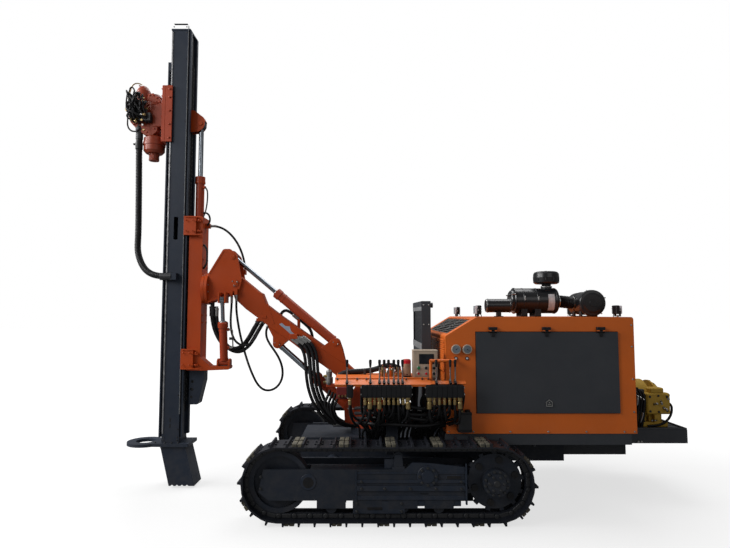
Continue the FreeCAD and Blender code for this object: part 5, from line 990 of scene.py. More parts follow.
# %% Work lamps
LAMPS = [(x, y, ROOF_TOP - 0.0002) for y in (-0.6, 0.6) for x in (0.824, 2.195)]
lamps = bmesh.new()
for x, y, foot in LAMPS:
    low, high = foot + 0.026, foot + 0.112
    way = -1 if x < 2 else 1
    block(lamps, (x + way * 0.004, y - 0.046, low), (x - way * 0.034, y + 0.046, high), edge=0.006)
    block(lamps, (x + way * 0.002, y - 0.043, low + 0.003), (x + way * 0.026, y + 0.043, high - 0.003),
          finish=1, edge=0.002)
    for number in range(6):
        strip = y - 0.038 + number * 0.0152
        block(lamps, (x + way * 0.025, strip - 0.0012, low + 0.006),
              (x + way * 0.0272, strip + 0.0012, high - 0.006))
    for edge in (-1, 1):
        block(lamps, (x - 0.01, y + edge * 0.048, foot + 0.008), (x + 0.01, y + edge * 0.052, high - 0.03),
              edge=0.001)
        bar(lamps, (x, y + edge * 0.046, foot + 0.066), (x, y + edge * 0.058, foot + 0.066), 0.008, finish=2,
            sides=6)
    block(lamps, (x - 0.012, y - 0.052, foot + 0.004), (x + 0.012, y + 0.052, foot + 0.01), edge=0.001)
    bar(lamps, (x, y, foot - 0.004), (x, y, foot + 0.02), 0.01, finish=2, sides=8)
    for number in range(5):
        z = low + 0.01 + number * 0.015
        block(lamps, (x - way * 0.033, y - 0.04, z), (x - way * 0.04, y + 0.04, z + 0.005))
    pipe(lamps, [(x, y, foot + 0.03), (x - way * 0.038, y, foot + 0.028), (x - way * 0.042, y, foot + 0.012),
                 (x - way * 0.042, y, foot - 0.004)], 0.004, fine=4)
lamp_set = show("lamps", lamps, [BLACK, PALE, ZINC], "base")
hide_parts("work_lamps")

# %% [markdown]
# ## Oil cooler
# The cooler stands ahead of the cabinet. Its core is a pack of thin fins between flat tubes, with a tank
# above and below, so a few hundred thin slats set out by the tree make it read as a core and not as a black
# sheet.

# %% Cooler core, tanks and pipes
def slat_master():
    """One flat tube of the core: 1 m wide across, facing +Z."""
    mesh = bmesh.new()
    block(mesh, (-0.006, -0.5, -0.0022), (0.006, 0.5, 0.0022))
    return mesh


slats = [((0.3045, -0.03, 0.85 + 0.0142 * number), (0, 0, 1), (1, 0, 0), 0.878) for number in range(71)]
set_out("cooler_slats", slat_master(), slats, CORE, "base")
cooler = bmesh.new()
for foot, top, finish in ((0.762, 0.838, 1), (1.446, 1.511, 0), (1.834, 1.876, 0), (1.876, 1.93, 1)):
    block(cooler, (0.289, -0.498, foot), (0.2965, 0.438, top), finish=finish, edge=0.002)
block(cooler, (0.2945, -0.47, 0.838), (0.2975, 0.41, 1.446), finish=1)
for y in (-0.46, 0.4):
    block(cooler, (0.291, y - 0.014, 0.838), (0.2965, y + 0.014, 1.854), finish=1, edge=0.001)
for y in (-0.33, 0.27):
    bar(cooler, (0.384, y, 1.893), (0.425, y, 1.893), 0.026, finish=1, sides=20)
    bar(cooler, (0.384, y, 0.8), (0.425, y, 0.8), 0.026, finish=1, sides=20)
bar(cooler, (0.34, -0.03, 1.93), (0.34, -0.03, 1.9315), 0.03, finish=1, sides=20)
show("cooler_trim", cooler, [GREY_STRIP, CHARCOAL], "base")
screws = [((0.2965, y, z), (-1, 0, 0)) for y in (-0.46, -0.24, 0.0, 0.2, 0.4) for z in (0.8, 1.893)]
screws += [((x, -0.5, z), (0, -1, 0)) for x in (0.315, 0.365) for z in (0.8, 1.1, 1.4, 1.7, 1.893)]
bolts("cooler_screws", screws, "base", 0.015, ZINC)

# %% [markdown]
# ## Operator's table
# Three valve banks hang on the near edge. A bank is a row of equal sections pulled together by tie rods,
# each with a lever above and a hose fitting below, so sections, levers and fittings share one list of places
# along the table.

# %% Places of the banks and levers, and what is set on them
BANKS = ((-0.435, -0.375, 1), (-0.29, 0.138, 10), (0.285, 0.605, 7))
LEVERS = (-0.431, -0.221, -0.138, -0.096, -0.057, -0.009, 0.031, 0.069, 0.373, 0.499, 0.544)
BANK_FRONT, BANK_BACK, BANK_FOOT, BANK_TOP = -1.013, -0.933, 1.058, 1.17
LEVER_Y = -0.973


def section_master():
    """One valve section, 1 m wide along X, seen from the front: body, spool cap and relief plug."""
    mesh = bmesh.new()
    block(mesh, (-0.46, -0.1, -1.1), (0.46, 0.06, 1.1), edge=0.05)
    capped(mesh, (0, 0.0, 0.52), (0, 0.26, 0.52), 0.3, 0.22, sides=12, share=0.7)
    capped(mesh, (0, 0.0, -0.45), (0, 0.3, -0.45), 0.26, 0.2)
    block(mesh, (-0.3, 0.0, -0.05), (0.3, 0.1, 0.16), edge=0.03)
    return mesh


def knob_master():
    """A long moulded lever knob, 1 m tall along +Z."""
    mesh = bmesh.new()
    turned(mesh, (0, 0, 0), (0, 0, 1), [(0, 0.12), (0.05, 0.15), (0.3, 0.17), (0.7, 0.205), (0.92, 0.19),
                                        (1, 0.13)], sides=20)
    return mesh


def bonnet_master():
    """The bellows and the fork at the foot of a lever, 1 m tall along +Z."""
    mesh = bmesh.new()
    turned(mesh, (0, 0, 0), (0, 0, 1), [(0, 0.52), (0.16, 0.52), (0.2, 0.4), (0.36, 0.46), (0.44, 0.34),
                                        (0.6, 0.4), (0.68, 0.28), (1, 0.22)], sides=16)
    return mesh

# %% Valve sections, bonnets and knobs
sections, under = [], []
for first, last, count in BANKS:
    pitch = (last - first) / count
    for number in range(count):
        x = first + pitch * (number + 0.5)
        sections.append(((x, BANK_FRONT - 0.001, (BANK_FOOT + BANK_TOP) / 2), (0, 0, 1), (1, 0, 0), pitch))
        under.append((x, number))
for number, (place, facing, running, pitch) in enumerate(sections):
    sections[number] = (place, facing, running, min(pitch, 0.0455))
set_out("valve_sections", section_master(), sections, BLACK, "base")
up = [((x, LEVER_Y, BANK_TOP - 0.001), (0, 0, 1), (1, 0, 0), 1.0) for x in LEVERS]
set_out("lever_bonnets", bonnet_master(), up, BLACK, "base", size=0.036)
knobs = [((x, LEVER_Y, 1.326), (0, 0, 1), (1, 0, 0), 1.0) for x in LEVERS]
set_out("lever_knobs", knob_master(), knobs, KNOB, "base", size=0.066)

# %% Lever rods
rods = bmesh.new()
for x in LEVERS:
    turned(rods, (x, LEVER_Y, 1.16), (x, LEVER_Y, 1.332), [(0, 0.01), (0.1, 0.01), (0.14, 0.0068), (1, 0.0068)],
           sides=12)
lever_rods = show("lever_rods", rods, [REFLECTOR], "base")
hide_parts("levers")

# %% End plates of the banks
ends = bmesh.new()
for first, last, count in BANKS:
    if count == 1:
        continue
    for x, way in ((first, -1), (last, 1)):
        block(ends, (x - way * 0.002, BANK_FRONT - 0.004, BANK_FOOT + 0.004),
              (x + way * 0.01, BANK_BACK, BANK_TOP - 0.004), edge=0.002)
        for y, z in ((-1.0, 1.145), (-0.945, 1.145), (-1.0, 1.085)):
            bar(ends, (x + way * 0.009, y, z), (x + way * 0.018, y, z), 0.008, finish=1, sides=6)
show("bank_ends", ends, [BLACK, ZINC], "base")

# %% [markdown]
# From every section a yellow zinc fitting points down and two thin hoses leave it, under the table and down
# to the chassis. These hoses are held at both ends on one body, so they are bent pipes of rubber.

# %% Fittings below the banks and their hoses
drops, hoses, sleeves = [], bmesh.new(), bmesh.new()
for number, (x, place) in enumerate(under):
    long = 0.108 if (place, number) in ((1, 2), (3, 4), (9, 10), (0, 11), (6, 17)) else 0.07
    drops.append(((x, LEVER_Y, BANK_FOOT + 0.001), (0, 0, -1), (1, 0, 0), long))
    foot = BANK_FOOT - long
    for strand in range(2):
        drift = 0.1 * sin(number * 2.4 + strand * 1.9)
        end_x = 0.72 * x - 0.03 + 0.3 * drift
        side = 0.016 * strand
        pipe(hoses, [(x, LEVER_Y + side, foot + 0.016), (x + 0.3 * side, LEVER_Y + side, foot - 0.03),
                     (x + 0.25 * drift, LEVER_Y + 0.03 + side, foot - 0.09 - 0.025 * ((number + strand) % 3)),
                     (x * 0.9 + drift, -0.865 + 2 * side, 0.795 + 0.02 * (number % 4)),
                     (end_x + 0.4 * drift, -0.7 + 3 * side, 0.745), (end_x, -0.5, 0.645 + 0.012 * (number % 3)),
                     (end_x, -0.345, 0.6), (end_x, -0.325, 0.552)], 0.0115, fine=4)
set_out("bank_fittings", fitting_master(), drops, BRASS, "base")

# %% Return hoses
for number in range(17):
    x = -0.3 + 0.056 * number
    sway = 0.035 * sin(number * 2.1)
    pipe(sleeves, [(x, -0.94, 1.15), (x + sway, -0.9, 1.09), (x - sway, -0.86, 1.0), (x + sway, -0.8, 0.9),
                   (x * 0.9 - sway, -0.7, 0.8), (x * 0.8, -0.52, 0.7), (x * 0.75, -0.38, 0.62),
                   (x * 0.75, -0.33, 0.556)], 0.0135, fine=4)
for number in range(4):
    low = 0.8 + 0.05 * number
    pipe(sleeves, [(-0.36, -0.62 - 0.02 * number, low - 0.04), (-0.2, -0.86, low),
                   (0.05, -0.9, low + 0.03 * (number % 2)), (0.3, -0.9, low - 0.02), (0.5, -0.8, low + 0.02),
                   (0.6, -0.6, low - 0.05)], 0.016, fine=4)
show("bank_hoses", hoses, [RUBBER], "base")
show("return_hoses", sleeves, [RUBBER], "base")

# %% Bulkhead strip
ties = bmesh.new()
block(ties, (-0.33, -0.335, 0.54), (0.4, -0.3, 0.566), edge=0.003)
for x in (-0.28, 0.0, 0.3):
    bar(ties, (x, -0.318, 0.566), (x, -0.318, 0.574), 0.009, finish=1, sides=6)
show("bulkhead_strip", ties, [SLATE, ZINC], "base")

# %% Table bolts and the apron under the levers
TABLE_TOP = 1.222
table_bolts = [((x, -0.935, 1.2145), (0, -0.5, 1)) for x in (-0.52, -0.34, -0.255, 0.105, 0.25, 0.305)]
table_bolts += [((x, -0.52, TABLE_TOP), (0, 0, 1)) for x in (-0.5, -0.2, 0.1, 0.3)]
bolts("table_bolts", table_bolts, "base", 0.02, CAST)
apron = bmesh.new()
for first, last, back, front, top, foot in ((-0.541, 0.322, -0.905, -0.998, 1.2235, 1.172),
                                            (0.322, 0.64, -0.935, -0.985, 1.2, 1.176)):
    plate(apron, [(first, back, top), (last, back, top), (last, front, foot), (first, front, foot)],
          (0, 0, -0.006))
    plate(apron, [(first, front, foot), (last, front, foot), (last, front, foot - 0.016),
                  (first, front, foot - 0.016)], (0, 0.004, 0))
for x in LEVERS:
    block(apron, (x - 0.01, -1.0, 1.171), (x + 0.01, -0.94, 1.206), finish=1, turn=Matrix.Rotation(0.5, 3, "X"))
show("lever_apron", apron, [ORANGE, BLACK], "base")

# %% Ball valves
small = bmesh.new()
for number in range(9):
    x = -0.128 + number * 0.0235
    y = -0.815 + 0.035 * (number % 2)
    top = 1.262 + 0.024 * ((number * 5) % 3)
    block(small, (x - 0.01, y - 0.018, TABLE_TOP - 0.001), (x + 0.01, y + 0.018, top), finish=number % 2,
          edge=0.003)
    bar(small, (x, y - 0.016, top - 0.018), (x, y - 0.052, top - 0.018), 0.008, finish=1, sides=10, edge=0.001)
    bar(small, (x, y, top - 0.002), (x, y, top + 0.014), 0.006, finish=2, sides=8)
    block(small, (x - 0.004, y - 0.022, top + 0.012), (x + 0.004, y + 0.008, top + 0.017),
          finish=(3, 0)[number % 2], edge=0.001)
for x, y in ((-0.11, -0.76), (-0.03, -0.74), (0.04, -0.77)):
    bar(small, (x, y, TABLE_TOP), (x, y, TABLE_TOP + 0.055), 0.014, finish=1, sides=12, edge=0.002)
    pipe(small, [(x, y, TABLE_TOP + 0.05), (x, y, TABLE_TOP + 0.085), (x + 0.02, y + 0.03, TABLE_TOP + 0.095),
                 (x + 0.03, y + 0.1, TABLE_TOP + 0.06), (x + 0.02, y + 0.16, TABLE_TOP)], 0.007, finish=2,
         fine=5)
show("ball_valves", small, [ORANGE, BRASS, RUBBER, RED_CAP], "base")

# %% Cap and ribs of the smoked jar
JAR_PLACE = (0.12, -0.795)
jar = bmesh.new()
turned(jar, (*JAR_PLACE, 1.339), (*JAR_PLACE, 1.3835),
       [(0, 0.036), (0.12, 0.0385), (0.7, 0.0385), (0.86, 0.034), (1, 0.022)], sides=28)
for turn in range(14):
    out = Vector((cos(turn * pi / 7), sin(turn * pi / 7), 0)) * 0.038
    bar(jar, Vector((*JAR_PLACE, 1.346)) + out, Vector((*JAR_PLACE, 1.37)) + out, 0.0022, sides=6)
capped(jar, (*JAR_PLACE, 1.222), (*JAR_PLACE, 1.232), 0.046, 0.041, finish=1, sides=28, share=0.7)
bar(jar, (0.12, -0.835, 1.245), (0.12, -0.846, 1.245), 0.006, finish=1, sides=8)
show("jar_cap", jar, [RED_CAP, BLACK], "base")

# %% Control box face
box_face = bmesh.new()
FACE_Y = -0.865
block(box_face, (0.172, FACE_Y - 0.004, 1.4615), (0.403, -0.732, 1.469), edge=0.002)
block(box_face, (0.18, FACE_Y - 0.003, 1.228), (0.395, FACE_Y + 0.002, 1.456), edge=0.002)
block(box_face, (0.229, FACE_Y - 0.006, 1.343), (0.367, FACE_Y - 0.001, 1.435), finish=1, edge=0.002)
block(box_face, (0.237, FACE_Y - 0.0068, 1.35), (0.359, FACE_Y - 0.0058, 1.428), finish=2)
for x, z, finish, size in ((0.225, 1.307, 3, 0.014), (0.293, 1.307, 4, 0.012), (0.366, 1.307, 4, 0.013),
                           (0.224, 1.257, 5, 0.01), (0.292, 1.257, 5, 0.01), (0.366, 1.257, 4, 0.013)):
    bar(box_face, (x, FACE_Y - 0.002, z), (x, FACE_Y - 0.007, z), size + 0.004, finish=6, sides=20, edge=0.001)
    bar(box_face, (x, FACE_Y - 0.006, z), (x, FACE_Y - 0.016, z), size, finish=finish, sides=20, edge=0.002)
block(box_face, (0.175 + 0.226, -0.84, 1.26), (0.175 + 0.236, -0.8, 1.36), finish=4, edge=0.003)
for x in (0.195, 0.38):
    for z in (1.24, 1.446):
        bar(box_face, (x, FACE_Y - 0.002, z), (x, FACE_Y - 0.005, z), 0.004, finish=6, sides=8)
pipe(box_face, [(0.3, -0.755, 1.232), (0.3, -0.715, 1.236), (0.302, -0.69, 1.226), (0.302, -0.688, 1.215)],
     0.008, finish=4, sides=10, fine=5)
show("control_box_face", box_face, [CREAM, BLACK, SCREEN, GREEN_CAP, BLACK, RED_CAP, ZINC], "base")

# %% The air hose over the table
air = bmesh.new()
sweep(air, smooth_line("air hose over the table",
                       [(-0.535, -0.6, 1.19), (-0.5, -0.6, 1.228), (-0.4, -0.6, 1.246), (-0.26, -0.6, 1.252),
                        (-0.17, -0.605, 1.268), (-0.09, -0.61, 1.3), (-0.01, -0.615, 1.31),
                        (0.045, -0.62, 1.285), (0.062, -0.62, 1.24), (0.062, -0.62, 1.205)], 8),
      lambda walked: 0.026, 14)
for x in (-0.44, -0.27):
    block(air, (x - 0.012, -0.636, 1.22), (x + 0.012, -0.564, 1.276), finish=1, edge=0.003)
show("table_air_hose", air, [RUBBER, CAST], "base")

# %% The side tank's hose and caps
tank = bmesh.new()
pipe(tank, [(0.592, -0.945, 1.11), (0.612, -0.945, 1.108), (0.628, -0.94, 1.08), (0.625, -0.915, 1.01),
            (0.618, -0.885, 0.95), (0.615, -0.873, 0.905)], 0.011, sides=10, fine=6)
bar(tank, (0.615, -0.873, 0.912), (0.615, -0.873, 0.926), 0.018, finish=1, sides=12, edge=0.002)
bar(tank, (0.668, -0.873, 0.912), (0.668, -0.873, 0.93), 0.024, sides=20, edge=0.003)
for z in (0.75, 0.9):
    block(tank, (0.574, -0.9245, z - 0.008), (0.7, -0.8225, z + 0.008), edge=0.001)
show("side_tank_trim", tank, [RUBBER, BRASS], "base")

# %% Inner hoses behind the banks
inner = bmesh.new()
for x, lean in ((0.083, 0.02), (0.108, -0.015), (0.134, 0.012), (0.204, 0.0), (0.226, -0.012)):
    pipe(inner, [(x, -0.5, 1.155), (x, -0.5, 1.02), (x + lean, -0.505, 0.92), (x + lean, -0.51, 0.84),
                 (x + 0.05, -0.53, 0.77), (x + 0.1, -0.56, 0.735)], 0.0155)
for z in (0.85, 0.828):
    pipe(inner, [(0.05, -0.49, z - 0.03), (0.12, -0.495, z), (0.26, -0.5, z), (0.36, -0.51, z - 0.02),
                 (0.4, -0.53, z - 0.08)], 0.0155)
show("inner_hoses", inner, [RUBBER], "base")

# %% [markdown]
# ## Boom
# The boom is a welded box: two flat sides cut to one outline, a high nose at the tip and a slimmer beam
# behind it. Cutting that outline once and giving it the box's width is the way a plate shop makes it. The
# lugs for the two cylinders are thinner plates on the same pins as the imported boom, so every cylinder still
# meets its lug.

# %% The boom's pins
BOOM_TURN = radians(36.94)
BOOM_FOOT, BOOM_TIP = Vector((-0.249, 0, 1.07)), Vector((-1.664, 0, 2.134))
LIFT_EYE, PITCH_BASE = Vector((-1.2069, 0, 1.485)), Vector((-0.5823, 0, 1.492))
BOOM_HALF = 0.075

# %% Plates cut to an outline
def profile(mesh, outline, near, far, finish=0, edge=0.0):
    """A plate cut to an outline in X and Z, between two places across the rig."""
    near, far = sorted((near, far))
    before = set(mesh.faces)
    plate(mesh, [(x, near, z) for x, z in outline], (0, far - near, 0), finish)
    if edge:
        made = [face for face in mesh.faces if face not in before]
        rims = [e for e in {e for face in made for e in face.edges}
                if len(e.link_faces) == 2 and {abs(f.normal.y) > 0.9 for f in e.link_faces} == {True, False}]
        bmesh.ops.bevel(mesh, geom=rims, offset=edge, segments=1, affect="EDGES", material=finish)


def arc(centre, radius, first, last, count=7):
    """Points on an arc in X and Z, angles in degrees from +X towards +Z."""
    turns = [radians(first + (last - first) * k / (count - 1)) for k in range(count)]
    return [(centre[0] + radius * cos(t), centre[-1] + radius * sin(t)) for t in turns]

# %% The boom's outline and its lugs
beam = bmesh.new()
profile(beam, [(-1.407, 2.039), (-1.374, 2.024), (-1.326, 1.905), (-1.174, 1.789), (-1.031, 1.689),
               (-0.888, 1.59), (-0.626, 1.408), (-0.473, 1.289), (-0.375, 1.2), (-0.25, 1.146)]
        + arc(BOOM_FOOT, 0.07, 60, -110)
        + [(-0.33, 1.01), (-0.5, 1.096), (-0.7, 1.246), (-0.875, 1.366), (-1.117, 1.548), (-1.281, 1.657),
           (-1.386, 1.74), (-1.546, 1.856), (-1.668, 1.968)] + arc(BOOM_TIP, 0.09, 250, 60, 9), -BOOM_HALF,
        BOOM_HALF, edge=0.004)
for side in (-1, 1):
    profile(beam, [(-1.33, 1.7), (-1.256, 1.56)] + arc(LIFT_EYE, 0.05, 165, 330)
            + [(-1.1, 1.515), (-1.06, 1.56)], side * 0.04, side * 0.058, edge=0.002)
    profile(beam, [(-0.74, 1.44), (-0.626, 1.53)] + arc(PITCH_BASE, 0.05, 130, 10)
            + [(-0.505, 1.42), (-0.468, 1.27), (-0.56, 1.32)], side * 0.0615, side * 0.0795, edge=0.002)
    for pin, radius, face in ((BOOM_TIP, 0.052, 0.0745), (LIFT_EYE, 0.034, 0.058), (PITCH_BASE, 0.034, 0.0795)):
        bar(beam, pin + Vector((0, side * (face - 0.001), 0)), pin + Vector((0, side * (face + 0.0035), 0)),
            radius, sides=32, edge=0.001)
        if pin is not BOOM_TIP:
            bar(beam, pin + Vector((0, side * face, 0)), pin + Vector((0, side * (face + 0.009), 0)), 0.024,
                sides=24, edge=0.002)
bar(beam, LIFT_EYE - Vector((0, 0.058, 0)), LIFT_EYE + Vector((0, 0.058, 0)), 0.0235, finish=1, sides=24)
bar(beam, PITCH_BASE - Vector((0, 0.0795, 0)), PITCH_BASE + Vector((0, 0.0795, 0)), 0.0235, finish=1, sides=24)

# %% A place on the boom
along = (BOOM_TIP - BOOM_FOOT).normalized()


def on_boom(walk, rise, across):
    """A place given along the boom from its foot pin, above its line and across it."""
    above = Vector((sin(BOOM_TURN), 0, cos(BOOM_TURN)))
    return BOOM_FOOT + along * walk + above * rise + Vector((0, across, 0))

# %% Hose clamps, seam, bare film and pin bolts
for walk, rise, across, size in ((1.275, -0.118, -0.018, (0.095, 0.058, 0.016)),
                                 (0.918, -0.07, -0.105, (0.042, 0.03, 0.026)),
                                 (1.3, -0.1, -0.06, (0.025, 0.02, 0.016))):
    block(beam, on_boom(walk, rise, across) - Vector(size), on_boom(walk, rise, across) + Vector(size),
          edge=0.003)
profile(beam, [(-1.33, 1.902), (-1.31, 1.916), (-1.24, 1.7), (-1.262, 1.69)], -BOOM_HALF - 0.003, -BOOM_HALF)
film = bmesh.new()
FILM_EDGE = ((0.735, -0.09), (1.125, -0.064), (1.11, -0.036), (1.06, -0.04), (1.02, -0.016), (0.98, -0.046),
             (0.76, -0.058))
strip = [on_boom(walk, rise, -0.0752) for walk, rise in FILM_EDGE]
plate(film, strip, (0, -0.0006, 0))
show("boom_film", film, [DECAL], "boom")
boom = show("boom_weldment", beam, [BOOM_ORANGE, STEEL], "boom")
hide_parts("boom")
bolts("boom_pin_bolts", [(pin + Vector((dx, side * face, dz)), (0, side, 0))
                         for side in (-1, 1) for pin, face in ((PITCH_BASE, 0.083), (LIFT_EYE, 0.0615))
                         for dx, dz in ((-0.024, 0.01), (0.024, -0.01))], "boom", 0.014, ZINC)

# %% [markdown]
# A hose that stays on the boom is clipped to it, so it is a bent tube that rides with the beam. It humps
# over the top of the beam on its far side and goes down again behind it.

# %% Pipes and held hoses on the boom
run = bmesh.new()
pipe(run, [(-1.215, 0.092, 1.7), (-1.205, 0.092, 1.8), (-1.15, 0.092, 1.85), (-1.09, 0.092, 1.825),
           (-1.03, 0.092, 1.775), (-0.935, 0.092, 1.7), (-0.87, 0.094, 1.64), (-0.845, 0.096, 1.56),
           (-0.85, 0.096, 1.48), (-0.86, 0.092, 1.4)], 0.0165, sides=12)
turned(run, (-1.06, 0.092, 1.8), (-0.99, 0.092, 1.742), [(0, 0.018), (0.1, 0.024), (0.9, 0.024), (1, 0.018)],
       finish=1, sides=16)
block(run, (-1.012, 0.07, 1.6), (-0.982, 0.116, 1.748), finish=2, edge=0.003)
show("boom_pipes", run, [RUBBER, ZINC, BOOM_ORANGE], "boom")

# %% [markdown]
# ## Cylinders
# Each cylinder has a screwed gland with two flats, a port boss near either end and a steel pipe between
# them. The rod wipes clean, so it stays the brightest metal on the rig.

# %% Ports, pipes and glands
def cylinder_trim(name, base, eye, radius, barrel_end, body, across, finish):
    """Gland, ports and a clipped pipe on a barrel that runs from its base pin towards the rod's eye."""
    mesh = bmesh.new()
    base, eye = Vector(base), Vector(eye)
    way = (eye - base).normalized()
    side = Vector(across)
    end = base + way * barrel_end
    turned(mesh, end - way * 0.052, end + way * 0.006,
           [(0, radius), (0, radius + 0.005), (0.85, radius + 0.005), (1, radius - 0.004)], sides=36)
    turned(mesh, end + way * 0.004, end + way * 0.014,
           [(0, radius * 0.72), (0.6, radius * 0.72), (1, radius * 0.66)], finish=1, sides=28)
    out = side * (radius + 0.016)
    for walk in (0.16, barrel_end - 0.075):
        spot = base + way * walk
        capped(mesh, spot + side * (radius - 0.006), spot + out, 0.017, 0.014, sides=16)
        turned(mesh, spot + out, spot + out + side * 0.022, [(0, 0.013), (1, 0.013)], finish=1, sides=6)
    first, last = base + way * 0.16 + out + side * 0.012, base + way * (barrel_end - 0.075) + out + side * 0.012
    pipe(mesh, [first, first + side * 0.022, first + side * 0.022 + way * 0.03, last + side * 0.022 - way * 0.03,
                last + side * 0.022, last], 0.0075, finish=1, fine=5)
    middle = first.lerp(last, 0.5)
    block(mesh, middle - Vector((0.014, 0.01, 0.014)), middle + side * 0.02 + Vector((0.014, 0.01, 0.014)),
          finish=2, edge=0.002)
    return show(name, mesh, [finish, ZINC, CAST], body)

# %% Trim on the lift, tilt and feed cylinders
cylinder_trim("lift_cylinder_trim", (-0.419, 0, 0.797), LIFT_EYE, 0.062, 0.52, "lift_barrel", (0, 1, 0),
              RED_ORANGE)
cylinder_trim("tilt_cylinder_trim", PITCH_BASE, (-1.693, 0, 2.419), 0.05, 0.845, "pitch_barrel", (0, 1, 0),
              RED_ORANGE)
cylinder_trim("feed_swing_trim", (-1.77, -0.07, 1.29), (-1.77, -0.19, 1.955), 0.048, 0.43, "sway_barrel",
              (1, 0, 0), RED_ORANGE)

# %% [markdown]
# ## Post and arm head
# The post turns on the chassis. Grease nipples, retainer bolts and the hoses' bulkhead sit on its cheeks.
# The arm head is a folded pair of plates on the tip pin, and its flange turns the feed.

# %% The post's swivel, valve block and bolts
post = bmesh.new()
turned(post, (-0.64, -0.215, 1.075), (-0.64, -0.215, 1.225),
       [(0, 0.034), (0.15, 0.04), (0.5, 0.04), (0.52, 0.03), (0.9, 0.032), (1, 0.022)], finish=1, sides=24)
block(post, (-0.668, -0.245, 1.05), (-0.38, -0.19, 1.085), finish=2, edge=0.004)
for z in (1.1, 1.16):
    capped(post, (-0.64, -0.215, z), (-0.7, -0.225, z), 0.018, 0.013, finish=3, share=0.6)
block(post, (-0.56, -0.262, 0.93), (-0.455, -0.19, 1.052), finish=4, edge=0.004)
for number in range(3):
    capped(post, (-0.535 + 0.034 * number, -0.262, 0.965), (-0.535 + 0.034 * number, -0.3, 0.965),
           0.013, 0.009, finish=3, share=0.6)
for x, z, low in ((-0.6, 1.0, 0.7), (-0.57, 0.985, 0.66), (-0.63, 1.02, 0.74), (-0.54, 0.97, 0.68)):
    pipe(post, [(x, -0.225, z), (x - 0.03, -0.235, z - 0.08), (x - 0.06, -0.225, (z + low) / 2),
                (x, -0.205, low + 0.02), (x + 0.12, -0.15, 0.645), (x + 0.18, -0.12, 0.632)], 0.014, sides=10)
show("post_swivel", post, [RUBBER, ZINC, RED_ORANGE, BRASS, RUST_RED], "boom_post")
CHEEK = 0.108
post_spots = []
for side in (-1, 1):
    for x, z in ((-0.249, 1.07), (-0.419, 0.797)):
        ends = ring_of((x, side * (CHEEK + 0.0065), z), 0.027, 3, start=0.5)
        post_spots += [(spot, (0, side, 0)) for spot in ends]
post_spots += [(spot, (0, 0, 1)) for spot in ring_of((-0.205, 0, 0.642), 0.178, 12, "xy", 0.2)]
bolts("post_bolts", post_spots, "boom_post", 0.015, ZINC)

# %% Arm head pins and seams
ARM_FACE = 0.102
arm = bmesh.new()
for side in (-1, 1):
    face = side * ARM_FACE
    for pin, radius in ((BOOM_TIP, 0.042), (Vector((-1.693, 0, 2.419)), 0.03)):
        bar(arm, pin + Vector((0, face + side * 0.007, 0)), pin + Vector((0, face + side * 0.011, 0)),
            radius * 0.62, sides=24, edge=0.002)
    near, far = face + side * 0.0005, face + side * 0.004
    profile(arm, [(-1.9, 1.985), (-1.73, 2.005), (-1.728, 2.012), (-1.9, 1.993)], near, far)
    profile(arm, [(-1.94, 2.236), (-1.792, 2.482), (-1.785, 2.478), (-1.932, 2.232)], near, far)
show("arm_head_trim", arm, [BOOM_ORANGE, ZINC, RUBBER], "arm_head")
arm_spots = [(BOOM_TIP + Vector((0.029 * cos(t), side * 0.1095, 0.029 * sin(t))), (0, side, 0))
             for side in (-1, 1) for t in (0.4, 2.5, 4.6)]
arm_spots += [((-1.9485, 0.118 * cos(t), 2.076 + 0.118 * sin(t)), (1, 0, 0))
              for t in [k * pi / 5 + 0.3 for k in range(10)] if abs(cos(t)) * 0.118 > 0.105]
bolts("arm_head_bolts", arm_spots, "arm_head", 0.017, ZINC)

# %% [markdown]
# ## Mast
# The mast is a long box with a bright strip along either front edge and a chain in the groove behind. Black
# plates on its near side, on its top and in the groove are painted shade, and pale strips along the groove's
# lips are a painted highlight on those edges.

# %% Rails, and the painted shade and highlight of the groove and slots
MAST_FRONT, MAST_BACK, MAST_HALF, MAST_FOOT, MAST_TOP = -2.395, -2.215, 0.125, 0.457, 5.005
rail = bmesh.new()
# Pale strips on the back face's two edges: a painted highlight where light catches them.
for y in (-0.1225, 0.1225):
    block(rail, (MAST_BACK - 0.001, y - 0.0125, MAST_FOOT + 0.3),
          (MAST_BACK + 0.0035, y + 0.0125, MAST_TOP - 0.03), finish=0, edge=0.001)
# A black plate on the back face: painted shade in the groove.
block(rail, (MAST_BACK - 0.0015, -0.085, MAST_FOOT + 0.3), (MAST_BACK + 0.0008, 0.085, MAST_TOP - 0.06),
      finish=1)
for y in (-0.132, 0.132):
    block(rail, (MAST_FRONT + 0.002, y, MAST_FOOT + 0.1), (MAST_FRONT + 0.016, y * 0.985, MAST_TOP - 0.1),
          finish=2)
# Black plates on the near side, in this loop and the next: painted shade in slots.
for z in (4.792, 4.724, 4.576, 0.696, 0.635):
    x = MAST_FRONT + (0.012 if z > 1 else 0.085)
    block(rail, (x - 0.006, -MAST_HALF - 0.0012, z - 0.02), (x + 0.006, -MAST_HALF + 0.0005, z + 0.02), finish=1)
for z in (0.6, 0.95, 1.6, 2.3, 3.2, 3.9, 4.6):
    block(rail, (MAST_BACK - 0.02, -MAST_HALF - 0.0015, z - 0.007),
          (MAST_BACK - 0.006, -MAST_HALF + 0.0005, z + 0.007), finish=1)
block(rail, (-2.44, -0.045, 4.48), (-2.396, 0.045, 4.576), finish=1, edge=0.01)
# Black plates on the top: painted shade in openings.
for y in (-0.105, 0.105):
    block(rail, (-2.38, y - 0.016, MAST_TOP - 0.0005), (-2.23, y + 0.016, MAST_TOP - 0.0002), finish=1)
show("mast_rails", rail, [GREY_STRIP, BLACK, STEEL], "mast")

# %% Feed chain
def chain_master():
    """One link of a roller chain, running along Z and 1 m long: two side plates and a roller."""
    mesh = bmesh.new()
    for x in (-0.3, 0.3):
        block(mesh, (x - 0.05, -0.24, -0.6), (x + 0.05, 0.24, 0.6), edge=0.04)
    turned(mesh, (-0.36, 0, 0), (0.36, 0, 0), [(0, 0.2), (1, 0.2)], sides=8)
    return mesh


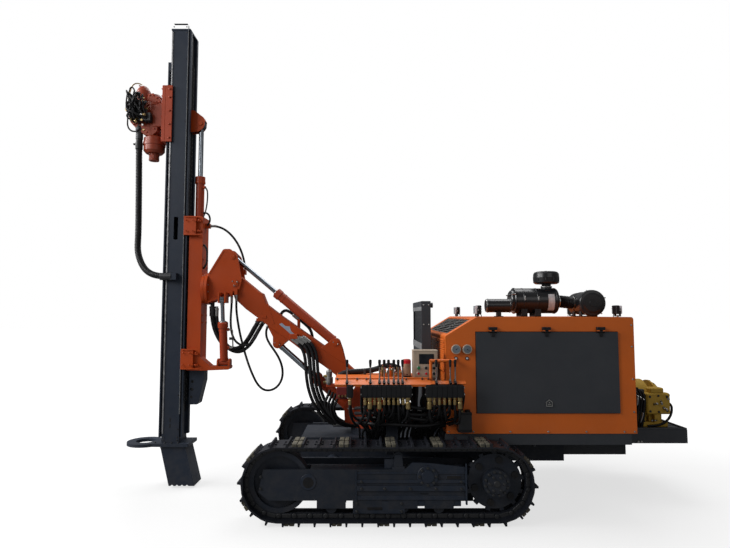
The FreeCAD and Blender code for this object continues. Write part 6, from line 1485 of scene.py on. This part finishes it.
links = [((MAST_BACK + 0.012, y, 0.9 + 0.05 * number), (0, 0, 1), (0, 1, 0), 1.0) for y in (-0.03, 0.03)
         for number in range(int((4.62 - 0.9) / 0.05)) if not 1.18 < 0.9 + 0.05 * number < 2.9]
set_out("feed_chain", chain_master(), links, CAST, "mast", size=0.045)

# %% Cover of the push cylinder's lug, and the mast's bolts
lug = bmesh.new()
for side in (-1, 1):
    profile(lug, [(-2.2145, 4.052), (-2.16, 4.049), (-2.062, 3.975), (-2.04, 3.935), (-2.043, 3.88),
                  (-2.062, 3.845), (-2.11, 3.812), (-2.2145, 3.806)], side * 0.0395, side * 0.0425)
    bar(lug, (-2.087, side * 0.042, 3.905), (-2.087, side * 0.052, 3.905), 0.026, sides=24, edge=0.002)
profile(lug, [(-2.2145, 4.0505), (-2.16, 4.0475), (-2.062, 3.9735), (-2.04, 3.9335), (-2.037, 3.9345),
              (-2.059, 3.9765), (-2.158, 4.0515), (-2.2145, 4.0545)], -0.042, 0.042)
show("push_lug_cover", lug, [BOOM_ORANGE], "mast")
mast_spots = []
for side in (-1, 1):
    mast_spots += facing_out(side, MAST_HALF,
                             [(x, z) for x in (-2.375, -2.235) for z in (4.965, 4.9, 0.52, 0.49)])
bolts("mast_bolts", mast_spots, "mast", 0.014, CAST)

# %% [markdown]
# ## Rotary head
# The head slides on the mast's rails. A plate bolted through to the slides carries a cast case, a drilling
# spindle in its bell below, and a hydraulic motor that stands ahead of it. Fittings and short hoses crowd
# round the motor.

# %% Carriage plate
HEAD_X, MOTOR_X = -2.605, -2.741
cart = bmesh.new()
block(cart, (-2.479, -0.15, 3.667), (-2.44, 0.15, 4.294), edge=0.004)
for side in (-1, 1):
    for inner, outer, rear, foot, top in ((0.1345, 0.15, -2.366, 3.667, 4.294),
                                          (0.03, 0.1345, -2.404, 3.7, 4.26)):
        block(cart, (-2.442, side * inner, foot), (rear, side * outer, top), edge=0.003)
carriage = show("carriage_plate", cart, [RED_ORANGE], "carriage")
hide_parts("carriage")
cart_bolts = [((-2.479, y, z), (-1, 0, 0)) for z in (4.262, 4.18, 4.1, 3.95, 3.82, 3.71)
              for y in (-0.125, 0.125)]
for side in (-1, 1):
    cart_bolts += facing_out(side, 0.15, [(-2.395, z) for z in (3.71, 3.86, 4.01, 4.16, 4.25)])
bolts("carriage_bolts", cart_bolts, "carriage", 0.026, RED_ORANGE)

# %% Gear case and bell
head = bmesh.new()
turned(head, (HEAD_X, 0, 3.826), (HEAD_X, 0, 4.235),
       [(0, 0.062), (0.02, 0.078), (0.3, 0.078), (0.34, 0.098), (0.64, 0.098), (0.66, 0.108), (0.74, 0.108),
        (0.76, 0.074), (0.93, 0.07), (1, 0.05)], sides=40)
block(head, (-2.6, -0.098, 3.85), (-2.47, 0.098, 4.105), edge=0.008)
profile(head, [(-2.665, 4.128), (-2.664, 4.222), (-2.6, 4.232), (-2.572, 4.2), (-2.545, 4.192), (-2.52, 4.15),
               (-2.479, 4.108), (-2.479, 4.06), (-2.6, 4.06)], -0.085, 0.06, edge=0.004)
profile(head, [(-2.872, 3.99), (-2.845, 3.905), (-2.78, 3.835), (-2.69, 3.762), (-2.61, 3.742), (-2.545, 3.8),
               (-2.545, 4.01), (-2.64, 4.04), (-2.85, 4.04)], -0.088, 0.088, edge=0.006)
turned(head, (HEAD_X, 0, 3.572), (HEAD_X, 0, 3.772),
       [(0, 0.07), (0.0, 0.088), (0.14, 0.112), (0.42, 0.112), (0.44, 0.118), (0.62, 0.118), (0.64, 0.112),
        (0.84, 0.112), (1, 0.062)], sides=44)
turned(head, (HEAD_X, 0, 3.764), (HEAD_X, 0, 3.836), [(0, 0.058), (1, 0.058)], sides=32)
case = show("head_case", head, [HEAD_RED], "carriage")
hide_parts("rotary_head")

# %% Motor
motor = bmesh.new()
turned(motor, (MOTOR_X, 0, 3.93), (MOTOR_X, 0, 4.346),
       [(0, 0.082), (0.1, 0.094), (0.12, 0.104), (0.22, 0.104), (0.24, 0.084), (0.5, 0.084), (0.51, 0.09),
        (0.55, 0.09), (0.56, 0.081), (0.74, 0.08), (0.84, 0.073), (0.92, 0.056), (0.97, 0.034), (1, 0.01)],
       sides=40)
motor_piece = show("motor_dome_and_body", motor, [HEAD_RED], "carriage")
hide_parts("head_motor")

# %% Bolts of the head
head_bolts = []
for x, z, radius, count, start, way in ((MOTOR_X, 4.022, 0.095, 8, 0.2, 1), (HEAD_X, 3.644, 0.103, 8, 0.2, -1),
                                        (HEAD_X, 4.129, 0.092, 10, 0.1, 1)):
    head_bolts += [(spot, (0, 0, way)) for spot in ring_of((x, 0, z), radius, count, "xy", start)]
head_bolts += [((MOTOR_X + dx, -0.03 + 0.03 * k, 4.333), (0, 0, 1))
               for k, dx in enumerate((-0.035, -0.01, 0.015))]
head_bolts += facing_out(-1, 0.086, [(-2.64, 4.205), (-2.6, 4.205), (-2.56, 4.175), (-2.53, 4.13)])
head_bolts += facing_out(-1, 0.088, [(-2.8, 3.88), (-2.74, 3.83), (-2.66, 3.79), (-2.58, 3.83), (-2.58, 3.96)])
bolts("head_bolts", head_bolts, "carriage", 0.021, RED_ORANGE)

# %% Valve block, knobs and short hoses on the head
crowd = bmesh.new()
block(crowd, (-2.838, -0.15, 3.955), (-2.7, -0.086, 4.085), edge=0.005)
block(crowd, (-2.7, -0.15, 3.9), (-2.6, -0.09, 3.99), finish=2, edge=0.004)
block(crowd, (-2.865, -0.12, 4.085), (-2.8, -0.04, 4.175), edge=0.005)
for z in (4.1, 4.034):
    bar(crowd, (-2.838, -0.118, z), (-2.868, -0.118, z), 0.011, finish=1, sides=12)
    turned(crowd, (-2.848, -0.118, z), (-2.8835, -0.118, z),
           [(0, 0.018), (0.3, 0.025), (0.8, 0.027), (1, 0.018)], finish=0, sides=16)
for number in range(13):
    turn = number * 2.399
    start = Vector((-2.765 + 0.052 * cos(turn), -0.112, 4.035 + 0.08 * sin(turn)))
    end = Vector((-2.7 - 0.1 * cos(turn * 0.7), -0.105, 3.9 + 0.07 * sin(turn * 1.3)))
    high = Vector((min(-2.68, max(-2.862, start.x - 0.085 * sin(turn))), -0.175 - 0.03 * (number % 2),
                   4.13 + 0.13 * sin(turn * 0.5)))
    low = Vector((min(-2.66, max(-2.862, end.x - 0.06)), -0.175, 3.98 + 0.05 * cos(turn)))
    pipe(crowd, [start, start + Vector((0, -0.035, 0)), high, (high + low) / 2 + Vector((0, -0.02, 0)), low,
                 end + Vector((0, -0.02, 0)), end], 0.0085 if number % 3 else 0.011)
pipe(crowd, [(-2.8, -0.08, 4.175), (-2.805, -0.08, 4.265), (-2.845, -0.08, 4.31), (-2.868, -0.085, 4.265),
             (-2.868, -0.09, 4.1), (-2.866, -0.1, 3.98)], 0.0085)
pipe(crowd, [(-2.735, -0.07, 4.33), (-2.775, -0.072, 4.352), (-2.83, -0.075, 4.335), (-2.858, -0.08, 4.27),
             (-2.862, -0.09, 4.19)], 0.0065, finish=3)
pipe(crowd, [(-2.866, -0.095, 4.0), (-2.87, -0.1, 3.92), (-2.864, -0.105, 3.845), (-2.825, -0.108, 3.795),
             (-2.77, -0.106, 3.79), (-2.74, -0.1, 3.812), (-2.735, -0.09, 3.84)], 0.0085)
for number in range(5):
    bar(crowd, (-2.71 + 0.012 * number, -0.15, 4.01 - 0.055 * number),
        (-2.71 + 0.012 * number, -0.172, 4.01 - 0.055 * number), 0.012, finish=1 if number % 2 else 3, sides=6)
show("head_hoses_and_valves", crowd, [RUBBER, ZINC, CAST, BRASS], "carriage")

# %% Fittings of the head
fit = []
for number in range(16):
    turn = number * 2.399
    place = (max(-2.822, -2.755 + 0.075 * cos(turn)), -0.1 - 0.02 * (number % 3), 4.04 + 0.115 * sin(turn))
    fit.append((place, (cos(turn), -0.9, sin(turn)), (1, 0.1, 0.2), 0.05 + 0.01 * (number % 3)))
set_out("head_fittings", fitting_master(), fit[:8], BRASS, "carriage")
set_out("head_fittings_dark", fitting_master(), fit[8:], CAST, "carriage")

# %% Drag hose collar
collar = bmesh.new()
turned(collar, (-2.75, -0.06, 3.6), (-2.75, -0.06, 3.86),
       [(0, 0.034), (0.04, 0.039), (0.3, 0.039), (0.34, 0.034), (0.9, 0.036), (1, 0.036)], sides=24)
block(collar, (-2.812, -0.072, 3.655), (-2.78, -0.048, 3.672), edge=0.002)
show("drag_hose_collar", collar, [RUBBER], "carriage")

# %% Rings and flats of the spindle
rings = bmesh.new()
for z in (3.505, 3.552):
    turned(rings, (HEAD_X, 0, z - 0.005), (HEAD_X, 0, z + 0.005),
           [(0, 0.054), (0.3, 0.0562), (0.7, 0.0562), (1, 0.054)], sides=36)
for y in (-1, 1):
    block(rings, (HEAD_X - 0.018, y * 0.0535, 3.515), (HEAD_X + 0.018, y * 0.0555, 3.545))
show("spindle_rings", rings, [HEAD_RED], "spindle")

# %% [markdown]
# ## Feed frame and guide ring
# The channel behind the mast is closed by clamps and plates with bolts. The ring below guides the drill
# pipe. These are small boxes and turned parts at the places where the solid frame has its plates.

# %% Clamps, gland and pipes on the feed frame
feed = bmesh.new()
for z in (2.65, 2.842, 1.23, 1.432):
    block(feed, (-2.203, -0.1685, z - 0.006), (-2.012, -0.1645, z + 0.006), edge=0.001)
for z in (2.35, 2.05, 1.75):
    block(feed, (-2.02, -0.105, z - 0.055), (-2.0125, 0.105, z + 0.055), edge=0.002)
turned(feed, (-2.087, 0, 3.236), (-2.087, 0, 3.256), [(0, 0.056), (1, 0.056)], sides=36)
for x, z in ((-2.085, 1.007), (-2.094, 0.927)):
    bar(feed, (x - 0.018, -0.0695, z), (x - 0.018, -0.0725, z), 0.012, finish=1, sides=16)
for number in range(3):
    block(feed, (-1.99 + 0.075 * number, -0.1685, 1.222), (-1.985 + 0.075 * number, -0.165, 1.25))
pipe(feed, [(-2.03, -0.06, 2.9), (-1.995, -0.06, 2.905), (-1.96, -0.055, 2.87), (-1.955, -0.05, 2.8),
            (-1.985, -0.045, 2.765)], 0.01, finish=2)
pipe(feed, [(-2.012, -0.08, 2.55), (-1.975, -0.085, 2.52), (-1.968, -0.085, 2.42), (-1.975, -0.085, 2.33),
            (-2.012, -0.08, 2.29)], 0.011, finish=2)
show("feed_frame_trim", feed, [BOOM_ORANGE, BLACK, RUBBER], "slide_frame")
feed_spots = []
for side in (-1, 1):
    feed_spots += facing_out(side, 0.167, [(x, z) for x in (-2.18, -2.11, -2.045)
                                           for z in (2.69, 2.805, 1.27, 1.395)])
feed_spots += [((-2.0145, y, z), (1, 0, 0)) for y in (-0.075, 0.075) for z in (2.39, 2.31, 1.79, 1.71)]
bolts("feed_frame_bolts", feed_spots, "slide_frame", 0.02, BOOM_ORANGE)

# %% Rod gland, ports and pipe of the push cylinder
push = bmesh.new()
capped(push, (-2.087, 0, 3.306), (-2.087, 0, 3.316), 0.04, 0.034, finish=1, sides=28, share=0.6)
for z in (2.07, 3.19):
    capped(push, (-2.045, -0.02, z), (-2.018, -0.032, z), 0.016, 0.012, sides=12)
pipe(push, [(-2.024, -0.03, 3.19), (-2.0, -0.034, 3.17), (-1.992, -0.036, 3.1), (-1.996, -0.04, 3.0),
            (-2.012, -0.045, 2.9), (-2.03, -0.06, 2.85)], 0.008, finish=2)
show("push_cylinder_trim", push, [RED_ORANGE, ZINC, RUBBER], "slide_frame")

# %% Bolts of the guide ring
ring_bolts = [((x, side * 0.128, 0.457), (0, 0, 1)) for side in (-1, 1) for x in (-2.36, -2.29, -2.22)]
ring_bolts += [((x, y, 0.457), (0, 0, 1)) for x, y in ((-2.47, -0.1), (-2.47, 0.1), (-2.44, 0.0))]
bolts("guide_ring_bolts", ring_bolts, "mast", 0.022, CAST)

# %% [markdown]
# ## Rear
# The compressor's air end stands on the rear platform, half under the cabinet's back wall. Its cover is
# bolted all round, oil pipes and hoses run down to the deck, and folded edges stiffen the platform.

# %% Covers and castings of the air end
air = bmesh.new()
AIR_END_YZ = (-0.13, 0.9)
turned(air, (2.69, *AIR_END_YZ), (2.745, *AIR_END_YZ), [(0, 0.214), (0.3, 0.214), (0.34, 0.196), (1, 0.19)],
       finish=0, sides=40)
capped(air, (2.3, *AIR_END_YZ), (2.36, *AIR_END_YZ), 0.221, 0.212, sides=40, share=0.85)
for corner, other, edge in (((2.56, -0.385, 0.8), (2.795, -0.3, 1.01), 0.012),
                            ((2.6, -0.372, 1.005), (2.74, -0.25, 1.06), 0.01),
                            ((2.52, -0.372, 0.674), (2.77, -0.3, 0.72), 0.006),
                            ((2.64, -0.366, 0.7), (2.7, -0.31, 0.81), 0.004)):
    block(air, corner, other, edge=edge)
for z in (0.985, 0.945, 0.905):
    bar(air, (2.79, -0.345, z), (2.806, -0.345, z), 0.014, finish=2, sides=6)
bar(air, (2.785, -0.33, 0.955), (2.77, -0.395, 0.955), 0.01, finish=3, sides=10)
pipe(air, [(2.8, -0.345, 0.905), (2.822, -0.355, 0.89), (2.815, -0.365, 0.82), (2.785, -0.375, 0.765),
           (2.73, -0.38, 0.715), (2.66, -0.38, 0.69), (2.56, -0.38, 0.685)], 0.012, finish=1, sides=10)
for number in range(5):
    x = 2.395 + 0.027 * number
    pipe(air, [(x, -0.352, 1.06 - 0.02 * (number % 3)), (x + 0.015, -0.392, 1.02), (x + 0.028, -0.4, 0.95),
               (x + 0.012, -0.398, 0.85), (x + 0.006 * (number - 2), -0.392, 0.76), (x - 0.01, -0.385, 0.679)],
         0.011 if number % 2 else 0.014, finish=1)
pipe(air, [(2.455, -0.35, 0.995), (2.462, -0.402, 0.985), (2.455, -0.408, 0.93), (2.45, -0.402, 0.885),
           (2.452, -0.36, 0.87)], 0.009, finish=3)
pipe(air, [(2.505, -0.365, 0.85), (2.512, -0.4, 0.835), (2.5, -0.402, 0.775), (2.485, -0.392, 0.725)], 0.008,
     finish=3)
block(air, (2.395, -0.372, 0.83), (2.545, -0.33, 1.045), finish=2, edge=0.006)
capped(air, (2.47, -0.13, 1.118), (2.47, -0.13, 1.15), 0.02, 0.014, finish=3, sides=12, share=0.6)
for number in range(4):
    bar(air, (2.6 + 0.016 * number, -0.384, 0.742 + 0.005 * (number % 2)),
        (2.6 + 0.016 * number, -0.395, 0.742), 0.007, finish=3, sides=8)
show("air_end_pipes", air, [OCHRE, RUBBER, CAST, STEEL], "base")

# %% Bolts and fittings of the air end
air_spots = [(spot, (1, 0, 0)) for spot in ring_of((2.706, *AIR_END_YZ), 0.204, 16, "yz", 0.1)]
air_spots += [(spot, (1, 0, 0)) for spot in ring_of((2.36, *AIR_END_YZ), 0.215, 14, "yz")]
air_spots += facing_out(-1, 0.385, [(2.59, 0.975), (2.59, 0.83), (2.675, 0.985), (2.76, 0.975), (2.76, 0.835),
                                    (2.675, 0.825)])
air_spots += [((x, -0.34, 0.72), (0, 0, 1)) for x in (2.545, 2.745)]
bolts("air_end_bolts", air_spots, "base", 0.024, CAST)
air_fits = [((2.41 + 0.027 * k, -0.372, 1.035 - 0.015 * k), (0, -0.8, -0.6)) for k in range(5)]
air_fits += [((2.63, -0.385, 0.9), (0.2, -1, 0.3)), ((2.7, -0.385, 0.93), (-0.3, -1, -0.5)),
             ((2.72, -0.385, 0.87), (0.5, -1, -0.6))]
fittings("air_end_fittings", air_fits, "base", 0.05, ZINC)

# %% Platform edges and treads
deck = bmesh.new()
for side in (-1, 1):
    block(deck, (2.33, side * 0.488, 0.6735), (2.884, side * 0.4995, 0.69), edge=0.002)
block(deck, (2.872, -0.499, 0.6735), (2.8845, 0.499, 0.69), edge=0.002)
for x in (2.4, 2.43):
    bar(deck, (x, -0.499, 0.56), (x, -0.512, 0.56), 0.011, finish=1, sides=6)
for number in range(9):
    y = -0.4 + 0.1 * number
    block(deck, (2.76, y - 0.002, 0.674), (2.865, y + 0.002, 0.6765))
show("platform_edges", deck, [CHARCOAL, ZINC], "base")

# %% [markdown]
# ## Studio
# The rig is shown on a plain white floor in even light. Broad soft lamps ahead of the mast and above give
# the bright front faces, a weak one lights the near side and the world does the rest. The floor is white to
# the camera and still takes the shadow.

# %% White floor
def white_floor():
    """Nearly white to the camera and still shaded; its glow grows with the distance from the rig."""
    finish, tree, shader, place = new_finish("white floor")
    settle(shader, {"Base Color": (0.22, 0.22, 0.22, 1.0), "Roughness": 0.85, "Specular IOR Level": 0.0,
                    "Emission Color": (1.0, 1.0, 1.0, 1.0)})
    away = tree.nodes.new("ShaderNodeVectorMath")
    away.operation = "LENGTH"
    tree.links.new(place.outputs["Object"], away.inputs[0])
    path = tree.nodes.new("ShaderNodeLightPath")
    glow = tree.nodes.new("ShaderNodeMath")
    glow.operation = "MULTIPLY"
    tree.links.new(path.outputs["Is Camera Ray"], glow.inputs[0])
    tree.links.new(ramp(tree, away.outputs["Value"], 2.5, 7.0, 0.7, 1.0), glow.inputs[1])
    tree.links.new(glow.outputs[0], shader.inputs["Emission Strength"])
    return finish


floor_mesh = bmesh.new()
bmesh.ops.create_grid(floor_mesh, x_segments=1, y_segments=1, size=60.0)
floor_data = bpy.data.meshes.new("floor")
floor_mesh.to_mesh(floor_data)
floor_mesh.free()
floor_data.materials.append(white_floor())
floor = placed("floor", floor_data)
floor.location = (0, 0, -0.0005)

# %% World
world = bpy.data.worlds.new("studio")
bpy.context.scene.world = world
world.use_nodes = True
sky = world.node_tree
plain = sky.nodes["Background"]
plain.inputs["Color"].default_value = (1, 1, 1, 1)
rays = sky.nodes.new("ShaderNodeLightPath")
level = settle(sky.nodes.new("ShaderNodeMapRange"), {"To Min": 0.2, "To Max": 1.0})
sky.links.new(rays.outputs["Is Camera Ray"], level.inputs["Value"])
sky.links.new(level.outputs["Result"], plain.inputs["Strength"])

# %% Soft lamps
def soft_lamp(name, place, target, size, power):
    """A broad lamp that looks at a point."""
    data = bpy.data.lights.new(name, "AREA")
    data.shape = "RECTANGLE"
    data.size, data.size_y = size
    data.energy = power
    lamp = placed(name, data)
    lamp.location = place
    lamp.rotation_euler = (Vector(target) - Vector(place)).to_track_quat("-Z", "Y").to_euler()


soft_lamp("front lamp", (-9.5, -0.5, 6.5), (-0.5, 0, 1.6), (5.0, 5.0), 950)
soft_lamp("near front lamp", (-8.0, -5.5, 6.0), (-0.5, 0, 1.6), (4.0, 4.0), 420)
soft_lamp("top lamp", (0.5, 2.5, 9.0), (0, 0, 1.0), (7.0, 5.0), 520)
soft_lamp("side lamp", (4.0, -9.0, 5.0), (0.5, 0, 1.2), (6.0, 4.0), 70)
print("lamps and floor set")
